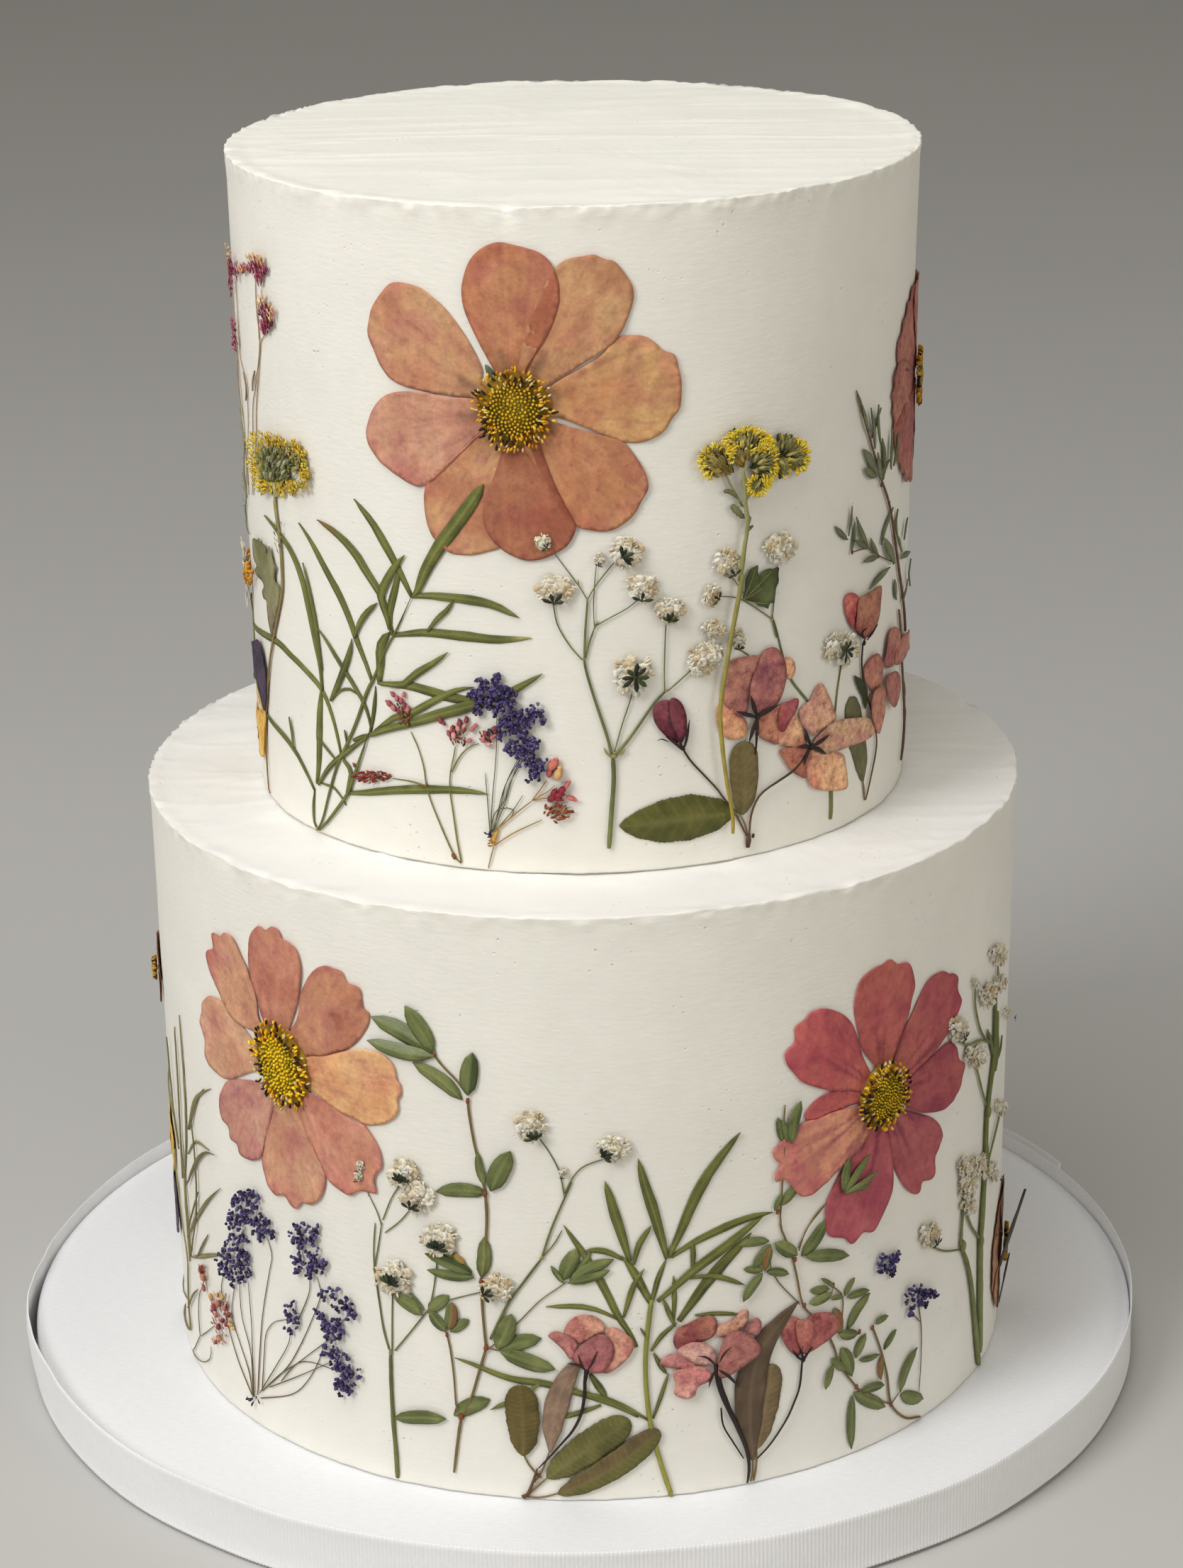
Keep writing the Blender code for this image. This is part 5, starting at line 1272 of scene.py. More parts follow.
def petal(B, tier, V, pts, cols, w0=0.0003, seed=0, base=None, spacing=0.00082, reg=(0.84, 0.68, 0.72), rim=0.3,
          vein=0.2, crumple=0.00016, thick=0.00012, m=T_, step=0.0007, mauve=0.4, blot=0.0, curl=0.0002):
    o = resample(spline(V(pts), 5, True), step)
    b = o.mean(0) if base is None else V([base])[0]
    R = np.sqrt(((o - b) ** 2).sum(1)).max()

    def height(P, d):
        return 0.0002 + crumple * (0.6 + n2(P[:, 0], P[:, 1], 260, seed, 3)) \
            + 0.00014 * (1 - np.abs(n2(P[:, 0], P[:, 1], 170, seed + 5, 2))) ** 6 \
            + curl * np.exp(-d / 0.0009) * np.clip(n2(P[:, 0], P[:, 1], 150, seed + 9, 2) + 0.3, 0, 1)

    def colour(P, d):
        q = P - b
        k = np.sqrt((q ** 2).sum(1)) / R
        ang = np.arctan2(q[:, 1], q[:, 0])
        g = n2(P[:, 0], P[:, 1], 210, seed + 1, 4)
        c = mixc(cols[0], cols[1], np.clip(0.5 + 2.4 * g, 0, 1))
        if len(cols) > 2:
            t = np.clip(0.5 + 1.4 * n2(P[:, 0], P[:, 1], 90, seed + 2, 3), 0, 1) * 0.7
            c = c * (1 - t[:, None]) + np.asarray(cols[2])[None, :] * t[:, None]
        v = np.abs(np.sin(ang * 12 + seed + 0.8 * n2(P[:, 0], P[:, 1], 300, seed + 3, 2)))
        c = c * (1 - vein * (1 - sstep(0.0, 0.3, v)))[:, None]
        # painted highlight: the fold crests raised in height() (same noise) are painted up to 16% lighter
        fold = (1 - np.abs(n2(P[:, 0], P[:, 1], 170, seed + 5, 2))) ** 8
        c = c * (1 + 0.16 * fold)[:, None]
        root = (1 - sstep(0.1, 0.55, k)) * 0.22
        c = c * (1 - root[:, None] * np.array([0.6, 1.0, 0.7])[None, :])
        c = c * (1 + 0.16 * n2(P[:, 0], P[:, 1], 1100, seed + 4, 2) + 0.14 * g)[:, None]
        mm = sstep(0.15, 0.6, n2(P[:, 0], P[:, 1], 240, seed + 6, 3)) * mauve
        c = c * (1 - mm[:, None] * np.array([0.16, 0.30, 0.08])[None, :])
        if blot:
            s = sstep(0.35, 0.6, n2(P[:, 0], P[:, 1], 420, seed + 8, 2)) * blot
            c = c * (1 - 0.5 * s[:, None])
        e = np.exp(-d / 0.0003)
        return c * (1 - rim * e)[:, None]

    sheet(B, tier, o, w0, height, colour, thick, spacing, m, seed, register=reg)


def stem(B, tier, V, pts, w_a, w_b, c0, c1=None, w0=0.00025, m=S_, sides=5, seed=0, knots=(), reg=None, flat=0.75):
    """Widths in the view's units."""
    p = V(pts)
    if len(pts) == 2:
        p = np.stack([p[0], 0.5 * (p[0] + p[1]) + 0.0002 * math.sin(seed), p[1]])
    tube(B, tier, p, 0.5 * w_a * V.k, 0.5 * w_b * V.k, np.asarray(c0), None if c1 is None else np.asarray(c1), w0, m,
         sides, flat, seed, knots)
    if reg is not None:
        q, _ = evenly(p, 14)
        d = np.gradient(q, axis=0)
        d /= np.sqrt((d ** 2).sum(1))[:, None]
        s = np.stack([-d[:, 1], d[:, 0]], -1) * 0.6 * max(w_a, w_b) * V.k
        o = np.concatenate([q + s, (q - s)[::-1]])
        tier.under.append((o, o.min(0), o.max(0), np.asarray(reg, float)))


def knot(B, tier, V, x, y, w, c, w0=0.0004, seed=0, h=None, turn=90.0):
    """A node of a stem: small ribbed swelling."""
    p = V([(x, y)])
    scatter(B, tier, BEAD, p, np.array([w0]), np.array([0.5 * (h or 1.6 * w) * V.k]), np.array([0.5 * w * V.k]),
            np.array([0.45 * w * V.k]), np.array([math.radians(turn)]), np.asarray(c)[None, :], m=S_)


# ============================================================ small repeated shapes
def t_bead(rows=3, segs=6):
    V, S = [], []
    for j in range(rows):
        f = 0.25 + 0.75 * j / (rows - 1)
        a = 2 * math.pi * np.arange(segs) / segs + 0.4 * j
        V.append(np.stack([f ** 0.6 * np.cos(a), f ** 0.6 * np.sin(a), np.full(segs, math.sqrt(max(1 - f * f, 0)))], -1))
        # painted shade: S lightens the top of the dome and darkens its base
        S.append(np.full(segs, 1.08 - 0.5 * f))
    V, S = np.concatenate(V), np.concatenate(S)
    F = grid_faces(rows, segs, True)
    cap = np.array([[0, i, i + 1] for i in range(1, segs - 1)])
    low = (rows - 1) * segs
    bot = np.array([[low, low + i + 1, low + i] for i in range(1, segs - 1)])
    return V, [F[:, ::-1][:, [0, 1, 2, 3]], cap, bot], S


def t_petalet():
    ks = [0.0, 0.35, 0.72, 1.0]
    hw = [0.12, 0.42, 0.5, 0.10]
    hz = [0.0, 0.28, 0.42, 0.36]
    V, S = [], []
    for k, w, z in zip(ks, hw, hz):
        V += [(k, -w, z), (k, 0, z + 0.14), (k, w, z), (k, 0, z - 0.12)]
        # painted shade: S is lighter on the top ridge and towards the tip, darkest on the underside
        S += [0.7 + 0.35 * k, 0.85 + 0.3 * k, 0.7 + 0.35 * k, 0.6]
    F = grid_faces(4, 4, True)
    return np.array(V), [F[:, ::-1], np.array([[0, 3, 2, 1]])[:, ::-1], np.array([[12, 15, 14, 13]])], np.array(S)


def t_needle():
    V, S = [], []
    for k, w in ((0, 1.0), (0.6, 0.7), (1.0, 0.15)):
        for a in (0.5, 2.6, 4.7):
            V.append((k, w * math.cos(a), w * math.sin(a) + 1.0))
            # painted shade: darker at the base, lighter towards the tip
            S.append(0.8 + 0.25 * k)
    F = grid_faces(3, 3, True)
    return np.array(V), [F, np.array([[0, 2, 1]]), np.array([[6, 7, 8]])], np.array(S)


def t_ruffle(seed, segs=9):
    r = np.random.default_rng(seed)
    a = 2 * math.pi * np.arange(segs) / segs
    V, S = [(0, 0, 0.25)], [0.7]
    for j, rad in enumerate((0.55, 1.0)):
        rr = rad * (1 + r.uniform(-0.28, 0.28, segs))
        zz = (0.35 if j == 0 else 0.3) + r.uniform(-0.3, 0.45, segs)
        V += list(zip(rr * np.cos(a), rr * np.sin(a), zz))
        # painted shade: higher points lighter; the centre and the copied underside (times 0.7) darker
        S += list(0.82 + 0.3 * (zz - 0.2))
    V = np.array(V)
    n = len(V)
    lo = np.concatenate([V[:1], V[1 + segs:]])
    lo[:, 2] -= 0.16
    sl = np.concatenate([S[:1], S[1 + segs:]])
    f1 = np.array([[0, 1 + i, 1 + (i + 1) % segs] for i in range(segs)])
    q = np.array([[1 + i, 1 + segs + i, 1 + segs + (i + 1) % segs, 1 + (i + 1) % segs] for i in range(segs)])
    w = np.array([[1 + segs + i, n + 1 + i, n + 1 + (i + 1) % segs, 1 + segs + (i + 1) % segs] for i in range(segs)])
    f2 = np.array([[n, n + 1 + (i + 1) % segs, n + 1 + i] for i in range(segs)])
    return np.concatenate([V, lo]), [f1, q, w, f2], np.concatenate([S, np.array(sl) * 0.7])


BEAD, BEAD2, PETALET, NEEDLE = t_bead(3, 5), t_bead(4, 8), t_petalet(), t_needle()
RUFFLES = [t_ruffle(s) for s in range(4)]


def scatter(B, tier, T, c, w, sx, sy, sz, rot, col, m=F_, tip=None):
    V, F, S = T
    n = len(c)
    one = np.ones(n)
    sx, sy, sz, rot, w = sx * one, sy * one, sz * one, rot * one, w * one
    x = V[None, :, 0] * sx[:, None]
    y = V[None, :, 1] * sy[:, None]
    z = V[None, :, 2] * sz[:, None]
    if tip is not None:
        tp = (tip * one)[:, None]
        x, z = x * np.cos(tp) - z * np.sin(tp), x * np.sin(tp) + z * np.cos(tp)
    cr, sr = np.cos(rot)[:, None], np.sin(rot)[:, None]
    X = c[:, 0, None] + x * cr - y * sr
    Y = c[:, 1, None] + x * sr + y * cr
    P = tier.wall(X.ravel(), Y.ravel(), np.maximum(w[:, None] + z, 0.00003).ravel())
    col = np.broadcast_to(np.asarray(col, float), (n, 3))
    # colours multiplied by the template's painted shade S
    C = (col[:, None, :] * S[None, :, None]).reshape(-1, 3)
    nv = len(V)
    off = (np.arange(n) * nv)[:, None, None]
    B.add(P, [(f[None] + off).reshape(-1, f.shape[1]) for f in F], C, m)


def spread(V, cx, cy, rx, ry, n, r, rot=0.0, edge=1.0):
    """n places scattered evenly in an ellipse of the view, and how far out each is."""
    i = np.arange(n)
    rad = np.sqrt((i + r.uniform(0.2, 0.8, n)) / n) ** edge
    th = i * 2.39996 + r.uniform(-0.5, 0.5, n) + r.uniform(0, 6)
    x, y = rad * np.cos(th) * rx, rad * np.sin(th) * ry
    c, s = math.cos(rot), math.sin(rot)
    return V(np.stack([cx + x * c - y * s, cy + x * s + y * c], -1)), rad, th


CREAM = np.array([srgb(242, 234, 212), srgb(230, 216, 186), srgb(248, 243, 228), srgb(220, 198, 158)])


def gyp_head(B, tier, V, cx, cy, rx, ry=None, sep=None, seed=0, base=None, tan=0.2, w0=0.0003):
    """Baby's breath head: crumpled cream petals, with dark sepals over them
    where it lies face down."""
    r = np.random.default_rng(seed + 500)
    ry = rx if ry is None else ry
    R = 0.5 * (rx + ry) * V.k
    n = int(np.clip(12 + R / 0.00024, 12, 24))
    c, rad, th = spread(V, cx, cy, 0.78 * rx, 0.78 * ry, n, r)
    ctr = V([(cx, cy)])[0]
    out = np.arctan2(c[:, 1] - ctr[1], c[:, 0] - ctr[0])
    for j in range(4):
        s = np.arange(n) % 4 == j
        if s.any():
            q = r.uniform(0.75, 1.25, s.sum())
            k = np.where(r.random(s.sum()) < tan, r.integers(1, 4, s.sum()), r.integers(0, 3, s.sum()))
            scatter(B, tier, RUFFLES[j], c[s], w0 + 0.0007 * (1 - rad[s]) + r.uniform(0, 0.0004, s.sum()), 0.34 * R * q,
                    0.30 * R * q, 0.0007 + 0.12 * R * q, out[s], CREAM[k] * r.uniform(0.9, 1.06, (s.sum(), 1)))
    nn = int(n * 1.1)
    c, rad, th = spread(V, cx, cy, 0.72 * rx, 0.72 * ry, nn, r, edge=0.35)
    out = np.arctan2(c[:, 1] - ctr[1], c[:, 0] - ctr[0]) + r.uniform(-0.35, 0.35, nn)
    scatter(B, tier, PETALET, c, w0 + r.uniform(0, 0.0005, nn), 0.42 * R * r.uniform(0.7, 1.25, nn), 0.17 * R, 0.0005,
            out, CREAM[r.integers(0, 4, nn)] * 0.97, tip=r.uniform(0.0, 0.5, nn))
    if sep:
        b = ctr if base is None else V([base])[0]
        up = math.atan2(ctr[1] - b[1], ctr[0] - b[0]) if base is not None else 0.0
        a = (np.linspace(-1.25, 1.25, sep) + up) if base is not None else np.arange(sep) * 2 * math.pi / sep
        a = a + r.uniform(-0.2, 0.2, sep)
        q = np.stack([b[0] + 0.08 * R * np.cos(a), b[1] + 0.08 * R * np.sin(a)], -1)
        g = np.array([srgb(42, 50, 30), srgb(62, 72, 40), srgb(34, 38, 26)])[r.integers(0, 3, sep)]
        scatter(B, tier, PETALET, q, w0 + 0.0021 + r.uniform(0, 0.0002, sep), 0.60 * R * r.uniform(0.8, 1.15, sep),
                0.24 * R, 0.0004, a, g, m=L_)
        scatter(B, tier, BEAD, b[None, :], np.array([w0 + 0.002]), 0.12 * R, 0.12 * R, 0.0005, 0.0, srgb(60, 64, 36), m=L_)


VIOLET = np.array([srgb(86, 74, 124), srgb(62, 52, 94), srgb(112, 100, 154), srgb(50, 42, 72), srgb(98, 84, 134)])


def lace_head(B, tier, V, cx, cy, rx, ry, seed=0, rot=0.0, dark=0.0, dens=1.0, w0=0.0004):
    """Head of tiny lace florets, knobbly to its edge."""
    r = np.random.default_rng(seed + 900)
    area = math.pi * rx * ry * V.k ** 2
    n = int(np.clip(0.78 * dens * area / 0.42e-6, 10, 150))
    c, rad, th = spread(V, cx, cy, rx, ry, n, r, rot)
    c = c + r.normal(0, 0.00045, c.shape)
    for _ in range(3):
        a = r.uniform(0, 6.28, n)
        q = c + np.stack([np.cos(a), np.sin(a)], -1) * r.uniform(0.0001, 0.00052, n)[:, None]
        s = r.uniform(0.00026, 0.00044, n)
        col = VIOLET[r.integers(0, 5, n)] * (1 - dark * 0.4) * r.uniform(0.75, 1.15, (n, 1))
        scatter(B, tier, BEAD, q, w0 + r.uniform(0, 0.0007, n) + 0.0003 * (1 - rad), s * 1.2, s, s * 1.5,
                r.uniform(0, 6, n), col)


BUDS = [srgb(208, 126, 128), srgb(182, 98, 104), srgb(224, 162, 160), srgb(146, 74, 80)]
BROWN = [srgb(120, 58, 42), srgb(92, 44, 34), srgb(150, 92, 56)]


def buds(B, tier, V, pts, size, cols, seed=0, ratio=0.66, w0=0.0004, toward=None, hgt=0.9):
    r = np.random.default_rng(seed + 1300)
    p = V(pts)
    n = len(p)
    if toward is None:
        rot = r.uniform(0, 3.14, n)
    else:
        b = V([toward])[0]
        rot = np.arctan2(p[:, 1] - b[1], p[:, 0] - b[0]) + r.uniform(-0.3, 0.3, n)
    s = 0.5 * size * V.k * r.uniform(0.8, 1.2, n)
    col = np.array(cols)[r.integers(0, len(cols), n)] * r.uniform(0.88, 1.12, (n, 1))
    scatter(B, tier, BEAD2, p, w0 + r.uniform(0, 0.0002, n), s, s * ratio, s * hgt, rot, col, m=P_)
    tipp = p + np.stack([np.cos(rot), np.sin(rot)], -1) * s[:, None] * 0.3
    scatter(B, tier, PETALET, tipp, w0 + 0.5 * s, s * 1.0, s * 0.7, s * 0.4, rot, col * 1.15, m=P_)


def bracts(B, tier, V, cx, cy, rx, ry, n, size, cols, seed=0, rot=0.0, w0=0.0004, toward=None, m=F_, thin=0.45,
           tilt=0.25):
    """Small dry scales scattered over an ellipse, pointing away from a place."""
    r = np.random.default_rng(seed + 1700)
    c, rad, th = spread(V, cx, cy, rx, ry, n, r, rot)
    if toward is None:
        a = r.uniform(0, 6.28, n)
    else:
        b = V([toward])[0]
        a = np.arctan2(c[:, 1] - b[1], c[:, 0] - b[0]) + r.uniform(-0.5, 0.5, n)
    s = size * V.k * r.uniform(0.7, 1.25, n)
    col = np.array(cols)[r.integers(0, len(cols), n)] * r.uniform(0.82, 1.15, (n, 1))
    scatter(B, tier, PETALET, c, w0 + r.uniform(0, 0.0004, n), s, s * thin, np.maximum(s * 0.4, 0.0003), a, col, m=m,
            tip=r.uniform(-0.05, tilt, n))


def hairs(B, tier, V, cx, cy, rx, ry, n, length, cols, seed=0, toward=None, w0=0.0006, thick=0.00007):
    r = np.random.default_rng(seed + 2100)
    c, rad, th = spread(V, cx, cy, rx, ry, n, r, edge=0.5)
    b = V([(cx, cy)])[0] if toward is None else V([toward])[0]
    a = np.arctan2(c[:, 1] - b[1], c[:, 0] - b[0]) + r.uniform(-0.5, 0.5, n)
    col = np.array(cols)[r.integers(0, len(cols), n)]
    scatter(B, tier, NEEDLE, c, w0, length * V.k * r.uniform(0.6, 1.3, n), thick, thick, a, col)


View.k = property(lambda self: (0.153e-3 if self.tier is UPPER else 0.158e-3) / self.s)
Place.k = property(lambda self: 0.001 * self.scale)

FG0, FG1 = srgb(76, 84, 36), srgb(130, 132, 66)
OG0, OG1 = srgb(76, 88, 46), srgb(126, 132, 78)
STEM0, STEM1 = srgb(122, 126, 74), srgb(96, 104, 58)
NODE = srgb(128, 68, 34)


# ============================================================ upper tier, front
def upper_left():
    A = EdgeView(UPPER, 300, 340, 4.356)
    V3 = EdgeView(UPPER, 300, 600, 3.92)
    V6 = EdgeView(UPPER, 300, 860, 3.92)
    straw, brown = srgb(168, 142, 98), srgb(120, 84, 48)
    # tall dry spikes at the left edge
    B = Build()
    for pts, w in (([(268, 230), (275, 400), (290, 560), (292, 640), (280, 740), (250, 900), (225, 1000), (215, 1200),
                     (212, 1400), (205, 1560)], 9),
                   ([(305, 300), (298, 380), (285, 420), (288, 600)], 8),
                   ([(330, 570), (300, 620), (290, 700), (268, 880), (245, 1040), (238, 1200), (225, 1400), (215, 1560)], 9),
                   ([(150, 260), (160, 420), (165, 700), (185, 820), (192, 960), (186, 1150), (180, 1350), (185, 1560)], 8),
                   ([(118, 300), (112, 480), (135, 640), (150, 720), (140, 860), (150, 1000), (165, 1200), (172, 1560)], 7),
                   ([(130, 340), (140, 500), (150, 680), (155, 900), (160, 1100), (180, 1500)], 6)):
        stem(B, UPPER, A, pts, w, w * 0.8, straw, brown, seed=int(pts[0][0]))
    blade(B, UPPER, A, [(188, 980), (195, 900), (188, 800)], 16, brown, straw, 0.0005, "lance", 3)
    blade(B, UPPER, A, [(238, 920), (240, 860), (258, 795)], 24, brown, straw, 0.0005, "lance", 4)
    plum = [srgb(150, 44, 74), srgb(176, 74, 100), srgb(112, 32, 56), srgb(202, 126, 144)]
    for i, (cx, cy, rx, ry) in enumerate(((245, 175, 42, 30), (295, 180, 26, 40), (305, 240, 16, 42), (335, 190, 18, 26),
                                          (340, 440, 28, 50), (350, 515, 30, 30), (340, 560, 18, 22),
                                          (128, 190, 24, 70), (165, 190, 12, 55), (125, 280, 22, 50), (145, 530, 16, 42),
                                          (152, 630, 18, 50))):
        bracts(B, UPPER, A, cx, cy, rx, ry, int(9 + rx * ry / 42), 38, plum, 30 + i, toward=(cx, cy + ry + 30), w0=0.0005,
               thin=0.6)
    for i, (cx, cy, rx, ry) in enumerate(((265, 110, 22, 26), (210, 185, 14, 20), (318, 135, 14, 28), (330, 375, 26, 34),
                                          (385, 450, 18, 45), (122, 85, 20, 50))):
        bracts(B, UPPER, A, cx, cy, rx, ry, 16, 36, [srgb(236, 178, 124), srgb(242, 206, 156), srgb(206, 130, 98)],
               60 + i, toward=(cx, cy + 60), w0=0.0008, thin=0.6)
    finish_piece(B, "persicaria_spikes_upper_left", "persicaria_upper_left")

    # grey fuzzy sprig on the very edge
    B = Build()
    grey = [srgb(150, 152, 128), srgb(120, 124, 92), srgb(190, 188, 170)]
    for pts in ([(112, 190), (125, 250), (150, 330), (155, 420), (150, 520), (165, 600)],
                [(130, -100), (140, 0), (150, 120), (148, 240), (160, 400)]):
        stem(B, UPPER, V3, pts, 12, 10, srgb(128, 132, 96), srgb(112, 104, 66), 0.0004, seed=8)
    bracts(B, UPPER, V3, 125, 260, 14, 80, 26, 16, grey, 5, toward=(150, 420), w0=0.0004, tilt=0.6)
    bracts(B, UPPER, V3, 148, 380, 12, 110, 26, 15, grey, 6, toward=(150, 560), w0=0.0004, tilt=0.6)
    bracts(B, UPPER, V3, 140, 40, 12, 120, 22, 15, grey, 7, toward=(150, 400), w0=0.0004, tilt=0.6)
    finish_piece(B, "fuzzy_sprig_upper_left", None)

    # daisy
    B = Build()
    stem(B, UPPER, V3, [(165, 930), (166, 1050), (175, 1180), (182, 1300), (184, 1400)], 18, 14, srgb(110, 120, 66),
         srgb(130, 130, 80), 0.0003, seed=3)
    white = [srgb(232, 226, 210), srgb(220, 210, 190)]
    ctr = V3([(160, 815)])[0]
    r = np.random.default_rng(77)
    n = 46
    a = 2 * math.pi * (np.arange(n) + r.uniform(-0.4, 0.4, n)) / n
    q = ctr + np.stack([np.cos(a), np.sin(a)], -1) * 0.0024 * np.array([[0.75, 1.15]])
    scatter(B, UPPER, PETALET, q, 0.0006 + r.uniform(0, 0.0004, n), r.uniform(0.0042, 0.0062, n), 0.0011, 0.0006,
            a + r.uniform(-0.12, 0.12, n), np.array(white)[r.integers(0, 2, n)], m=P_, tip=r.uniform(-0.02, 0.22, n))
    n = 90
    c, rad, th = spread(V3, 160, 818, 40, 68, n, r)
    scatter(B, UPPER, BEAD, c, 0.001 + 0.0006 * (1 - rad), 0.0005, 0.0004, 0.0006, th,
            np.array([srgb(216, 146, 30), srgb(196, 120, 24), srgb(232, 176, 60)])[r.integers(0, 3, n)])
    finish_piece(B, "daisy_upper_left_flower", "daisy_upper_left")

    # mottled lobed leaf
    B = Build()
    petal(B, UPPER, V3, [(188, 640), (200, 622), (222, 632), (232, 620), (245, 650), (272, 655), (282, 690), (292, 712),
                         (300, 690), (308, 662), (322, 690), (332, 725), (345, 765), (362, 785), (350, 820), (352, 862),
                         (374, 880), (386, 930), (376, 1000), (360, 1060), (344, 1120), (336, 1175), (322, 1140),
                         (305, 1080), (292, 1010), (285, 970), (258, 955), (246, 915), (262, 890), (250, 862),
                         (222, 840), (200, 800), (212, 775), (192, 720)],
          [srgb(104, 104, 52), srgb(138, 134, 96), srgb(150, 146, 112)], 0.0004, 12, (336, 1175), m=L_, vein=0.2, blot=0.9,
          mauve=0, rim=0.35, spacing=0.0009)
    stem(B, UPPER, V3, [(335, 1170), (330, 1080), (315, 950), (285, 820), (240, 700)], 9, 4, srgb(150, 146, 96), None,
         0.0006, seed=5)
    finish_piece(B, "lobed_leaf_upper_left_blade", "lobed_leaf_upper_left")

    # yarrow
    B = Build()
    wool0, wool1 = srgb(150, 140, 92), srgb(168, 142, 84)
    stem(B, UPPER, V3, [(345, 390), (350, 460), (366, 560), (380, 660), (388, 760), (392, 900), (376, 1010), (352, 1120),
                        (330, 1210), (308, 1300), (292, 1420), (285, 1500), (272, 1600), (270, 1740), (276, 1880),
                        (290, 2010), (308, 2115)], 26, 12, wool0, srgb(130, 88, 48), 0.0004, seed=7)
    for tip, w in (((240, 160), 7), (((300), 130), 7), ((355, 150), 8), ((400, 110), 7), ((450, 170), 7), ((500, 220), 7),
                   ((470, 300), 6), ((270, 260), 6)):
        stem(B, UPPER, V3, [(346, 395), ((346 + tip[0]) / 2 + 4, (395 + tip[1]) / 2 + 20), tip], w + 3, w, srgb(176, 176, 140),
             srgb(150, 154, 112), 0.0006, seed=int(tip[0]))
    yel = [srgb(234, 196, 60), srgb(216, 170, 44), srgb(242, 214, 98), srgb(206, 190, 80)]
    for i, (cx, cy, rx, ry) in enumerate(((225, 100, 30, 50), (280, 75, 45, 32), (345, 85, 45, 40), (400, 100, 35, 40),
                                          (465, 130, 45, 45), (500, 180, 30, 40), (530, 260, 24, 50), (520, 325, 30, 35),
                                          (460, 345, 30, 25), (255, 290, 30, 50), (225, 200, 25, 60), (295, 345, 28, 26),
                                          (265, 240, 34, 40))):
        bracts(B, UPPER, V3, cx, cy, rx * 1.12, ry * 1.12, int(12 + rx * ry / 55), 26, yel, 80 + i, toward=(345, 330),
               w0=0.0013, thin=0.6, tilt=0.5)
    green = [srgb(140, 142, 94), srgb(114, 116, 68), srgb(176, 176, 138), srgb(92, 94, 54)]
    r = np.random.default_rng(5)
    c, rad, th = spread(V3, 378, 212, 178, 168, 150, r)
    head = V3([(197, 214), (202, 114), (222, 59), (267, 39), (322, 69), (392, 69), (442, 104), (502, 114), (522, 169),
               (547, 244), (557, 294), (532, 354), (482, 369), (422, 369), (352, 400), (302, 392), (252, 324), (222, 264)])
    c = c[in_poly(c, head)]
    for j in range(4):
        q = c[j::4]
        scatter(B, UPPER, RUFFLES[j], q, 0.0003 + r.uniform(0, 0.0004, len(q)), r.uniform(0.0009, 0.0013, len(q)), 0.0009,
                0.0008, r.uniform(0, 6, len(q)), np.array(yel)[r.integers(0, 4, len(q))] * r.uniform(0.85, 1.05, (len(q), 1)))
    base = V3([(345, 360)])[0]
    c, rad, th = spread(V3, 380, 205, 130, 94, 104, r)
    a = np.arctan2(c[:, 1] - base[1], c[:, 0] - base[0]) + r.uniform(-0.22, 0.22, len(c))
    s = r.uniform(0.0009, 0.0016, len(c))
    scatter(B, UPPER, BEAD, c, 0.0011 + r.uniform(0, 0.0005, len(c)), s, s * 0.34, s * 0.4, a,
            np.array(green)[r.integers(0, 4, len(c))] * r.uniform(0.8, 1.15, (len(c), 1)))
    scatter(B, UPPER, NEEDLE, c, 0.0016 + r.uniform(0, 0.0003, len(c)), s * 1.4, 0.00009, 0.00009, a, srgb(198, 196, 164))
    bracts(B, UPPER, V3, 375, 620, 26, 90, 22, 26, [srgb(150, 148, 108), srgb(122, 120, 74)], 95, toward=(390, 900),
           w0=0.0006, m=L_)
    finish_piece(B, "yarrow_upper_left_head", "yarrow_upper_left")

    # viola
    B = Build()
    y0 = [srgb(236, 190, 84), srgb(240, 204, 110), srgb(226, 172, 62)]
    petal(B, UPPER, V6, [(168, 340), (188, 395), (205, 388), (226, 440), (250, 520), (268, 558), (230, 568), (198, 548),
                         (172, 535), (160, 450)], [srgb(228, 208, 138), srgb(236, 220, 160)], 0.0002, 3, (215, 480), mauve=0,
          rim=0.12, spacing=0.0012)
    petal(B, UPPER, V6, [(165, 545), (200, 552), (205, 640), (205, 720), (200, 795), (175, 765), (152, 715), (134, 650),
                         (138, 585)], y0, 0.0004, 4, (200, 560), mauve=0, rim=0.18, spacing=0.0012)
    petal(B, UPPER, V6, [(205, 552), (240, 556), (276, 562), (272, 640), (266, 700), (262, 795), (240, 812), (218, 800),
                         (214, 720), (210, 640)], y0, 0.00045, 5, (205, 560), mauve=0, rim=0.18, spacing=0.0012)
    petal(B, UPPER, V6, [(205, 680), (214, 670), (218, 730), (216, 798), (200, 795), (196, 740)],
          [srgb(60, 40, 34), srgb(86, 56, 44)], 0.0005, 6, mauve=0, spacing=0.0012)
    petal(B, UPPER, V6, [(196, 168), (214, 163), (240, 200), (266, 280), (286, 360), (292, 430), (286, 515), (270, 555),
                         (250, 515), (226, 440), (206, 382), (190, 388), (180, 330), (174, 270), (178, 215)],
          [srgb(58, 48, 68), srgb(82, 68, 88), srgb(48, 42, 58)], 0.0006, 7, (210, 170), mauve=0.2, vein=0.25)
    for x in (185, 192, 200, 208):
        stem(B, UPPER, V6, [(198, 560), ((198 + x) / 2, 590), (x - 8 + (x - 196) * 0.6, 640)], 3, 2, srgb(120, 76, 40), None,
             0.0007, seed=x)
    finish_piece(B, "viola_upper_left_petals", "viola_upper_left")


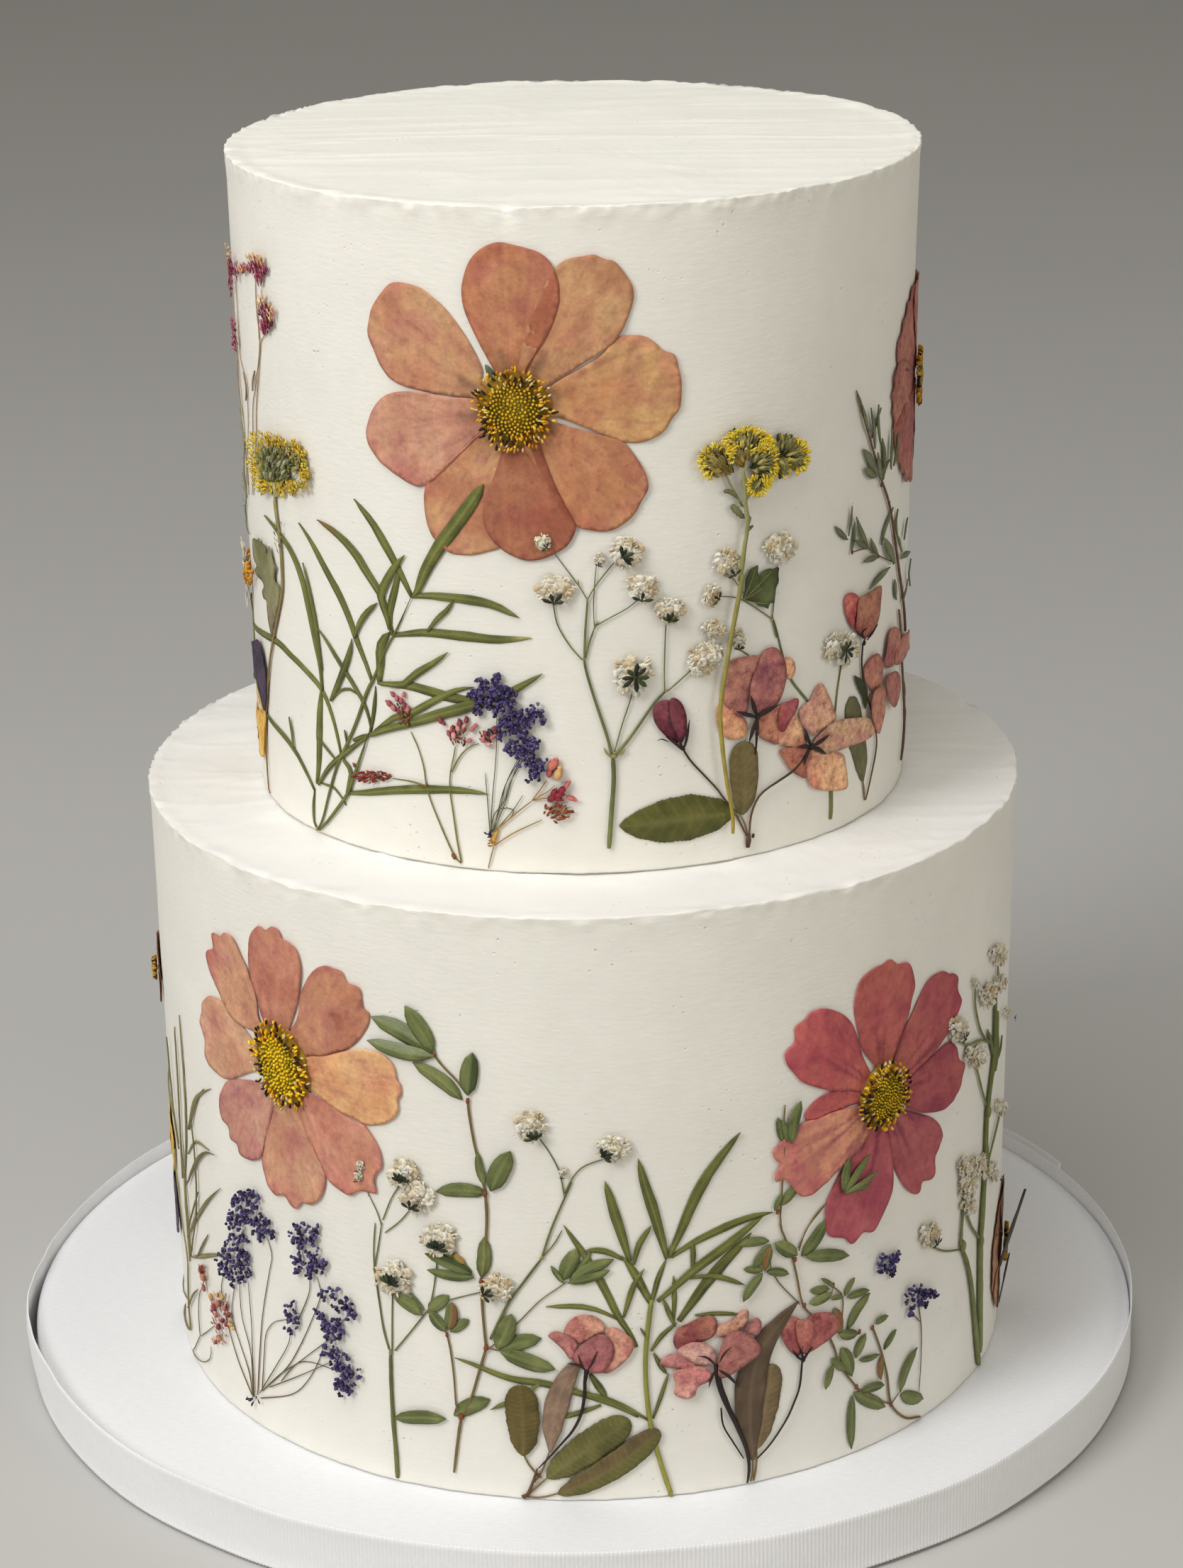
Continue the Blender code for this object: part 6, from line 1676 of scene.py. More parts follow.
FEATHER_UP = [
    # (points, width, kind)
    ([(580, 1270), (564, 1180), (558, 1080), (566, 990)], 24, "st"),
    ([(592, 1272), (615, 1150), (650, 1010), (690, 870), (740, 760), (800, 620), (860, 450), (900, 370), (960, 220),
      (1010, 130), (1060, 20), (1100, -72)], 20, "st"),
    ([(600, 1250), (650, 1160), (740, 1040), (775, 960), (830, 800), (870, 680)], 22, "st"),
    ([(575, 960), (588, 850), (592, 700), (596, 560), (606, 420)], 54, "lobe"),
    ([(612, 450), (596, 300), (560, 130), (530, -20), (495, -170), (440, -310), (370, -420), (290, -523)], 46, "lobe"),
    ([(612, 330), (592, 200), (572, 60), (540, -100), (505, -262)], 32, "lobe"),
    ([(712, 800), (690, 690), (655, 560), (605, 440), (530, 350), (440, 260), (330, 160), (222, 100)], 42, "lobe"),
    ([(566, 1000), (530, 920), (470, 800), (410, 710), (340, 630), (285, 545)], 36, "lobe"),
    ([(458, 760), (448, 680), (435, 590)], 22, "lobe"),
    ([(600, 960), (670, 985), (715, 1040), (742, 1082)], 18, "lobe"),
    ([(590, 965), (650, 870), (735, 795), (820, 730), (890, 688)], 34, "st"),
    ([(1105, -66), (1135, -110), (1185, -230), (1262, -360), (1330, -450), (1410, -560), (1500, -695)], 74, "wide"),
    ([(1100, -70), (1045, -180), (990, -285), (930, -395), (865, -500), (780, -612)], 52, "lobe"),
    ([(1105, -75), (1200, -78), (1330, -66), (1450, -50), (1570, -18), (1697, 45)], 52, "lobe"),
    ([(1190, 118), (1245, 50), (1300, 0), (1335, -58)], 30, "lobe"),
    ([(1005, 140), (1100, 132), (1200, 128), (1400, 148), (1568, 166), (1764, 158)], 54, "tan"),
    ([(1000, 140), (965, 40), (930, -80), (860, -190), (780, -320), (680, -425), (580, -498)], 52, "brown"),
    ([(985, 110), (962, 20), (930, -70), (968, -170), (1010, -240), (1066, -304)], 50, "lobe"),
    ([(1000, 150), (975, 60), (985, -30), (1015, -150), (1025, -230)], 46, "lobe"),
    ([(925, 400), (930, 300), (935, 190), (985, 120)], 60, "lobe"),
    ([(790, 155), (820, 70), (860, 10), (915, -40)], 36, "lobe"),
    ([(885, 400), (850, 300), (800, 175), (760, 60), (700, -80), (620, -225), (555, -350), (474, -480)], 48, "lobe"),
    ([(880, 660), (850, 540), (780, 410), (710, 300), (645, 190), (585, 100)], 30, "lobe"),
    ([(660, 500), (700, 410), (735, 320), (762, 240), (778, 158)], 42, "lobe"),
    ([(664, 500), (705, 450), (765, 440), (828, 490)], 18, "st"),
    ([(690, 835), (640, 775), (583, 700)], 20, "lobe"),
    ([(748, 728), (738, 662)], 16, "brown"),
    ([(870, 690), (888, 600), (900, 500), (905, 420)], 26, "st"),
    ([(745, 1015), (770, 900), (740, 850), (712, 800)], 34, "lobe"),
    ([(920, 402), (1000, 412), (1060, 410), (1140, 345), (1230, 290), (1306, 232)], 42, "lobe"),
    ([(930, 408), (1080, 420), (1200, 452), (1340, 492), (1460, 510), (1600, 560)], 56, "lobe"),
    ([(900, 672), (1000, 600), (1110, 565), (1240, 495), (1350, 445), (1446, 427)], 42, "lobe"),
    ([(880, 690), (1000, 650), (1150, 610), (1300, 565), (1450, 525), (1580, 490), (1700, 425), (1826, 352)], 62, "lobe"),
    ([(780, 722), (830, 705), (885, 688)], 30, "st"),
    ([(755, 1012), (850, 1010), (1000, 998), (1150, 993), (1300, 995), (1420, 1003), (1526, 1020)], 50, "lobe"),
]


def feather(B, tier, V, lobes, seed=0, c0=FG0, c1=FG1, levels=3, reg=(0.62, 0.66, 0.50)):
    for i, (pts, w, kind) in enumerate(lobes):
        w0 = 0.00015 + 0.00018 * ((i * 7) % levels)
        if kind == "st":
            blade(B, tier, V, pts, w * 1.08, c0 * 0.9, c1, w0 + 0.0001, "grass", seed + i, 5, 0.3, groove=0.00004, reg=reg,
                  rag=0.04)
        else:
            tipc = {"tan": srgb(160, 156, 92), "brown": srgb(126, 92, 46)}.get(kind)
            blade(B, tier, V, pts, w * 1.1, c0, c1, w0, "lobe" if kind != "wide" else "blunt", seed + i, 7, 0.34,
                  groove=0.00006, reg=reg, tipc=tipc, rag=0.05, camber=0.00016)


def upper_mid():
    V6 = View(UPPER, 300, 860, 3.92)
    V7 = View(UPPER, 600, 900, 3.92)
    V4 = View(UPPER, 600, 640, 3.92)
    B = Build()
    feather(B, UPPER, V6, FEATHER_UP, 10)
    knot(B, UPPER, V6, 586, 1276, 22, srgb(170, 150, 60), 0.0003, turn=80)
    finish_piece(B, "cosmos_leaf_upper_frond", "cosmos_leaf_upper")

    # persicaria
    B = Build()
    sc0, sc1 = srgb(128, 116, 60), srgb(116, 120, 66)
    for pts in ([(1375, 1400), (1340, 1362), (1280, 1230), (1215, 1070), (1186, 975), (1172, 870), (1140, 760), (1100, 672)],
                [(1378, 1396), (1355, 1280), (1332, 1120), (1315, 1000), (1318, 900), (1340, 790), (1345, 755)],
                [(1326, 895), (1368, 812), (1425, 756), (1475, 738)],
                [(1188, 975), (1110, 948), (1000, 930)]):
        stem(B, UPPER, V6, pts, 12, 8, sc0, sc1, 0.0004, seed=len(pts))
    knot(B, UPPER, V6, 1337, 1362, 30, srgb(136, 82, 34), 0.0004, turn=-60)
    knot(B, UPPER, V6, 1186, 968, 18, srgb(140, 90, 44), 0.0004, turn=90)
    for i, (cx, cy, rx, ry, n) in enumerate(((1075, 600, 30, 55, 26), (1050, 545, 34, 30, 14), (1345, 700, 34, 50, 26),
                                             (1370, 660, 40, 34, 14), (1530, 705, 50, 34, 20), (1390, 730, 26, 26, 10))):
        bracts(B, UPPER, V6, cx, cy, rx, ry, n, 26, BROWN, 100 + i, toward=(cx, cy + 110), w0=0.0005)
    buds(B, UPPER, V6, [(1005, 466), (1028, 488), (1065, 466), (1052, 500), (988, 516), (1012, 540), (1040, 560),
                        (1088, 548), (1070, 530)], 46, BUDS, 3, toward=(1080, 640))
    buds(B, UPPER, V6, [(1268, 610), (1284, 624)], 40, BUDS, 4, toward=(1330, 700))
    buds(B, UPPER, V6, [(1408, 606), (1372, 622), (1398, 640), (1440, 656), (1312, 682), (1340, 690), (1424, 720),
                        (1364, 650), (1330, 660), (1455, 640)], 46, BUDS, 5, toward=(1350, 770))
    buds(B, UPPER, V6, [(1512, 680), (1545, 662), (1552, 700), (1530, 740), (1586, 690), (1560, 652), (1500, 712)], 42,
         BUDS, 6, toward=(1480, 745))
    r = np.random.default_rng(3)
    bracts(B, UPPER, V6, 900, 918, 105, 30, 95, 26, [srgb(140, 60, 50), srgb(110, 48, 38), srgb(166, 84, 66)], 110,
           toward=(1100, 935), w0=0.0005, tilt=0.4)
    hairs(B, UPPER, V6, 900, 920, 70, 26, 22, 40, [srgb(150, 84, 60)], 9, toward=(1000, 925), w0=0.0008)
    buds(B, UPPER, V6, [(795, 858)], 40, BUDS, 8, toward=(810, 900))
    finish_piece(B, "persicaria_upper_mid_sprigs", "persicaria_upper_mid")

    # violet lace
    B = Build()
    dk = srgb(66, 62, 44)
    for pts in ([(364, 1078), (372, 900), (394, 640), (398, 420)], [(360, 1076), (346, 900), (334, 745)],
                [(372, 1074), (418, 930), (450, 800), (522, 650)], [(378, 1068), (440, 920), (478, 790), (524, 672)],
                [(380, 1064), (428, 860), (470, 760), (530, 660)], [(384, 1070), (480, 960), (541, 868)],
                [(420, 942), (470, 938), (496, 958), (462, 1000)], [(364, 1080), (380, 980), (440, 900), (470, 800),
                                                                    (560, 640)]):
        stem(B, UPPER, V7, pts, 7, 4.5, srgb(92, 96, 52), dk, 0.0004, seed=int(pts[-1][0]))
    for i, (cx, cy, rx, ry, rot) in enumerate(((270, 305, 34, 20, 0), (310, 240, 30, 20, -0.6), (400, 225, 26, 34, 0),
                                               (330, 320, 60, 50, 0), (400, 300, 70, 56, 0), (460, 310, 50, 44, 0),
                                               (290, 380, 22, 36, 0), (400, 380, 34, 40, 0), (470, 380, 50, 40, 0),
                                               (500, 450, 70, 56, 0), (440, 490, 44, 56, 0), (560, 440, 60, 44, 0),
                                               (630, 440, 44, 26, 0.2), (600, 400, 30, 26, 0), (520, 520, 50, 36, 0),
                                               (500, 600, 52, 44, 0), (580, 590, 46, 44, 0), (560, 650, 50, 44, 0),
                                               (610, 700, 34, 50, 0), (640, 700, 26, 26, 0), (604, 760, 26, 24, 0),
                                               (600, 560, 30, 24, 0))):
        lace_head(B, UPPER, V7, cx, cy, rx, ry, 20 + i, rot, w0=0.0007)
    bracts(B, UPPER, V7, 362, 1080, 16, 16, 8, 22, [srgb(52, 38, 62), srgb(40, 30, 44)], 11, w0=0.0006)
    finish_piece(B, "lace_upper_umbels", "lace_upper")

    # small peach and pink sprig
    B = Build()
    oc = srgb(166, 118, 52)
    for pts, w in (([(352, 1290), (364, 1215), (382, 1148)], 10), ([(384, 1146), (480, 1082), (560, 1042), (648, 1002)], 9),
                   ([(386, 1066), (450, 1012), (530, 945), (592, 898)], 11), ([(592, 896), (640, 832), (672, 784)], 9),
                   ([(596, 894), (680, 846), (716, 812)], 7), ([(598, 896), (650, 884), (692, 880)], 8),
                   ([(384, 1146), (376, 1100), (362, 1084)], 12)):
        stem(B, UPPER, V7, pts, w, w * 0.75, oc, srgb(140, 122, 66), 0.0005, seed=int(pts[0][0]))
    blade(B, UPPER, V7, [(384, 1150), (378, 1110), (408, 1055)], 34, srgb(190, 134, 52), srgb(206, 160, 80), 0.0006,
          "lance", 4)
    bracts(B, UPPER, V7, 374, 1130, 20, 26, 8, 26, [oc, srgb(200, 160, 96)], 12, w0=0.0005)
    bracts(B, UPPER, V7, 725, 960, 74, 44, 64, 30, [srgb(150, 78, 50), srgb(122, 58, 38), srgb(178, 108, 72)], 13,
           toward=(620, 1010), w0=0.0005, tilt=0.4)
    hairs(B, UPPER, V7, 740, 955, 60, 34, 16, 44, [srgb(150, 92, 60)], 14, toward=(640, 1000), w0=0.0008)
    buds(B, UPPER, V7, [(700, 700), (716, 690), (688, 742)], 74, [srgb(178, 84, 88), srgb(200, 116, 104)], 15,
         toward=(665, 790))
    buds(B, UPPER, V7, [(736, 745)], 84, [srgb(224, 178, 118), srgb(232, 196, 140)], 16, toward=(715, 812), ratio=0.62)
    buds(B, UPPER, V7, [(712, 850), (740, 862), (756, 838), (736, 884), (700, 880)], 54, [srgb(150, 48, 62),
         srgb(172, 70, 78)], 17, toward=(690, 885))
    buds(B, UPPER, V7, [(786, 806), (806, 880)], 56, [srgb(206, 116, 110), srgb(190, 92, 92)], 18, toward=(730, 860),
         ratio=0.5)
    finish_piece(B, "persicaria_upper_small_sprig", "persicaria_upper_small")

    # baby's breath, middle
    B = Build()
    g0, g1 = srgb(118, 122, 72), srgb(84, 92, 46)
    st = lambda pts, a, b=None: stem(B, UPPER, V7, pts, a, b or a * 0.8, g0, g1, 0.0004, seed=int(pts[0][0] + a))
    st([(1016, 1160), (1024, 1040), (1034, 900), (1042, 780), (1038, 655)], 30, 26)
    st([(1032, 648), (1005, 540), (965, 420), (925, 300), (890, 180), (878, 110)], 20, 15)
    st([(1052, 646), (1130, 550), (1200, 450), (1270, 350), (1330, 290)], 18, 13)
    st([(1340, 290), (1420, 220), (1498, 144)], 10, 8)
    st([(1322, 290), (1320, 160), (1326, -40), (1334, -106)], 9, 8)
    st([(1046, 628), (1090, 470), (1130, 350), (1158, 250)], 9, 8)
    st2 = lambda pts, a, b=None: stem(B, UPPER, V4, pts, a, b or a * 0.8, g0, g1, 0.0004, seed=int(pts[0][0] + a))
    st2([(880, 1140), (884, 1000), (892, 880), (898, 800)], 15, 12)
    st2([(886, 1130), (905, 1050), (936, 960)], 12, 10)
    st2([(940, 950), (1030, 900), (1120, 850), (1176, 802)], 8, 7)
    st2([(934, 948), (930, 840), (936, 720), (946, 610)], 7, 6)
    st2([(900, 800), (940, 730), (1010, 640), (1084, 552)], 9, 7)
    st2([(892, 800), (850, 730), (760, 610), (684, 508)], 8, 6)
    st2([(868, 1138), (800, 1060), (730, 940), (708, 820)], 9, 8)
    for x, y, w in ((1040, 650, 30), (1328, 288, 18)):
        knot(B, UPPER, V7, x, y, w, srgb(156, 146, 88), 0.0006, turn=0)
    for pts in ([(1020, 655), (1000, 630), (985, 600)], [(1062, 650), (1092, 632), (1104, 606)]):
        blade(B, UPPER, V7, pts, 14, g0, srgb(170, 160, 100), 0.0006, "lance", 5)
    for x, y, w in ((878, 1132, 18), (938, 952, 16), (895, 806, 15)):
        knot(B, UPPER, V4, x, y, w, srgb(150, 140, 84), 0.0005, turn=90)
    bl = lambda pts, w: blade(B, UPPER, V4, pts, w, g0, srgb(158, 146, 92), 0.0006, "lance", 6)
    bl([(850, 730), (846, 690)], 9)
    bl([(932, 945), (962, 925)], 12)
    gyp_head(B, UPPER, V7, 1150, 200, 116, 116, 8, 1, base=None, tan=0.5)
    stem(B, UPPER, V7, [(1158, 262), (1160, 230), (1160, 200)], 12, 14, srgb(50, 54, 34), srgb(46, 50, 30), 0.0015, seed=2)
    gyp_head(B, UPPER, V7, 1512, 130, 70, 90, 0, 2, tan=0.7)
    gyp_head(B, UPPER, V4, 1110, 540, 96, 90, 5, 3, base=(1082, 556), tan=0.2)
    gyp_head(B, UPPER, V4, 718, 745, 112, 78, 4, 4, base=(716, 812), tan=0.25)
    gyp_head(B, UPPER, V4, 1200, 735, 100, 72, 3, 5, base=(1186, 796), tan=0.6)
    gyp_head(B, UPPER, V4, 1350, 862, 90, 76, 5, 6, base=(1334, 912), tan=0.6)
    gyp_head(B, UPPER, V4, 655, 478, 46, 46, 3, 7, base=(676, 502), tan=0.0, w0=0.0008)
    gyp_head(B, UPPER, V4, 965, 576, 36, 34, 4, 8, base=(956, 606), tan=0.0)
    finish_piece(B, "gypsophila_upper_mid_spray", "gypsophila_upper_mid")


def yarrow_head(B, tier, V, cx, cy, rx, ry, base, seed, fringe=1.0, brown=0.0, fr=(0.1, 3.0)):
    """Button of striped bracts with a fringe of yellow florets on its outer side."""
    r = np.random.default_rng(seed + 40)
    b = V([base])[0]
    n = int(np.clip(rx * ry / 34, 24, 84))
    c, rad, th = spread(V, cx, cy, 0.95 * rx, 0.95 * ry, n, r)
    a = np.arctan2(c[:, 1] - b[1], c[:, 0] - b[0]) + r.uniform(-0.2, 0.2, n)
    s = r.uniform(0.0010, 0.0017, n)
    green = np.array([srgb(118, 112, 58), srgb(66, 62, 32), srgb(192, 182, 120)]) * (1 - brown) \
        + np.array([srgb(154, 120, 50), srgb(78, 56, 28), srgb(196, 158, 76)]) * brown
    scatter(B, tier, BEAD, c, 0.0009 + 0.0008 * (1 - rad), s, s * 0.36, s * 0.45, a,
            green[r.integers(0, 3, n)] * r.uniform(0.8, 1.15, (n, 1)))
    scatter(B, tier, NEEDLE, c, 0.0015 + 0.0008 * (1 - rad), s * 1.2, 0.00008, 0.00008, a, srgb(180, 172, 112))
    if fringe:
        ctr = V([(cx, cy)])[0]
        m = int(n * 1.25 * fringe)
        c, rad, th = spread(V, cx, cy, rx, ry, int(m * 1.7), r, edge=0.34)
        out = np.arctan2(c[:, 1] - ctr[1], c[:, 0] - ctr[0])
        away = math.atan2(ctr[1] - b[1], ctr[0] - b[0])
        dv = np.abs((out - away + math.pi) % (2 * math.pi) - math.pi)
        c, out = c[dv < fr[1] / 2 + 0.4], out[dv < fr[1] / 2 + 0.4]
        m = len(c)
        yel = np.array([srgb(253, 220, 58), srgb(240, 198, 46), srgb(254, 236, 116)])
        scatter(B, tier, PETALET, c, 0.0010 + r.uniform(0, 0.0009, m), r.uniform(0.0008, 0.0017, m), 0.00042, 0.0004,
                out + r.uniform(-0.4, 0.4, m), yel[r.integers(0, 3, m)], tip=r.uniform(0, 0.5, m))


def upper_right():
    V5 = View(UPPER, 940, 560, 4.126)
    V8 = View(UPPER, 880, 860, 3.733)
    B = Build()
    g0, g1 = srgb(112, 118, 68), srgb(86, 94, 48)
    # baby's breath behind, right
    for pts, a, b in (([(1086, 1102), (1090, 1020), (1088, 900), (1080, 770), (1030, 600), (975, 490)], 26, 16),
                      ([(975, 490), (880, 366), (838, 240), (800, 90), (780, 30)], 16, 10),
                      ([(1110, 575), (1124, 430), (1142, 310), (1154, 240)], 12, 10),
                      ([(660, 240), (630, 222), (598, 204)], 8, 7)):
        stem(B, UPPER, V8, pts, a, b, g0, g1, 0.00015, seed=int(a + pts[0][0]), reg=(0.74, 0.76, 0.62))
    for pts, a, b in (([(640, 1400), (628, 1350), (615, 1292)], 12, 12), ([(615, 1290), (622, 1210), (634, 1090), (646, 975)],
                      8, 7), ([(614, 1292), (540, 1240), (450, 1184), (400, 1164), (306, 1158)], 9, 6),
                      ([(445, 1140), (410, 1085), (380, 1050)], 7, 6)):
        stem(B, UPPER, V5, pts, a, b, g0, g1, 0.0003, seed=int(a + pts[0][0]))
    knot(B, UPPER, V5, 614, 1294, 18, srgb(150, 140, 84), 0.0004, turn=90)
    gyp_head(B, UPPER, V5, 650, 872, 104, 96, 0, 11, tan=0.3)
    gyp_head(B, UPPER, V5, 340, 960, 84, 80, 3, 12, base=(372, 1022), tan=0.5)
    gyp_head(B, UPPER, V5, 256, 1148, 56, 72, 3, 13, base=(282, 1162), tan=0.9)
    gyp_head(B, UPPER, V5, 270, 1350, 86, 56, 0, 14, tan=0.3)
    gyp_head(B, UPPER, V8, 440, 240, 78, 84, 0, 15, tan=0.3)
    gyp_head(B, UPPER, V8, 592, 150, 48, 60, 4, 16, base=(582, 196), tan=0.3)
    gyp_head(B, UPPER, V8, 1134, 204, 106, 98, 7, 17, tan=0.15)
    finish_piece(B, "gypsophila_upper_right_spray", "gypsophila_upper_right")

    B = Build()
    petal(B, UPPER, V5, [(436, 1170), (446, 1120), (450, 1062), (462, 1030), (478, 998), (500, 985), (525, 974), (522, 1010),
                         (530, 1040), (548, 1014), (572, 1000), (602, 992), (612, 998), (646, 984), (640, 1030), (644, 1070),
                         (628, 1110), (622, 1160), (616, 1200), (598, 1190), (588, 1206), (582, 1230), (556, 1216),
                         (530, 1214), (500, 1190), (465, 1186)], [srgb(70, 80, 42), srgb(98, 108, 60)], 0.0005, 31,
          (438, 1178), m=L_, vein=0.2, mauve=0, rim=0.35, spacing=0.0008, blot=0.3)
    for tip in ((510, 1000), (600, 1010), (590, 1200), (560, 1100)):
        stem(B, UPPER, V5, [(438, 1176), ((438 + tip[0]) / 2, (1170 + tip[1]) / 2 + 8), tip], 6, 3, srgb(136, 142, 92), None,
             0.0009, seed=int(tip[0]))
    finish_piece(B, "lobed_leaf_upper_right_blade", "lobed_leaf_upper_right")

    # flowers of the crabapple group
    B = Build()
    plum = [srgb(188, 120, 112), srgb(138, 76, 88), srgb(212, 150, 126)]
    peach = [srgb(250, 190, 142), srgb(220, 142, 118), srgb(252, 206, 162)]
    rose = [srgb(232, 176, 146), srgb(206, 134, 124), srgb(240, 196, 160)]
    deep = [srgb(190, 120, 110), srgb(156, 84, 86), srgb(214, 150, 116)]
    warm = [srgb(200, 124, 98), srgb(162, 86, 82), srgb(214, 146, 116)]
    fawn = [srgb(230, 190, 150), srgb(206, 150, 130), srgb(238, 202, 170)]
    petal(B, UPPER, V8, [(820, 262), (870, 250), (895, 280), (896, 330), (868, 366), (836, 345)], peach, 0.0002, 41,
          (690, 560), mauve=0.3)
    petal(B, UPPER, V8, [(645, 540), (600, 562), (555, 525), (515, 470), (514, 395), (540, 300), (570, 262), (640, 244),
                         (700, 238), (722, 270), (690, 330), (660, 400), (655, 470)], plum, 0.0003, 42, (690, 560),
          mauve=0.6)
    petal(B, UPPER, V8, [(690, 545), (662, 470), (662, 385), (695, 290), (722, 226), (760, 196), (800, 200), (830, 240),
                         (848, 300), (846, 380), (820, 465), (780, 520), (730, 535)], plum, 0.0005, 43, (690, 560),
          mauve=0.8)
    petal(B, UPPER, V8, [(498, 500), (560, 505), (620, 560), (648, 600), (640, 662), (590, 682), (530, 672), (495, 620),
                         (485, 555)], peach, 0.0002, 44, (690, 560), mauve=0.4)
    petal(B, UPPER, V8, [(700, 560), (770, 522), (820, 500), (852, 545), (832, 620), (808, 704), (760, 696), (708, 668),
                         (688, 612)], deep, 0.0004, 45, (690, 560), mauve=0.9)
    petal(B, UPPER, V8, [(815, 495), (868, 478), (880, 464), (912, 468), (900, 520), (862, 580), (822, 640), (800, 600)],
          [srgb(178, 92, 96), srgb(202, 122, 110)], 0.0006, 46, (800, 620), mauve=0.7, crumple=0.0003)
    petal(B, UPPER, V8, [(992, 660), (930, 610), (918, 535), (948, 495), (978, 470), (1000, 420), (1038, 386), (1074, 450),
                         (1100, 520), (1110, 568), (1060, 620), (1010, 646)], rose, 0.0003, 47, (970, 715), mauve=0.4)
    petal(B, UPPER, V8, [(968, 726), (900, 720), (815, 738), (842, 800), (880, 850), (950, 886), (972, 830), (980, 770)],
          warm, 0.0004, 48, (970, 715), mauve=0.7)
    petal(B, UPPER, V8, [(958, 710), (905, 560), (870, 540), (832, 600), (808, 660), (812, 704), (870, 718), (930, 722)],
          peach, 0.0005, 49, (970, 715), mauve=0.4)
    petal(B, UPPER, V8, [(972, 740), (1060, 744), (1140, 758), (1160, 830), (1166, 900), (1160, 940), (1100, 950),
                         (1030, 946), (980, 930), (955, 870), (952, 800)], peach, 0.0005, 50, (970, 715), mauve=0.3)
    petal(B, UPPER, V8, [(984, 700), (1040, 630), (1100, 584), (1180, 568), (1262, 566), (1306, 596), (1300, 645),
                         (1262, 680), (1190, 710), (1100, 742), (1020, 746)], fawn, 0.0007, 51, (970, 715), mauve=0.25)
    blk, blk2 = srgb(34, 26, 24), srgb(54, 36, 32)
    for ctr, arms in (((692, 560), [(660, 450), (583, 530), (802, 495), (648, 696), (694, 655), (760, 520)]),
                      ((972, 716), [(934, 618), (1066, 655), (903, 718), (1050, 758), (932, 812)])):
        for i, t in enumerate(arms):
            mid = (0.5 * (ctr[0] + t[0]) + 5 * math.sin(i), 0.5 * (ctr[1] + t[1]) + 5 * math.cos(i))
            blade(B, UPPER, V8, [ctr, mid, t], 26, blk, blk2, 0.0012, "lance", 60 + i, 5, 0)
        knot(B, UPPER, V8, ctr[0], ctr[1], 30, blk, 0.0012, turn=60)
    # bud
    bud = [srgb(132, 62, 76), srgb(100, 42, 56), srgb(152, 82, 92)]
    petal(B, UPPER, V8, [(150, 545), (156, 505), (178, 482), (212, 470), (240, 478), (242, 520), (238, 570), (256, 620),
                         (284, 665), (288, 695), (255, 690), (215, 660), (178, 620), (156, 580)], bud, 0.0003, 61,
          (300, 700), mauve=0.5, vein=0.25, crumple=0.0003)
    petal(B, UPPER, V8, [(234, 478), (252, 458), (278, 466), (305, 494), (324, 545), (328, 600), (320, 652), (302, 694),
                         (286, 692), (256, 612), (238, 545)], bud, 0.0005, 62, (300, 700), mauve=0.5, vein=0.25,
          crumple=0.0003)
    for pts, w in (([(300, 735), (270, 700), (215, 662)], 20), ([(305, 735), (322, 690), (340, 575)], 18),
                   ([(302, 735), (290, 690), (262, 660)], 16), ([(235, 690), (195, 676), (172, 684)], 7)):
        blade(B, UPPER, V8, pts, w, blk, blk2, 0.0010, "lance", 63, 5, 0)
    knot(B, UPPER, V8, 306, 725, 26, blk, 0.0008, turn=-60)
    br, br2 = srgb(72, 46, 32), srgb(104, 74, 50)
    stem(B, UPPER, V8, [(308, 730), (350, 795), (420, 870), (490, 945), (530, 1000), (575, 1050), (600, 1100), (645, 1190)],
         12, 12, blk, br2, 0.0004, seed=3)
    stem(B, UPPER, V8, [(690, 640), (690, 700), (684, 760)], 18, 8, blk, blk, 0.0009, seed=4)
    stem(B, UPPER, V8, [(960, 740), (925, 800), (880, 850), (800, 905), (730, 955), (690, 1010), (664, 1090), (656, 1190)],
         16, 12, blk, br2, 0.0006, seed=5)
    stem(B, UPPER, V8, [(590, 1072), (622, 1100), (640, 1150), (650, 1190)], 12, 12, srgb(140, 132, 88), br2, 0.0006, seed=6)
    stem(B, UPPER, V8, [(650, 1250), (652, 1215), (656, 1175)], 30, 22, br, br2, 0.0004, seed=8, knots=((0.6, 0.5),))
    knot(B, UPPER, V8, 676, 1188, 20, br, 0.0006, turn=80)
    finish_piece(B, "crabapple_upper_mid_flowers", "crabapple_upper_mid")

    B = Build()
    blade(B, UPPER, V8, [(592, 1068), (480, 1080), (300, 1100), (120, 1126), (-24, 1138)], 268, srgb(72, 75, 28),
          srgb(102, 99, 42), 0.0003, "big", 71, 17, 0.5, 9, 26, 0.05, camber=0.0003, rag=0.02, wav=0.0002, n=79)
    finish_piece(B, "leaf_upper_green_blade", "leaf_upper_green")
    B = Build()
    blade(B, UPPER, V8, [(620, 1078), (632, 980), (632, 860), (622, 692)], 182, srgb(94, 85, 48), srgb(124, 109, 66),
          0.0005, "blunt", 72, 13, 0.3, 8, camber=0.0003, rag=0.02, wav=0.0002, n=26)
    finish_piece(B, "leaf_upper_olive_blade", "leaf_upper_olive")

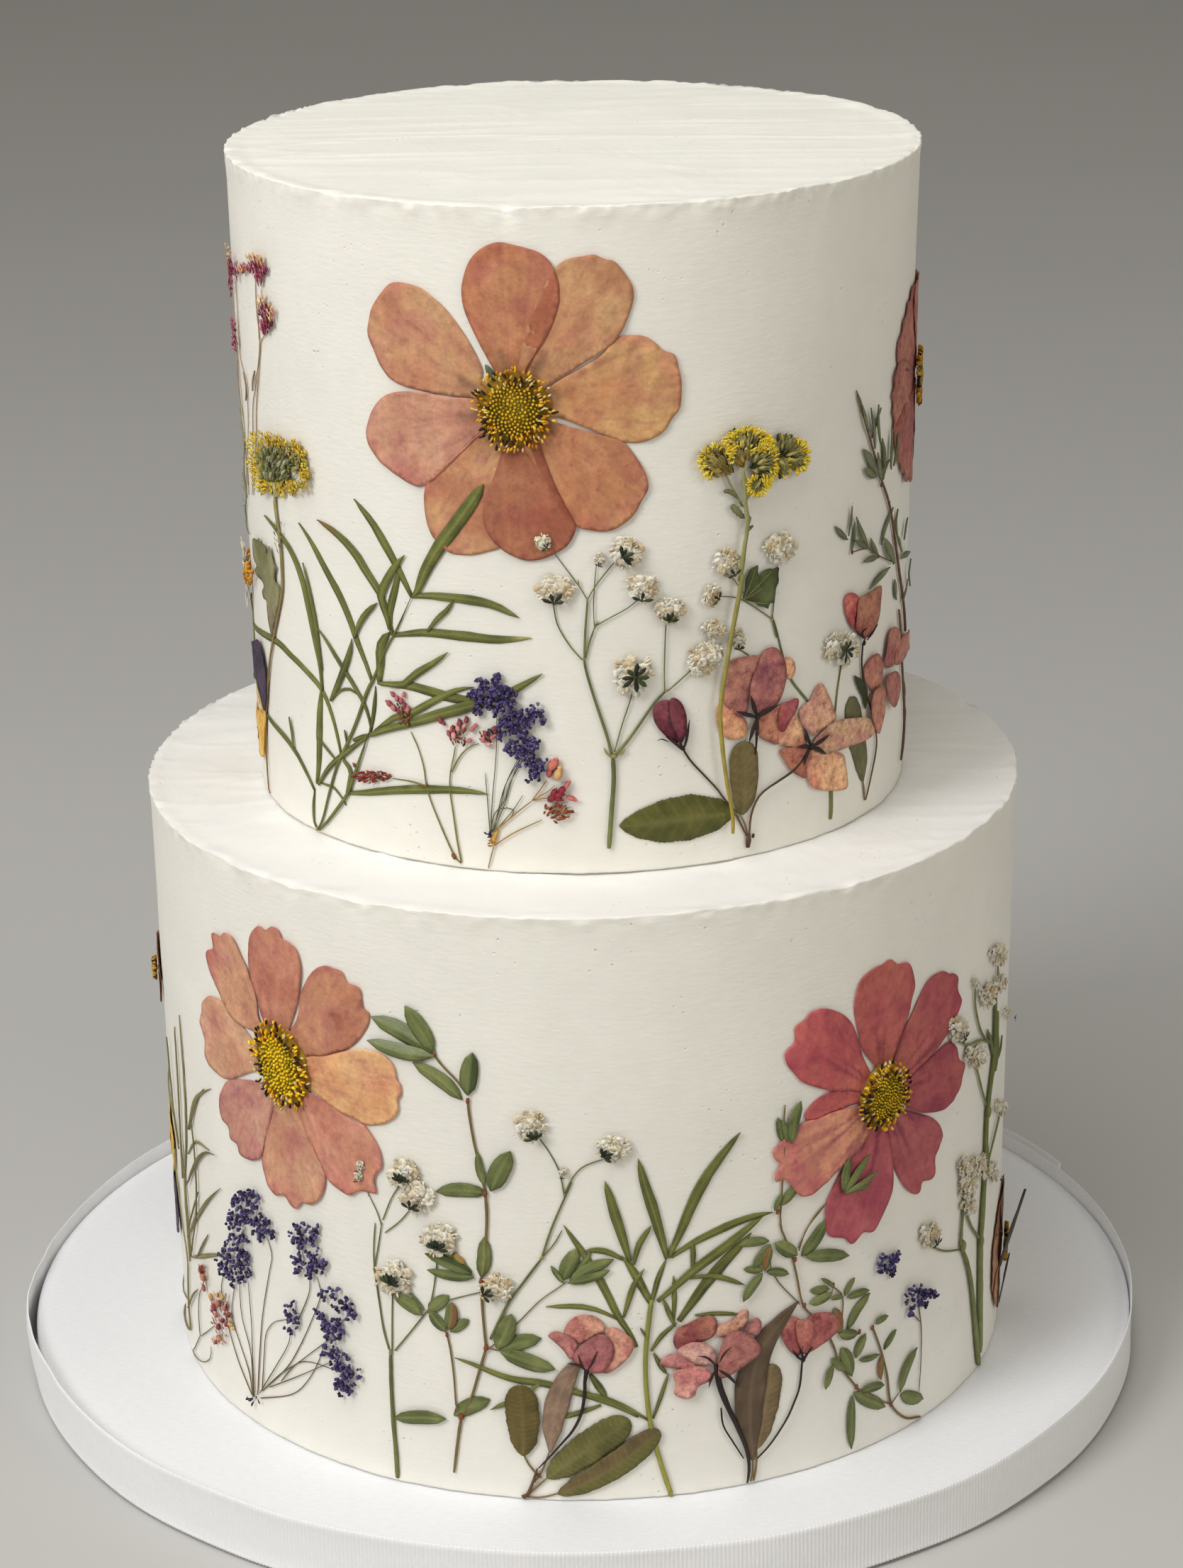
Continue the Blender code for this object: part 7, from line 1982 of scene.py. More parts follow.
    # yellow buttons
    B = Build()
    oc0, oc1 = srgb(158, 146, 66), srgb(140, 136, 78)
    stem(B, UPPER, V8, [(556, 1166), (556, 1090), (545, 1010), (520, 860), (500, 700), (490, 520), (512, 350), (545, 140),
                        (566, 20), (590, -120), (600, -200)], 22, 30, srgb(162, 142, 52), oc1, 0.0019, seed=9)
    stem(B, UPPER, V5, [(400, 1060), (418, 960), (430, 860), (446, 760), (448, 690), (436, 620), (432, 520), (420, 400)], 30, 26, oc1,
         srgb(150, 148, 104), 0.0018, seed=10)
    stem(B, UPPER, V5, [(432, 630), (400, 575), (350, 480), (330, 430)], 18, 14, srgb(150, 148, 104), None, 0.0008, seed=11)
    stem(B, UPPER, V5, [(438, 640), (460, 580), (500, 520)], 18, 14, srgb(150, 148, 104), None, 0.0008, seed=12)
    stem(B, UPPER, V5, [(600, 400), (540, 470), (470, 560)], 12, 12, srgb(150, 148, 104), None, 0.0007, seed=13)
    for pts, w in (([(400, 580), (360, 545), (318, 540)], 30), ([(440, 700), (400, 660), (362, 620)], 44),
                   ([(450, 760), (470, 700), (452, 680)], 22), ([(455, 780), (480, 750), (492, 744)], 20)):
        blade(B, UPPER, V5, pts, w, srgb(104, 106, 66), srgb(136, 138, 96), 0.0012, "blunt", 14, 5, 0.2, 0, 4, 0.4)
    yarrow_head(B, UPPER, V5, 455, 250, 120, 62, (440, 380), 1, 2.2, 0.1, (0, 3.6))
    yarrow_head(B, UPPER, V5, 550, 370, 56, 110, (460, 400), 2, 1.8, 0.0, (0, 3.2))
    yarrow_head(B, UPPER, V5, 505, 505, 52, 34, (560, 420), 3, 2.4, 0.0, (0, 4.0))
    yarrow_head(B, UPPER, V5, 285, 370, 96, 88, (400, 470), 4, 1.2, 0.6)
    yarrow_head(B, UPPER, V5, 415, 330, 58, 62, (430, 430), 5, 1.0, 0.7)
    yarrow_head(B, UPPER, V5, 665, 272, 46, 46, (640, 340), 6, 0.0, 0.0)
    yarrow_head(B, UPPER, V5, 648, 396, 38, 54, (620, 350), 7, 0.2, 0.0)
    yarrow_head(B, UPPER, V5, 728, 335, 56, 86, (620, 360), 8, 1.5, 0.0, (0, 2.4))
    finish_piece(B, "yarrow_upper_right_buttons", "yarrow_upper_right")

    # right group: leaf, bud, flower
    B = Build()
    blade(B, UPPER, V8, [(1256, 900), (1250, 800), (1225, 660), (1190, 462)], 170, srgb(92, 90, 58), srgb(114, 110, 74),
          0.0002, "blunt", 81, 11, 0.3, 8, camber=0.0003, reg=(0.72, 0.74, 0.62), n=24)
    stem(B, UPPER, V8, [(1262, 1002), (1260, 950), (1252, 890)], 14, 12, srgb(128, 116, 78), None, 0.0003, seed=2)
    finish_piece(B, "leaf_upper_right_blade", "leaf_upper_right")

    B = Build()
    petal(B, UPPER, V5, [(1028, 1188), (1046, 1144), (1080, 1138), (1110, 1168), (1110, 1220), (1096, 1290), (1084, 1352),
                         (1058, 1320), (1034, 1252)], [srgb(198, 96, 94), srgb(216, 128, 112)], 0.0003, 91, (1130, 1400),
          mauve=0.4, vein=0.2)
    petal(B, UPPER, V5, [(1104, 1176), (1160, 1140), (1200, 1118), (1238, 1098), (1232, 1200), (1216, 1300), (1180, 1372),
                         (1140, 1402), (1090, 1366), (1094, 1260)], [srgb(186, 116, 96), srgb(148, 78, 76), srgb(200, 142, 112)], 0.0006, 92,
          (1130, 1400), mauve=0.5, vein=0.25)
    for pts, w in (([(1140, 1410), (1120, 1370), (1150, 1340)], 14), ([(1148, 1412), (1180, 1370), (1208, 1320)], 16),
                   ([(1136, 1408), (1100, 1370), (1080, 1355)], 12)):
        blade(B, UPPER, V5, pts, w, blk, blk2, 0.0011, "lance", 63, 5, 0)
    knot(B, UPPER, V8, 1252, 172, 24, blk, 0.0008, turn=90)
    stem(B, UPPER, V8, [(1252, 172), (1246, 300), (1266, 430), (1304, 560), (1322, 700), (1296, 860), (1264, 1000)], 14, 12,
         blk, br2, 0.0005, seed=14)
    blade(B, UPPER, V8, [(1262, 520), (1262, 440), (1206, 345)], 70, srgb(44, 50, 26), srgb(66, 70, 38), 0.0006, "lance", 82,
          5, 0)
    dusty = [srgb(196, 130, 112), srgb(168, 100, 96), srgb(214, 154, 126)]
    for i, pts in enumerate(([(1262, 300), (1300, 240), (1330, 230), (1345, 270), (1352, 380), (1300, 420), (1262, 380)],
                             [(1365, 220), (1380, 130), (1410, 88), (1440, 120), (1432, 200), (1400, 290), (1355, 300)],
                             [(1410, 240), (1440, 150), (1478, 112), (1488, 160), (1462, 250), (1415, 290)],
                             [(1360, 360), (1400, 320), (1424, 350), (1424, 450), (1400, 512), (1370, 470)],
                             [(1290, 430), (1345, 400), (1350, 500), (1330, 600), (1310, 650), (1276, 540)])):
        petal(B, UPPER, V8, pts, dusty, 0.0003 + 0.0002 * i, 93 + i, (1360, 330), mauve=0.5, crumple=0.0003)
    finish_piece(B, "crabapple_upper_right_flowers", "crabapple_upper_right")

    # woody sprig with small grey-green leaves
    B = Build()
    w0_, w1_ = srgb(92, 66, 44), srgb(118, 84, 56)
    stem(B, UPPER, V8, [(1450, 790), (1468, 600), (1464, 450), (1456, 300), (1448, 100), (1440, 0)], 22, 20, w0_, w1_, 0.0005,
         seed=15, knots=((0.3, 0.4),))
    stem(B, UPPER, V5, [(1380, 1360), (1370, 1200), (1350, 1050), (1330, 900), (1310, 750), (1284, 610), (1240, 470),
                        (1200, 320), (1160, 180), (1108, 0)], 26, 14, w0_, w1_, 0.0005, seed=16)
    stem(B, UPPER, V8, [(1470, 470), (1500, 420), (1528, 368)], 9, 6, srgb(128, 110, 70), None, 0.0005, seed=17)
    stem(B, UPPER, V5, [(1312, 962), (1225, 922), (1160, 880), (1072, 902)], 10, 8, w1_, w0_, 0.0006, seed=18)
    l0, l1 = srgb(82, 90, 56), srgb(126, 132, 96)
    for i, (a, b, w) in enumerate((((1050, 830), (975, 750), 42), ((1050, 806), (1070, 632), 26), ((1160, 872), (1092, 694), 44),
                                   ((1156, 876), (1078, 826), 40), ((1072, 900), (1090, 730), 34), ((1222, 920), (1178, 820), 40),
                                   ((1216, 930), (1132, 958), 44), ((1305, 965), (1244, 816), 70), ((1242, 860), (1312, 640), 46),
                                   ((1288, 990), (1172, 1118), 50), ((1200, 300), (1176, 60), 34), ((1230, 280), (1216, 40), 34),
                                   ((1190, 240), (1244, 60), 30), ((1200, 430), (1136, 300), 60), ((1210, 460), (1140, 410), 60),
                                   ((1230, 480), (1212, 320), 60), ((1264, 440), (1250, 240), 56), ((1250, 480), (1290, 360), 44),
                                   ((1290, 420), (1300, 180), 40), ((1300, 400), (1330, 200), 34), ((1335, 820), (1340, 650), 40),
                                   ((1370, 830), (1390, 700), 40), ((1350, 900), (1320, 790), 40), ((1340, 940), (1396, 900), 44),
                                   ((1330, 1180), (1320, 1060), 60), ((1360, 1190), (1388, 1060), 46), ((1400, 1100), (1402, 940), 34),
                                   ((1160, 200), (1120, 40), 30), ((1140, 120), (1100, -40), 26))):
        mid = (0.5 * (a[0] + b[0]) + 8 * math.sin(i * 2.1), 0.5 * (a[1] + b[1]) + 6 * math.cos(i * 1.7))
        blade(B, UPPER, V5, [a, mid, b], w, l0, l1, 0.0005 + 0.0002 * (i % 4), "lance", 150 + i, 5, 0.25)
    for x, y in ((1072, 902), (1222, 926), (1308, 962), (1284, 612), (1240, 512), (1165, 190)):
        knot(B, UPPER, V5, x, y, 20, srgb(104, 60, 36), 0.0006, turn=90)
    finish_piece(B, "sprig_upper_right_leaves", "sprig_upper_right")


# ============================================================ lower tier, front
def lower_left():
    V9 = View(LOWER, 215, 1400, 2.904)
    V10 = View(LOWER, 210, 1640, 3.734)
    # dried flower seen from its edge
    B = Build()
    V = Place(LOWER, -85.5, 0.0950)
    small_flower(B, LOWER, V, 9.0, [srgb(150, 100, 60), srgb(178, 128, 82), srgb(120, 74, 44)], 411, 9, 0.42)
    finish_piece(B, "dried_flower_lower_left", "flower_edge_lower_left")

    B = Build()
    gs = [srgb(128, 120, 76), srgb(150, 142, 98), srgb(108, 100, 60)]
    stem(B, LOWER, V9, [(140, 1470), (158, 1380), (154, 1290), (152, 1190), (150, 1090), (134, 980), (116, 850), (104, 740),
                        (98, 640)], 15, 9, srgb(122, 104, 62), gs[1], 0.0004, seed=4)
    for i, (pts, w) in enumerate((([(158, 1100), (136, 820), (142, 600), (134, 380), (114, 92)], 16),
                                  ([(130, 760), (122, 560), (110, 350), (98, 140)], 14),
                                  ([(120, 640), (100, 500), (84, 350), (68, 180)], 11),
                                  ([(112, 620), (88, 480), (58, 366)], 14),
                                  ([(166, 1080), (150, 900), (132, 700), (118, 500)], 15),
                                  ([(170, 1060), (190, 900), (186, 690), (168, 520)], 10),
                                  ([(150, 560), (172, 450), (204, 412), (242, 394)], 22),
                                  ([(160, 560), (186, 440), (216, 394)], 14),
                                  ([(150, 790), (190, 690), (225, 655), (264, 662)], 22),
                                  ([(150, 660), (180, 612), (236, 645)], 14),
                                  ([(150, 1000), (200, 900), (240, 844), (286, 800)], 22),
                                  ([(158, 960), (182, 870), (200, 814)], 12),
                                  ([(160, 1084), (230, 1078), (311, 1070)], 22),
                                  ([(190, 1082), (214, 1030), (236, 990)], 14),
                                  ([(154, 1290), (174, 1240), (196, 1214)], 14),
                                  ([(150, 1260), (126, 1220), (104, 1168)], 9))):
        blade(B, LOWER, V9, pts, w, gs[i % 3] * 0.9, gs[(i + 1) % 3] * 1.08, 0.0003 + 0.0002 * (i % 3),
              "lance" if w > 19 else "grass", 200 + i, 5, 0.2, n=max(9, len(pts) * 5))
    finish_piece(B, "grass_lower_left_tuft", "grass_lower_left")

    B = Build()
    yel = [srgb(236, 196, 80), srgb(242, 212, 112), srgb(224, 176, 60)]
    petal(B, LOWER, V9, [(56, 484), (76, 486), (90, 560), (98, 650), (98, 735), (84, 764), (72, 700), (60, 600)], yel, 0.0003,
          211, (84, 780), mauve=0, rim=0.15, spacing=0.0012)
    petal(B, LOWER, V9, [(74, 560), (88, 640), (90, 720), (84, 764), (74, 700), (66, 620)], yel, 0.0006, 212, (84, 780),
          mauve=0, rim=0.15, spacing=0.0012)
    dk = [srgb(60, 44, 66), srgb(84, 66, 88), srgb(46, 36, 52)]
    petal(B, LOWER, V9, [(84, 766), (100, 752), (108, 800), (112, 860), (120, 925), (116, 985), (102, 1002), (90, 950),
                         (76, 885), (74, 810)], dk, 0.0004, 213, (88, 750), mauve=0.2, vein=0.25)
    petal(B, LOWER, V9, [(64, 760), (84, 760), (88, 830), (84, 900), (72, 930), (62, 850)], dk, 0.0006, 214, (84, 750),
          mauve=0.2, vein=0.25)
    finish_piece(B, "viola_lower_left_petals", "viola_lower_left")

    B = Build()
    for pts in ([(275, 912), (268, 800), (272, 700), (291, 648)], [(280, 912), (310, 892), (352, 858)],
                [(275, 912), (250, 970), (240, 1030), (280, 1046), (320, 1040), (334, 1000), (332, 968)]):
        stem(B, LOWER, V10, pts, 9, 7, srgb(120, 92, 50), srgb(110, 112, 64), 0.0004, seed=len(pts) + int(pts[-1][0]))
    pk = [srgb(206, 126, 108), srgb(190, 100, 96), srgb(216, 156, 118), srgb(160, 70, 70)]
    for i, (cx, cy, rx, ry, n) in enumerate(((296, 575, 16, 36, 14), (302, 640, 16, 44, 16), (390, 730, 44, 44, 26),
                                             (392, 810, 52, 64, 40), (380, 930, 40, 40, 20))):
        bracts(B, LOWER, V10, cx, cy, rx, ry, n, 30, BROWN + pk, 221 + i, toward=(cx - 10, cy + 90), w0=0.0004)
    buds(B, LOWER, V10, [(380, 740), (412, 762), (430, 800), (400, 830), (366, 800), (420, 850), (380, 862), (352, 760),
                         (384, 920), (362, 944), (298, 600), (304, 660), (290, 560)], 46, pk, 231, toward=(370, 900))
    buds(B, LOWER, V10, [(340, 704), (372, 694), (398, 706), (440, 846), (452, 870)], 42,
         [srgb(232, 196, 122), srgb(226, 176, 96)], 232, toward=(380, 860))
    finish_piece(B, "persicaria_lower_left_sprigs", "persicaria_lower_left")

    # lace
    B = Build()
    dk = srgb(72, 64, 42)
    for i, pts in enumerate(([(550, 1234), (530, 1100), (482, 950), (440, 800), (455, 640)],
                             [(554, 1232), (540, 1000), (492, 800), (480, 600), (470, 560)],
                             [(560, 1230), (552, 1050), (545, 850), (530, 640)],
                             [(575, 1222), (585, 1000), (600, 800), (640, 560), (652, 490), (630, 400)],
                             [(600, 1200), (610, 1000), (620, 900), (660, 842), (728, 825)],
                             [(590, 1212), (680, 1060), (740, 950), (750, 860)],
                             [(600, 1202), (720, 1090), (790, 980), (850, 850), (905, 700), (885, 600)],
                             [(620, 1184), (700, 1110), (780, 1060), (860, 1000), (975, 915)],
                             [(640, 1182), (800, 1120), (960, 1050)],
                             [(590, 1240), (750, 1222), (830, 1160), (890, 1060), (920, 970)],
                             [(700, 1150), (780, 1060), (860, 1050), (1000, 1095)], [(470, 400), (492, 380), (520, 340)],
                             [(545, 1222), (460, 1000), (390, 720), (395, 600), (445, 540)],
                             [(790, 830), (845, 690), (850, 600)])):
        stem(B, LOWER, V10, pts, 8.5, 5, srgb(96, 90, 52) if i % 3 else srgb(120, 84, 46), dk, 0.0003 + 0.0001 * (i % 3),
             seed=i)
    for i, (cx, cy, rx, ry) in enumerate(((520, 240, 72, 102), (620, 340, 56, 66), (480, 450, 66, 86), (515, 570, 34, 68),
                                          (410, 530, 32, 58), (455, 590, 30, 56), (830, 380, 78, 62), (860, 530, 92, 62),
                                          (760, 810, 34, 82), (960, 680, 44, 34), (1030, 740, 44, 38), (1075, 790, 28, 28),
                                          (980, 870, 68, 58), (920, 800, 20, 20), (960, 990, 40, 40), (1020, 1050, 58, 48),
                                          (1060, 1130, 62, 58), (1040, 1180, 48, 34), (560, 160, 30, 26), (450, 300, 24, 40))):
        lace_head(B, LOWER, V10, cx, cy, rx, ry, 240 + i, dens=0.85, w0=0.0006)
    bracts(B, LOWER, V10, 560, 1242, 26, 18, 8, 34, [srgb(60, 44, 66), srgb(50, 38, 46)], 261, w0=0.0005)
    finish_piece(B, "lace_lower_left_umbels", "lace_lower_left")


def small_flower(B, tier, V, R, pal, seed, n=8, wide=0.36, disc=0.26, sp=0.0012, beads=60, w0=0.0002, mauve=0.5):
    """A pressed flower with notched petals round a centre, in millimetres."""
    r = np.random.default_rng(seed)
    for i in list(range(0, n, 2)) + list(range(1, n, 2)):
        a = 2 * math.pi * i / n + r.uniform(-0.08, 0.08)
        L = R * r.uniform(0.92, 1.05)
        W = wide * R * r.uniform(0.9, 1.1)
        o = [(0.10, 0.10), (0.32, 0.42), (0.55, 0.8), (0.74, 1.0), (0.88, 0.95), (0.965, 0.66), (0.94, 0.42), (0.99, 0.2),
             (0.96, -0.04), (1.0, -0.28), (0.945, -0.46), (0.96, -0.7), (0.87, -0.96), (0.72, -1.0), (0.52, -0.78),
             (0.3, -0.4), (0.10, -0.10)]
        q = [(L * k * math.cos(a) - W * t * math.sin(a) * r.uniform(0.94, 1.06),
              L * k * math.sin(a) + W * t * math.cos(a) * r.uniform(0.94, 1.06)) for k, t in o]
        petal(B, tier, V, q, pal, w0 + 0.00012 * (i % 3), seed + i, (0, 0), spacing=sp, mauve=mauve, vein=0.14, rim=0.25,
              reg=(0.86, 0.72, 0.72), step=0.0008)
    D = disc * R
    c, rad, th = spread(V, 0, 0, D * 0.7, D * 0.7, beads, r)
    scatter(B, tier, BEAD, c, w0 + 0.0011 + 0.0005 * (1 - rad), 0.00062, 0.0005, 0.0008, th,
            np.array([srgb(150, 128, 34), srgb(190, 158, 44), srgb(120, 102, 34)])[r.integers(0, 3, beads)])
    m = int(beads * 1.5)
    c, rad, th = spread(V, 0, 0, D, D, m, r, edge=0.22)
    k = r.random(m) < 0.24
    col = np.array([srgb(206, 152, 40), srgb(186, 128, 32), srgb(222, 176, 62)])[r.integers(0, 3, m)]
    col[k] = srgb(32, 24, 18)
    scatter(B, tier, BEAD, c, w0 + 0.0010 + r.uniform(0, 0.0006, m), r.uniform(0.0006, 0.001, m), 0.00038, 0.0007,
            th + r.uniform(-0.5, 0.5, m), col)


OVAL1 = [  # window C11: base, tip, width
    ((430, 390), (90, 200), 112), ((420, 380), (270, 140), 105), ((425, 405), (75, 320), 90), ((570, 635), (310, 440), 86),
    ((600, 610), (625, 385), 98), ((720, 1115), (825, 905), 112), ((700, 1130), (430, 1120), 84), ((690, 1090), (650, 910), 46)]
OVAL2 = [  # window C12
    ((685, 312), (700, 95), 84), ((650, 310), (395, 270), 62), ((640, 290), (385, 180), 66), ((635, 280), (350, 90), 46),
    ((600, 240), (530, 180), 50), ((370, 510), (215, 400), 86), ((400, 490), (510, 410), 76), ((500, 600), (410, 490), 72),
    ((510, 590), (530, 440), 76), ((520, 605), (620, 540), 62), ((380, 490), (305, 395), 26), ((770, 690), (850, 505), 106),
    ((780, 705), (1010, 640), 96), ((790, 710), (1085, 805), 102), ((500, 1070), (220, 1065), 86), ((540, 1055), (735, 970), 96)]


def leaflets(B, tier, V, table, c0, c1, w0, seed, prof="oval", halves=(), veins=0, step=0.0002, bend=0.05, **kw):
    for i, (a, b, w) in enumerate(table):
        d = (b[0] - a[0], b[1] - a[1])
        k = bend * math.sin(i * 2.3 + seed)
        mid = (0.5 * (a[0] + b[0]) - d[1] * k, 0.5 * (a[1] + b[1]) + d[0] * k)
        blade(B, tier, V, [a, mid, b], w, c0, c1, w0 + step * (i % 3), prof, seed + i, 7, 0.42, veins,
              half=halves[i] if i < len(halves) and halves[i] is not None else None, **kw)


def lower_mid():
    V11 = View(LOWER, 500, 1380, 3.733)
    V12 = View(LOWER, 500, 1720, 3.8245)
    V13 = View(LOWER, 780, 1560, 4.612)
    V14 = View(LOWER, 700, 1800, 3.92)
    # baby's breath, left
    B = Build()
    g0, g1 = srgb(112, 116, 66), srgb(92, 94, 50)
    for i, (V, pts, a, b) in enumerate((
            (V12, [(236, 1390), (228, 1250), (214, 1100), (202, 900), (198, 725)], 30, 22),
            (V12, [(190, 700), (160, 590), (136, 440), (108, 268)], 14, 10),
            (V12, [(108, 266), (128, 150), (146, 30)], 9, 8),
            (V12, [(108, 266), (104, 160), (112, 20)], 9, 8),
            (V11, [(140, 1292), (120, 1230), (78, 1142)], 9, 6), (V11, [(76, 1142), (56, 1090), (34, 1046)], 6, 5),
            (V11, [(76, 1142), (60, 1060), (42, 990)], 6, 5),
            (V11, [(150, 1272), (200, 1150), (258, 1070)], 9, 7), (V11, [(162, 1340), (240, 1280), (306, 1204)], 9, 7),
            (V12, [(206, 708), (206, 500), (208, 366)], 11, 8), (V12, [(222, 706), (310, 600), (405, 480)], 12, 9),
            (V12, [(410, 468), (432, 350), (452, 180)], 9, 8), (V12, [(410, 472), (520, 432), (688, 390)], 8, 7))):
        stem(B, LOWER, V, pts, a, b, g0, g1, 0.0003, seed=i + 3)
    for V, x, y, w in ((V12, 200, 716, 26), (V12, 108, 268, 14), (V12, 408, 476, 15), (V11, 142, 1290, 14), (V11, 77, 1142, 9)):
        knot(B, LOWER, V, x, y, w, srgb(150, 138, 84), 0.0004, turn=90)
    for i, (V, cx, cy, rx, ry, sep, base, tan) in enumerate((
            (V11, 265, 1025, 88, 84, 6, (262, 1052), 0.25), (V11, 335, 1145, 92, 86, 4, (312, 1192), 0.25),
            (V12, 215, 305, 104, 100, 8, (212, 330), 0.3), (V12, 462, 104, 98, 96, 8, (456, 140), 0.25),
            (V12, 768, 366, 90, 84, 4, (706, 386), 0.3), (V11, 30, 1034, 24, 30, 3, (36, 1052), 0.0),
            (V11, 40, 978, 24, 30, 3, (42, 998), 0.0))):
        gyp_head(B, LOWER, V, cx, cy, rx, ry, sep, 270 + i, base, tan)
    finish_piece(B, "gypsophila_lower_left_spray", "gypsophila_lower_left")

    # feathery leaf
    B = Build()
    ygr = srgb(150, 146, 60)
    stem(B, LOWER, V14, [(966, 1205), (932, 1100), (892, 970), (856, 830), (832, 640), (826, 450), (844, 250), (860, 130)],
         32, 30, ygr, FG1, 0.0003, seed=6, flat=0.55)
    lob13 = [
        ([(635, 1300), (662, 1210), (690, 1110), (742, 990)], 40, "st"),
        ([(742, 990), (702, 850), (655, 690), (600, 520), (553, 338)], 76, "lobe"),
        ([(750, 985), (830, 820), (905, 640), (1000, 460), (1090, 335), (1150, 258), (1220, 172)], 80, "lobe"),
        ([(770, 985), (900, 900), (1060, 820), (1220, 750), (1340, 712), (1432, 694)], 62, "lobe"),
        ([(680, 1270), (800, 1170), (900, 1080), (1020, 990), (1150, 890), (1270, 790), (1372, 708)], 72, "lobe"),
        ([(905, 1065), (912, 980), (910, 878)], 40, "lobe"),
        ([(820, 1402), (900, 1290), (980, 1180), (1080, 1060), (1180, 950), (1292, 828)], 86, "dark"),
        ([(890, 1120), (1000, 1104), (1100, 1115), (1247, 1162)], 40, "lobe"),
        ([(925, 1362), (1060, 1350), (1217, 1355)], 32, "lobe"),
        ([(640, 1290), (570, 1160), (505, 1050), (445, 975)], 62, "st"),
        ([(500, 1010), (440, 820), (390, 660), (337, 484)], 72, "lobe"),
        ([(455, 1000), (380, 960), (300, 940), (204, 945)], 46, "lobe"),
        ([(545, 1568), (500, 1480), (430, 1380), (360, 1240), (290, 1110), (210, 980), (140, 880), (69, 778)], 58, "lobe"),
        ([(525, 1030), (560, 900), (642, 773)], 46, "lobe"),
        ([(460, 1375), (500, 1240), (540, 1140), (596, 1058)], 42, "lobe"),
        ([(415, 1385), (300, 1332), (170, 1306), (-46, 1307)], 38, "lobe"),
        ([(610, 1512), (566, 1438)], 18, "lobe"),
        ([(795, 1435), (760, 1360), (719, 1258)], 36, "lobe"),
        ([(785, 1405), (792, 1250), (785, 1104)], 36, "lobe")]
    for i, (pts, w, kind) in enumerate(lob13):
        c0, c1 = (FG0 * 0.8, FG1 * 0.8) if kind == "dark" else (FG0 * 1.02, FG1 * 1.04)
        blade(B, LOWER, V13, pts, w, c0, c1, 0.0002 + 0.00016 * ((i * 5) % 3), "grass" if kind == "st" else "lobe", 300 + i,
              7, 0.34, groove=0.00006, reg=(0.66, 0.7, 0.55), rag=0.05)
    for i, (V, pts, w) in enumerate(((V14, [(858, 414), (900, 350), (935, 312), (1002, 258)], 30),
                                     (V14, [(870, 424), (912, 500), (946, 542)], 30),
                                     (V14, [(868, 785), (905, 680), (952, 538)], 26),
                                     (V14, [(838, 792), (720, 722), (600, 672), (480, 640), (378, 620)], 30),
                                     (V14, [(520, 540), (560, 600), (612, 672)], 46),
                                     (V12, [(1530, 1060), (1430, 1010), (1300, 960), (1150, 915), (1010, 880), (860, 860),
                                            (740, 820), (640, 778), (543, 744)], 44),
                                     (V12, [(1330, 1000), (1200, 1045), (1080, 1078)], 34),
                                     (V12, [(1000, 884), (900, 950), (820, 990), (735, 1024)], 36))):
        blade(B, LOWER, V, pts, w, FG0, FG1, 0.0003 + 0.00016 * (i % 2), "lobe", 330 + i, 7, 0.3, groove=0.00005,
              reg=(0.66, 0.7, 0.55))
    knot(B, LOWER, V14, 965, 1204, 30, ygr, 0.0003, turn=80)
    finish_piece(B, "cosmos_leaf_lower_frond", "cosmos_leaf_lower")

    # sprig with oval leaves
    B = Build()
    br = srgb(112, 96, 54)
    for i, (V, pts, w) in enumerate((
            (V11, [(425, 402), (470, 460), (540, 532), (592, 604)], 13), (V11, [(600, 640), (606, 705), (630, 850), (664, 1000),
                                                                              (690, 1130)], 15),
            (V11, [(690, 1132), (698, 1250), (692, 1400), (686, 1560)], 17), (V12, [(685, 330), (690, 450), (702, 600), (712, 690)], 17),
            (V12, [(712, 692), (680, 800), (632, 960), (582, 1062)], 17), (V12, [(580, 1062), (564, 1160), (540, 1362)], 19),
            (V12, [(392, 500), (432, 505), (470, 570), (502, 620)], 10), (V12, [(502, 622), (520, 700), (540, 850), (552, 1000),
                                                                              (576, 1056)], 12),
            (V12, [(712, 690), (745, 696), (780, 705)], 12))):
        stem(B, LOWER, V, pts, w, w * 0.9, br, srgb(122, 104, 62), 0.0004, seed=i + 5)
    for V, x, y, w in ((V11, 600, 640, 17), (V11, 690, 1130, 20), (V12, 712, 690, 22), (V12, 580, 1062, 24),
                       (V12, 502, 620, 14), (V12, 686, 330, 20), (V11, 424, 398, 14)):
        knot(B, LOWER, V, x, y, 1.45 * w, srgb(140, 78, 38), 0.0005, turn=80)
    pale = srgb(132, 140, 106)
    leaflets(B, LOWER, V11, OVAL1, OG0, OG1, 0.0004, 340, veins=9, halves=(pale, None, pale, None, OG0 * 0.8))
    leaflets(B, LOWER, V12, OVAL2, OG0, OG1, 0.0004, 360, veins=9,
             halves=(None, None, OG0 * 0.75, None, srgb(160, 120, 60), None, None, None, srgb(128, 92, 54)))
    finish_piece(B, "oval_leaf_sprig_lower_leaves", "oval_leaf_sprig_lower")

    # small leafy tip
    B = Build()
    stem(B, LOWER, V12, [(735, 690), (820, 620), (900, 540), (1000, 440), (1100, 370), (1150, 335)], 8, 7, br,
         srgb(112, 104, 64), 0.0003, seed=44)
    leaflets(B, LOWER, V12, [((1120, 330), (1200, 160), 96), ((1160, 330), (1400, 215), 72), ((1150, 340), (1380, 270), 52),
                             ((1190, 310), (1280, 180), 36), ((1130, 345), (1060, 250), 30)], OG0, OG1, 0.0003, 380, veins=7)
    finish_piece(B, "leafy_tip_lower", None)

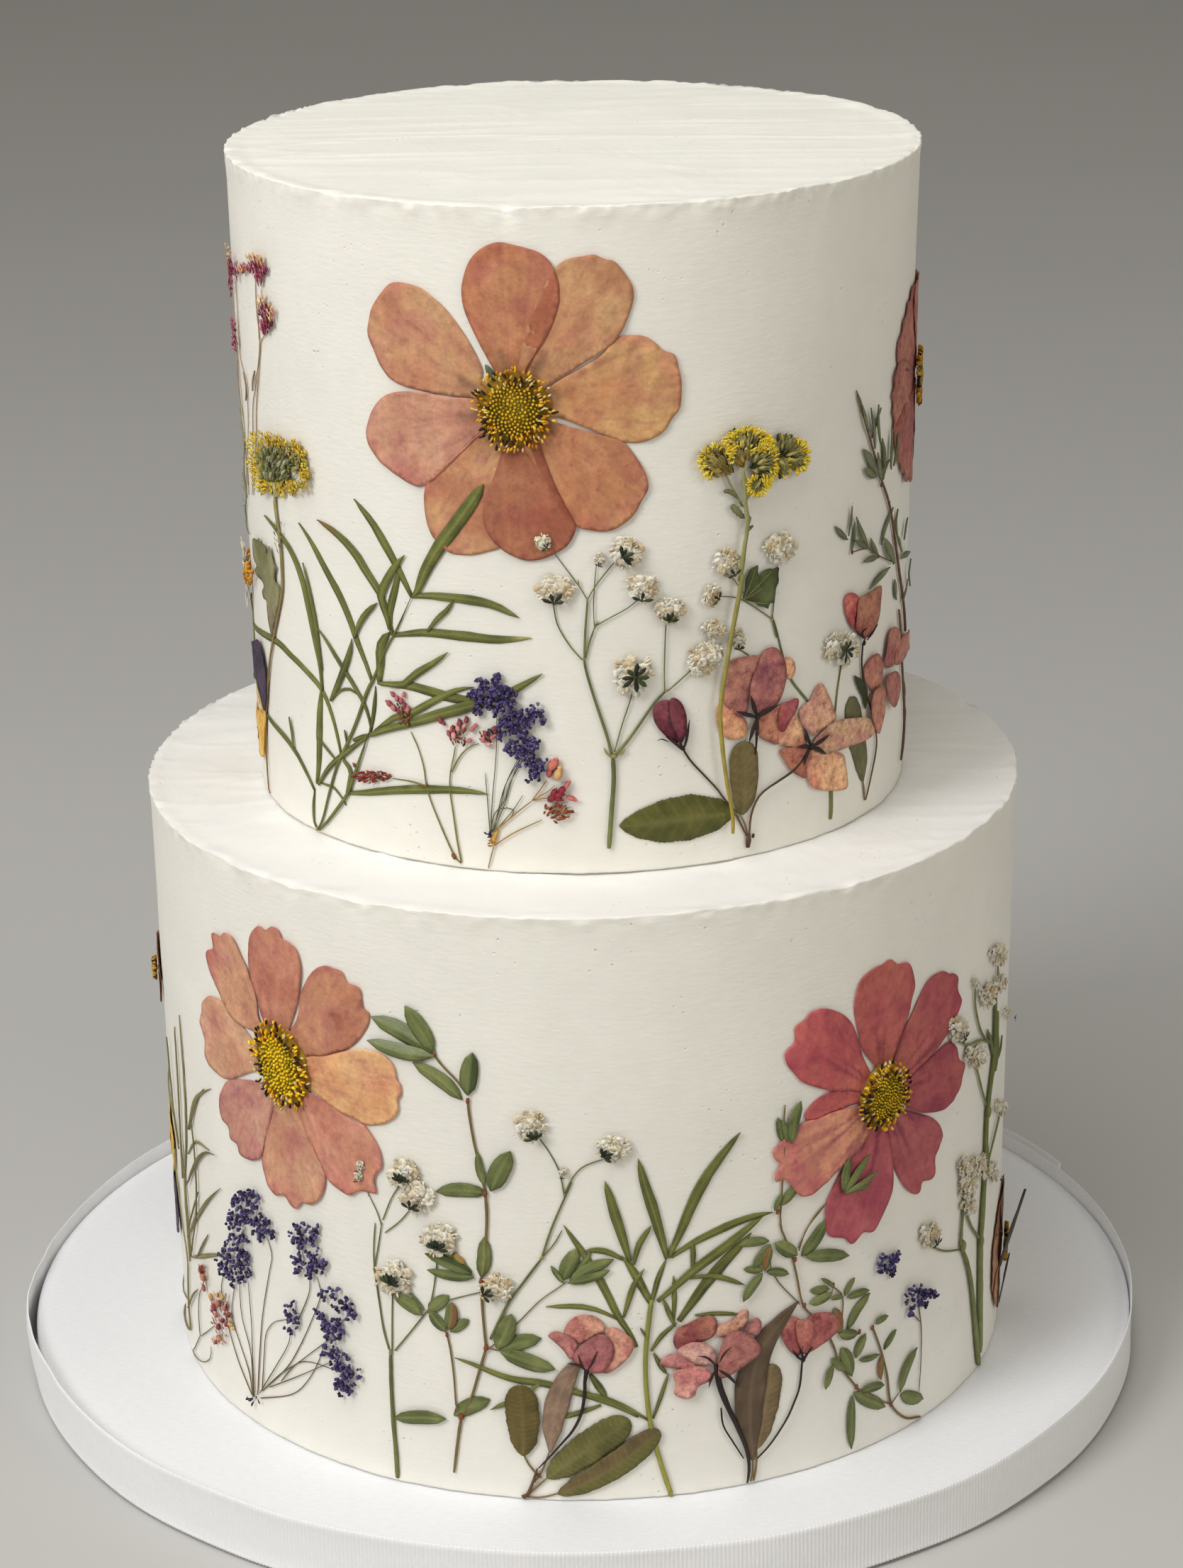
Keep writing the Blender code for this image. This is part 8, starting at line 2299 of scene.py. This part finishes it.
    # baby's breath, middle
    B = Build()
    for i, (V, pts, a, b) in enumerate((
            (V12, [(735, 645), (762, 590), (830, 455), (920, 330), (1010, 212)], 18, 14),
            (V12, [(1010, 210), (1060, 60), (1110, -60), (1172, -200)], 14, 10),
            (V11, [(1105, 1142), (1080, 1020), (1030, 920), (970, 832)], 9, 7),
            (V11, [(1105, 1140), (1150, 1050), (1210, 988), (1330, 944)], 9, 7),
            (V12, [(1020, 200), (1080, 130), (1120, 60)], 9, 7))):
        stem(B, LOWER, V, pts, a, b, g0, g1, 0.0003, seed=i + 13)
    knot(B, LOWER, V12, 1012, 206, 22, srgb(150, 138, 84), 0.0004, turn=60)
    knot(B, LOWER, V11, 1106, 1140, 15, srgb(150, 138, 84), 0.0004, turn=80)
    gyp_head(B, LOWER, V11, 928, 768, 88, 82, 5, 391, (962, 824), 0.25)
    gyp_head(B, LOWER, V13, 392, 265, 112, 92, 5, 392, (318, 300), 0.3)
    gyp_head(B, LOWER, V11, 1100, 1012, 26, 24, 3, 393, (1096, 1034), 0.0)
    finish_piece(B, "gypsophila_lower_mid_spray", "gypsophila_lower_mid")


def lower_right():
    V14 = View(LOWER, 700, 1800, 3.92)
    V16 = View(LOWER, 1000, 1680, 3.4844)
    V30 = View(LOWER, 1080, 1520, 6.532)
    V28 = View(LOWER, 1300, 1300, 2.376)
    blk, blk2 = srgb(30, 22, 20), srgb(52, 36, 30)

    def leafp(name, node, pts, w, c0, c1, prof, seed, w0, veins=13, teeth=0, tooth=0.0, half=None, pet=None):
        B = Build()
        blade(B, LOWER, V14, pts, w, c0, c1, w0, prof, seed, 9, 0.38, veins, teeth, tooth, camber=0.00028, rag=0.02,
              wav=0.0002, half=half, n=max(26, teeth * 8))
        if pet:
            stem(B, LOWER, V14, pet, 14, 11, srgb(120, 96, 60), srgb(136, 116, 76), 0.0004, seed=seed)
        finish_piece(B, name, node)

    leafp("leaf_lower_olive_mid_blade", "leaf_lower_olive_mid", [(152, 985), (154, 880), (146, 740), (133, 598)],
          196, srgb(78, 69, 28), srgb(110, 94, 46), "blunt", 401, 0.0007, 15, 8, 0.06,
          pet=[(250, 1112), (205, 1070), (170, 1020), (152, 975)])
    leafp("leaf_lower_purple_mid_blade", "leaf_lower_purple_mid", [(300, 965), (316, 800), (354, 650), (414, 520),
                                                                                (504, 416)], 146, srgb(114, 90, 76),
          srgb(152, 126, 102), "lance", 402, 0.0006, 17, pet=[(228, 1120), (262, 1060), (300, 955)])
    leafp("leaf_lower_green_blade", "leaf_lower_green", [(284, 1112), (420, 1012), (580, 900), (734, 788)], 206,
          srgb(80, 80, 36), srgb(112, 106, 56), "blunt", 403, 0.0004, 19, 11, 0.07,
          pet=[(172, 1212), (220, 1170), (290, 1106)])
    leafp("leaf_lower_long_blade", "leaf_lower_long", [(345, 1198), (520, 1122), (700, 1012), (830, 905),
                                                                    (902, 846)], 166, srgb(82, 69, 41), srgb(110, 93, 56),
          "blunt", 404, 0.0007, 19, 12, 0.05, half=srgb(100, 96, 44),
          pet=[(158, 1244), (250, 1222), (350, 1196)])
    leafp("leaf_lower_brown_right_blade", "leaf_lower_brown_right", [(1438, 955), (1456, 870), (1474, 780),
                                                                                  (1522, 486)], 184, srgb(102, 85, 54),
          srgb(136, 115, 78), "blunt", 405, 0.0002, 13, 8, 0.05, pet=[(1420, 1130), (1436, 1040), (1438, 945)])
    leafp("leaf_lower_purple_right_blade", "leaf_lower_purple_right", [(1416, 1010), (1398, 830), (1404, 600),
                                                                                    (1460, 400), (1560, 256), (1668, 134)],
          200, srgb(76, 60, 44), srgb(108, 88, 66), "lance", 406, 0.0006, 23, pet=[(1404, 1150), (1416, 1080), (1416, 1000)])

    mix1 = [srgb(224, 164, 138), srgb(186, 110, 106), srgb(232, 182, 152)]
    plum = [srgb(182, 110, 110), srgb(140, 72, 84), srgb(208, 144, 130)]
    B = Build()
    petal(B, LOWER, V14, [(372, 305), (400, 252), (450, 215), (520, 212), (578, 240), (604, 290), (560, 322), (500, 352),
                          (455, 372), (425, 345), (385, 322)], mix1, 0.0003, 411, (500, 520), mauve=0.5)
    petal(B, LOWER, V14, [(288, 325), (330, 298), (380, 318), (430, 345), (452, 380), (442, 425), (412, 455), (368, 400),
                          (315, 352)], plum, 0.0003, 412, (500, 520), mauve=0.4)
    petal(B, LOWER, V14, [(598, 292), (650, 274), (700, 298), (752, 340), (762, 382), (730, 442), (680, 492), (620, 527),
                          (578, 520), (600, 450), (636, 380), (618, 330)], mix1, 0.0005, 413, (500, 520), mauve=0.6)
    petal(B, LOWER, V14, [(424, 430), (455, 386), (500, 350), (570, 312), (622, 333), (652, 390), (642, 452), (600, 512),
                          (560, 526), (500, 512), (448, 472)], plum, 0.0007, 414, (500, 520), mauve=0.4)
    for pts, w in (([(500, 512), (456, 480), (396, 470)], 16), ([(500, 515), (530, 470), (560, 400)], 12),
                   ([(496, 520), (470, 470), (452, 420)], 12)):
        blade(B, LOWER, V14, pts, w, blk, blk2, 0.0012, "lance", 60, 5, 0)
    stem(B, LOWER, V14, [(502, 512), (490, 570), (488, 650), (468, 760), (422, 850), (380, 900), (300, 990), (236, 1056)], 26,
         10, blk, blk2, 0.0007, seed=31, flat=0.6)
    knot(B, LOWER, V14, 500, 520, 34, blk, 0.0009, turn=80)
    br = srgb(108, 78, 50)
    stem(B, LOWER, V14, [(146, 1250), (170, 1210), (200, 1150), (230, 1060)], 24, 14, br, srgb(84, 58, 38), 0.0005, seed=9)
    for x, y in ((172, 1206), (160, 1244), (236, 1100), (216, 1124)):
        knot(B, LOWER, V14, x, y, 22, srgb(98, 66, 40), 0.0006, turn=60)
    finish_piece(B, "crabapple_lower_mid_flower", "crabapple_lower_mid")

    B = Build()
    q = [
        ([(978, 345), (1000, 290), (1060, 260), (1120, 230), (1180, 214), (1222, 250), (1202, 330), (1130, 362), (1060, 382),
          (1008, 402), (984, 386)], [srgb(178, 112, 96), srgb(140, 74, 72), srgb(202, 138, 114)]),
        ([(1226, 272), (1300, 240), (1350, 190), (1392, 188), (1384, 260), (1330, 302), (1262, 332), (1220, 330)], mix1),
        ([(902, 472), (930, 438), (990, 418), (1060, 448), (1102, 490), (1060, 512), (980, 502), (918, 492)],
         [srgb(216, 148, 138), srgb(184, 104, 108), srgb(230, 178, 162)]),
        ([(1006, 394), (1080, 358), (1160, 368), (1212, 420), (1204, 482), (1120, 484), (1050, 452), (1002, 424)],
         [srgb(228, 168, 156), srgb(190, 112, 114), srgb(238, 194, 180)]),
        ([(972, 524), (1040, 498), (1100, 488), (1172, 508), (1192, 560), (1112, 602), (1092, 652), (1040, 668), (978, 642),
          (988, 590)], [srgb(232, 162, 150), srgb(198, 116, 116), srgb(238, 180, 162)]),
        ([(1366, 284), (1396, 250), (1430, 218), (1458, 250), (1442, 312), (1398, 314)], plum),
        ([(1218, 502), (1228, 400), (1268, 310), (1330, 288), (1402, 320), (1452, 380), (1442, 424), (1380, 472), (1312, 522),
          (1252, 552), (1222, 542)], [srgb(180, 116, 108), srgb(142, 76, 82), srgb(200, 140, 122)])]
    for i, (pts, pal) in enumerate(q):
        petal(B, LOWER, V14, pts, pal, 0.0002 + 0.00014 * i, 421 + i, (1210, 500), mauve=0.6)
    for pts, w in (([(1212, 492), (1180, 560), (1168, 604)], 16), ([(1214, 500), (1280, 545), (1334, 604)], 20),
                   ([(1212, 492), (1206, 520), (1204, 552)], 14), ([(1210, 486), (1160, 440), (1110, 430)], 14),
                   ([(1214, 484), (1250, 420), (1290, 380)], 14)):
        blade(B, LOWER, V14, pts, w, blk, blk2, 0.0014, "lance", 60, 5, 0)
    stem(B, LOWER, V14, [(1212, 486), (1230, 600), (1276, 720), (1330, 832), (1380, 960), (1392, 1060), (1382, 1164)], 44, 18,
         blk, blk2, 0.0008, seed=33, flat=0.5)
    stem(B, LOWER, V14, [(1240, 724), (1252, 822), (1310, 920), (1364, 1004)], 12, 10, blk, blk2, 0.0006, seed=34)
    finish_piece(B, "crabapple_lower_right_flower", "crabapple_lower_right")

    B = Build()
    bud = [srgb(196, 118, 110), srgb(160, 80, 84), srgb(214, 146, 126)]
    petal(B, LOWER, V16, [(338, 642), (358, 622), (382, 610), (440, 624), (466, 660), (458, 740), (442, 802), (400, 792),
                          (360, 732)], bud, 0.0003, 431, (455, 810), mauve=0.5, vein=0.2)
    petal(B, LOWER, V16, [(464, 662), (500, 602), (560, 590), (612, 600), (638, 642), (620, 692), (560, 742), (500, 782),
                          (460, 796), (448, 742)], bud, 0.0005, 432, (455, 810), mauve=0.5, vein=0.2)
    petal(B, LOWER, V16, [(420, 640), (462, 622), (505, 640), (500, 720), (466, 790), (430, 740)], bud, 0.0008, 433,
          (455, 810), mauve=0.5, vein=0.2)
    for pts, w in (([(455, 832), (420, 800), (402, 770)], 15), ([(456, 832), (470, 796), (500, 760)], 16),
                   ([(455, 832), (448, 790), (450, 750)], 14)):
        blade(B, LOWER, V16, pts, w, blk, blk2, 0.0011, "lance", 60, 5, 0)
    knot(B, LOWER, V16, 456, 822, 26, blk, 0.0008, turn=90)
    stem(B, LOWER, V16, [(455, 832), (442, 960), (410, 1050), (376, 1124), (300, 1240), (234, 1312)], 13, 11, blk, blk2,
         0.0005, seed=35)
    finish_piece(B, "crabapple_bud_lower_petals", "crabapple_bud_lower")

    # sprig with oval leaves, right
    B = Build()
    sb = srgb(118, 92, 54)
    for i, (V, pts, w) in enumerate((
            (V30, [(130, 1290), (142, 1120), (152, 950), (166, 720), (166, 600), (166, 380), (176, 250)], 20),
            (V16, [(350, 130), (352, 180), (372, 230), (410, 330)], 13),
            (V16, [(410, 332), (430, 420), (460, 560), (520, 622), (572, 682)], 13),
            (V16, [(572, 684), (610, 762), (650, 870), (722, 962)], 14),
            (V16, [(722, 962), (780, 1010), (890, 1045)], 12),
            (V16, [(1032, 1172), (960, 1112), (892, 1046), (872, 900), (842, 780), (800, 662)], 15),
            (V16, [(440, 292), (480, 182), (570, 66)], 9), (V30, [(300, 1568), (334, 1480), (430, 1300), (550, 1160), (704, 1046)], 14),
            (V16, [(302, 372), (342, 450), (444, 555)], 9), (V16, [(610, 470), (655, 520), (650, 640), (642, 704)], 9),
            (V16, [(892, 1046), (912, 1018), (932, 988)], 9), (V16, [(300, 268), (300, 320), (302, 372)], 8),
            (V16, [(600, 500), (606, 480), (612, 470)], 7))):
        stem(B, LOWER, V, pts, w, w * 0.85, sb, srgb(116, 100, 62), 0.0004, seed=i + 51)
    for x, y in ((465, 560), (605, 460), (800, 670), (720, 960), (890, 1045), (420, 335), (335, 100), (735, 690)):
        knot(B, LOWER, V16, x, y, 22, srgb(140, 78, 38), 0.0005, turn=80)
    rust = srgb(140, 92, 50)
    leaflets(B, LOWER, V30, [((150, 590), (110, 365), 76), ((190, 590), (155, 390), 62), ((230, 600), (315, 205), 116),
                             ((130, 1180), (320, 930), 100), ((140, 1070), (75, 1220), 60)], OG0, OG1, 0.0005, 440, veins=9)
    leaflets(B, LOWER, V30, [((705, 1045), (750, 730), 106), ((705, 1045), (935, 690), 88), ((705, 1045), (1000, 845), 66),
                             ((705, 1045), (935, 990), 70)], OG0 * 0.9, OG1, 0.0012, 450, veins=9)
    leaflets(B, LOWER, V16, [
        ((455, 320), (575, 140), 76), ((470, 320), (685, 315), 72), ((430, 310), (320, 250), 76), ((295, 245), (145, 265), 52),
        ((300, 260), (215, 370), 66), ((300, 270), (270, 390), 46), ((265, 390), (170, 385), 42), ((280, 395), (390, 405), 46),
        ((260, 400), (165, 540), 56), ((590, 480), (495, 490), 46), ((600, 500), (490, 550), 56), ((610, 470), (545, 425), 24),
        ((665, 515), (715, 425), 36), ((675, 520), (785, 485), 46), ((655, 515), (590, 525), 32), ((680, 680), (790, 500), 62),
        ((640, 700), (615, 570), 62), ((635, 700), (725, 700), 62), ((650, 770), (700, 910), 76), ((600, 820), (670, 880), 46),
        ((600, 850), (565, 970), 46), ((720, 820), (770, 700), 62), ((735, 830), (835, 800), 36), ((810, 650), (875, 610), 42),
        ((860, 780), (920, 680), 40), ((850, 800), (840, 925), 42), ((745, 980), (855, 950), 56), ((710, 990), (865, 1060), 76),
        ((700, 1000), (695, 1265), 56), ((930, 985), (1015, 765), 62), ((940, 1000), (1050, 1020), 76)], OG0, OG1, 0.0004, 460,
        veins=9, halves=(None, None, OG1, None, None, rust, None, None, None, None, OG1, None, None, None, None, None, rust,
                         None, None, None, None, OG1, None, None, None, rust))
    finish_piece(B, "oval_leaf_sprig_lower_right_leaves", "oval_leaf_sprig_lower_right")

    B = Build()
    for i, pts in enumerate(([(1028, 550), (1042, 680), (1040, 820), (1030, 985)], [(880, 380), (892, 410), (886, 432)],
                             [(1034, 640), (1000, 600), (985, 560)])):
        stem(B, LOWER, V16, pts, 9, 5, srgb(108, 92, 56), srgb(70, 60, 46), 0.0004, seed=i + 71)
    for i, (cx, cy, rx, ry) in enumerate(((870, 360, 46, 52), (1020, 500, 56, 36), (1075, 496, 30, 26), (980, 575, 20, 44),
                                          (905, 320, 24, 30), (1040, 540, 24, 24))):
        lace_head(B, LOWER, V16, cx, cy, rx, ry, 480 + i, w0=0.0006)
    finish_piece(B, "lace_lower_right_umbels", "lace_lower_right")

    B = Build()
    g0, g1 = srgb(112, 116, 66), srgb(92, 94, 50)
    g0, g1 = srgb(126, 132, 82), srgb(104, 110, 62)
    for i, (pts, a, b) in enumerate((([(183, 1500), (180, 1440), (156, 1190), (126, 1082)], 28, 18),
                                     ([(186, 1440), (190, 1100), (196, 1000), (206, 820), (212, 640), (236, 430), (241, 250)],
                                      34, 20),
                                     ([(126, 1084), (132, 990), (140, 900)], 16, 12),
                                     ([(120, 400), (150, 412), (190, 396), (222, 404)], 9, 9),
                                     ([(175, 225), (176, 290), (195, 370), (228, 412)], 10, 10),
                                     ([(178, 490), (195, 560), (212, 622)], 10, 10), ([(255, 640), (232, 740), (210, 832)], 12, 10),
                                     ([(25, 1085), (70, 1103), (126, 1098)], 9, 8), ([(140, 960), (162, 1020), (192, 1066)], 12, 12),
                                     ([(250, 150), (250, 200), (243, 260)], 10, 10), ([(232, 870), (222, 830), (214, 740)], 10, 10),
                                     ([(250, 300), (246, 420), (232, 520)], 14, 12))):
        stem(B, LOWER, V28, pts, a, b, g0, g1, 0.0005, seed=i + 81)
    for x, y in ((200, 830), (212, 636), (190, 1070), (130, 1086)):
        knot(B, LOWER, V28, x, y, 34, srgb(140, 140, 88), 0.0006, turn=90)
    for i, (cx, cy, rx, ry) in enumerate(((252, 111, 36, 45), (174, 205, 14, 20), (255, 202, 30, 36), (214, 244, 34, 50),
                                          (116, 359, 40, 48), (175, 446, 44, 50), (255, 620, 26, 36), (276, 306, 18, 24),
                                          (137, 822, 28, 44), (185, 822, 44, 50), (231, 836, 24, 42), (147, 886, 36, 48),
                                          (150, 948, 32, 40), (22, 1045, 40, 48))):
        gyp_head(B, LOWER, V28, cx, cy, rx, ry, 4 if i % 3 == 1 else 0, 490 + i,
                 (cx + 4, cy + 0.6 * ry) if i % 3 == 1 else None, 0.3)
    for pts in ([(240, 500), (252, 430), (246, 350)], [(236, 460), (226, 400), (214, 360)], [(240, 470), (258, 430), (262, 380)]):
        blade(B, LOWER, V28, pts, 30, OG0, OG1, 0.0006, "lance", 503, 5, 0.2)
    finish_piece(B, "gypsophila_lower_right_spray", "gypsophila_lower_right")

    # right edge: mottled flower, dark leaf standing off
    B = Build()
    V = Place(LOWER, 81.5, 0.0210)
    small_flower(B, LOWER, V, 17.0, [srgb(170, 112, 80), srgb(128, 84, 56), srgb(206, 158, 124)], 511, 8, 0.40, mauve=0.8,
                 sp=0.0011)
    finish_piece(B, "mottled_flower_lower_right", "flower_edge_lower_right")
    B = Build()
    V = Place(LOWER, 78.6, 0.0190)
    blade(B, LOWER, V, [(-3.0, -1.0), (-1.0, 6.0), (1.5, 12.0), (3.2, 17.5)], 8.4, srgb(42, 38, 28), srgb(66, 60, 40), 0.0008,
          "oval", 512, 9, 0.3, 9, rise=0.0052, camber=0.0004)
    blade(B, LOWER, V, [(3.0, -14.0), (4.0, -7.0), (4.5, -1.0)], 6.0, srgb(46, 38, 30), srgb(74, 60, 40), 0.0008,
          "oval", 513, 7, 0.3, 7, rise=0.002)
    stem(B, LOWER, V, [(-3.2, -12.0), (-3.4, -6.0), (-3.0, -0.5)], 1.0, 0.8, srgb(70, 56, 36), None, 0.0008, seed=5)
    finish_piece(B, "dark_leaf_lower_right", "leaf_edge_lower_right")
    B = Build()
    e = LOWER.spot(np.array([1426.0]), np.array([1606.0]))[0]
    V = Place(LOWER, math.degrees(e[0] / LOWER.mean) + 4.0, e[1] - LOWER.foot)
    petal(B, LOWER, V, [(-7, -6), (-5, 1), (-2, 6), (3, 8), (8, 6), (9, 0), (6, -6), (0, -9)],
          [srgb(206, 150, 118), srgb(176, 110, 84), srgb(150, 86, 70)], 0.0009, 514, (0, -12), mauve=0.4, curl=0.0012,
          spacing=0.001)
    petal(B, LOWER, V, [(-6, -26), (-4, -18), (0, -14), (5, -16), (6, -24), (0, -28)],
          [srgb(116, 44, 48), srgb(146, 66, 60)], 0.0006, 515, (0, -12), mauve=0.4, curl=0.0008, spacing=0.001)
    finish_piece(B, "loose_petals_lower_right", None)


# ============================================================ right edge and back
def upper_edge_and_back():
    B = Build()
    V = Place(UPPER, 82.5, 0.0963)
    small_flower(B, UPPER, V, 24.5, [srgb(176, 112, 98), srgb(158, 88, 86), srgb(192, 134, 110)], 601, 8, 0.40, sp=0.0014,
                 beads=90, mauve=0.8)
    finish_piece(B, "cosmos_upper_right_petals", "cosmos_upper_right")

    rosy = [srgb(166, 94, 92), srgb(148, 72, 80), srgb(182, 114, 98)]
    salm = [srgb(200, 146, 116), srgb(186, 122, 98), srgb(206, 158, 122)]
    for name, tier, ang, hgt, R, pal, seed, turn in (
            ("cosmos_upper_back", UPPER, 182, 0.096, 35, rosy, 621, 11.5),
            ("cosmos_lower_back_left", LOWER, 238, 0.090, 35, salm, 641, 28.6),
            ("cosmos_lower_back_right", LOWER, 142, 0.084, 33, rosy, 661, 5.7)):
        B = Build()
        small_flower(B, tier, Place(tier, ang, hgt, turn), R, pal, seed, 8, 0.39, sp=0.0014, beads=90, mauve=0.7)
        finish_piece(B, name + "_petals", name)

    for name, tier, ang, hgt, h in (("cosmos_leaf_upper_back", UPPER, 150, 0.008, 82.0),
                                    ("cosmos_leaf_lower_back", LOWER, 205, 0.006, 88.0)):
        B = Build()
        V = Place(tier, ang, hgt)
        stem(B, tier, V, [(0, 0), (0.4, 0.14 * h), (0, 0.36 * h)], 1.7, 1.3, srgb(150, 146, 70), FG1, 0.0003, seed=3)
        k = 0
        for tipx, tipy, bx, by in ((-0.20, 1.0, 0, 0.35), (0.10, 1.02, 0, 0.35), (0.34, 0.84, 0, 0.35), (-0.34, 0.66, 0, 0.35),
                                   (0.36, 0.52, 0, 0.35), (-0.28, 0.34, 0, 0.12)):
            a, b = np.array([bx, by]) * h, np.array([tipx, tipy]) * h
            d = b - a
            sd = np.array([-d[1], d[0]]) / np.linalg.norm(d)
            main = [a + d * t + sd * (0.02 * h * math.sin(math.pi * t)) for t in (0, 0.33, 0.66, 1)]
            blade(B, tier, V, main, 2.0, FG0, FG1, 0.0003 + 0.0001 * (k % 3), "lobe", 700 + k, 7, 0.3, groove=0.00005)
            for t, s in ((0.35, 1), (0.5, -1), (0.64, 1), (0.78, -1)):
                o = a + d * t + sd * (0.02 * h * math.sin(math.pi * t))
                L = (0.15 - 0.08 * t) * h
                q = o + d / np.linalg.norm(d) * L * 0.86 + sd * s * L * 0.5
                blade(B, tier, V, [o, 0.5 * (o + q) + sd * s * 0.6, q], 1.5, FG0, FG1, 0.0003 + 0.0001 * (k % 3), "lobe",
                      720 + k, 5, 0.3)
                k += 1
        finish_piece(B, name + "_frond", name)

    B = Build()
    V = Place(UPPER, 225, 0.006)
    g0, g1 = srgb(118, 122, 72), srgb(92, 96, 52)
    h = 78.0
    stem(B, UPPER, V, [(0, 0), (0.5, 0.2 * h), (0, 0.46 * h)], 1.2, 0.9, g0, g1, 0.0003, seed=1)
    for i, (pts, r) in enumerate(((((0.0, 0.45), (-0.10, 0.72), (-0.14, 1.0)), 3.8), (((0.0, 0.45), (0.06, 0.7), (0.04, 0.93)),
                                  4.4), (((0.0, 0.45), (0.18, 0.66), (0.24, 0.84)), 4.2),
                                  (((0.0, 0.30), (-0.20, 0.52), (-0.26, 0.68)), 3.8))):
        p = [(x * h, y * h) for x, y in pts]
        stem(B, UPPER, V, p, 0.6, 0.4, g0, g1, 0.0003, seed=i + 2)
        gyp_head(B, UPPER, V, p[-1][0], p[-1][1], r, r, 6, 730 + i, (p[-1][0], p[-1][1] - 0.4 * r), 0.25)
    finish_piece(B, "gypsophila_upper_back_spray", "gypsophila_upper_back")

    B = Build()
    V = Place(UPPER, 122, 0.006)
    stem(B, UPPER, V, [(0, 0), (2, 45), (0, 92)], 1.7, 1.5, srgb(150, 128, 60), srgb(140, 136, 84), 0.0004, seed=2)
    yarrow_head(B, UPPER, V, 0, 96, 9.0, 8.0, (0, 88), 9, 1.4, 0.1, (0, 4.4))
    blade(B, UPPER, V, [(1.6, 30), (6, 38), (9, 48)], 3.2, OG0, OG1, 0.0004, "lance", 741, 7, 0.3, 7, 7, 0.4)
    blade(B, UPPER, V, [(1.8, 52), (-3, 60), (-6, 68)], 2.8, OG0, OG1, 0.0004, "lance", 742, 7, 0.3, 7, 7, 0.4)
    finish_piece(B, "yarrow_upper_back_head", "yarrow_upper_back")

    B = Build()
    V = Place(UPPER, 196, 0.006)
    stem(B, UPPER, V, [(0, 0), (6, 16), (10, 34)], 1.5, 0.9, srgb(104, 76, 50), srgb(40, 30, 26), 0.0005, seed=2)
    r = np.random.default_rng(3)
    pl = [srgb(206, 145, 118), srgb(196, 122, 108), srgb(180, 100, 98)]
    for i in range(5):
        a = 2 * math.pi * i / 5 + 0.5
        o = []
        for k, t in ((0.05, 0.12), (0.3, 0.7), (0.6, 1.0), (0.85, 0.85), (1.0, 0.35), (1.01, -0.2), (0.9, -0.8), (0.6, -1.0),
                     (0.3, -0.66), (0.05, -0.1)):
            o.append((10 + 14 * k * math.cos(a) - 6.2 * t * math.sin(a), 34 + 14 * k * math.sin(a) + 6.2 * t * math.cos(a)))
        petal(B, UPPER, V, o, pl, 0.0003 + 0.0001 * i, 751 + i, (10, 34), mauve=0.6)
        blade(B, UPPER, V, [(10, 34), (10 + 2.6 * math.cos(a), 34 + 2.6 * math.sin(a)),
                            (10 + 5.2 * math.cos(a), 34 + 5.2 * math.sin(a))], 1.1, srgb(34, 26, 24), srgb(54, 36, 32),
              0.0013, "lance", 760 + i, 5, 0)
    finish_piece(B, "crabapple_upper_back_flower", "crabapple_upper_back")

    B = Build()
    V = Place(LOWER, 171, 0.006)
    for i, pts in enumerate(([(0, 0), (-8, 30), (-14, 56)], [(0, 0), (2, 34), (2, 66)], [(0, 0), (9, 26), (16, 46)])):
        stem(B, LOWER, V, pts, 0.8, 0.5, srgb(96, 90, 52), srgb(72, 62, 42), 0.0004, seed=i)
    for i, (cx, cy, ry) in enumerate(((-14, 58, 7), (2, 68, 7), (16, 48, 5))):
        for dx, dy, rx_, ry_ in ((0, 0, 3.4, 3.4), (3.4, 1.6, 2.0, 2.2), (-3.4, 1.2, 2.0, 2.4), (0.5, 4.2, 2.6, 1.9),
                                 (0.8, -3.2, 2.2, 1.6)):
            lace_head(B, LOWER, V, cx + dx, cy + dy * ry / 7, rx_, ry_, 771 + i * 5 + int(dx), dens=0.45, w0=0.0006)
    finish_piece(B, "lace_lower_back_umbels", "lace_lower_back")

    B = Build()
    V = Place(LOWER, 112, 0.006)
    sway = lambda y: 2.0 * math.sin(y / 20.0)
    stem(B, LOWER, V, [(sway(y), y) for y in range(0, 105, 8)], 1.2, 0.6, srgb(116, 74, 42), srgb(122, 104, 62), 0.0004, seed=9)
    tab = []
    for i in range(1, 6):
        y = 18.0 * i
        for s in (-1, 1):
            tab.append(((sway(y), y), (sway(y) + s * 9.5, y + 4.0 + 1.5 * s), 4.2))
        knot(B, LOWER, V, sway(y), y, 1.3, srgb(128, 70, 34), 0.0005, turn=90)
    tab.append(((sway(98), 98), (1, 114), 4.4))
    leaflets(B, LOWER, V, tab, OG0, OG1, 0.0004, 781, veins=9)
    finish_piece(B, "oval_leaf_sprig_lower_back_leaves", "oval_leaf_sprig_lower_back")


upper_left()
upper_mid()
t6()
upper_right()
lower_left()
l5()
lower_mid()
lower_right()
l15()
upper_edge_and_back()
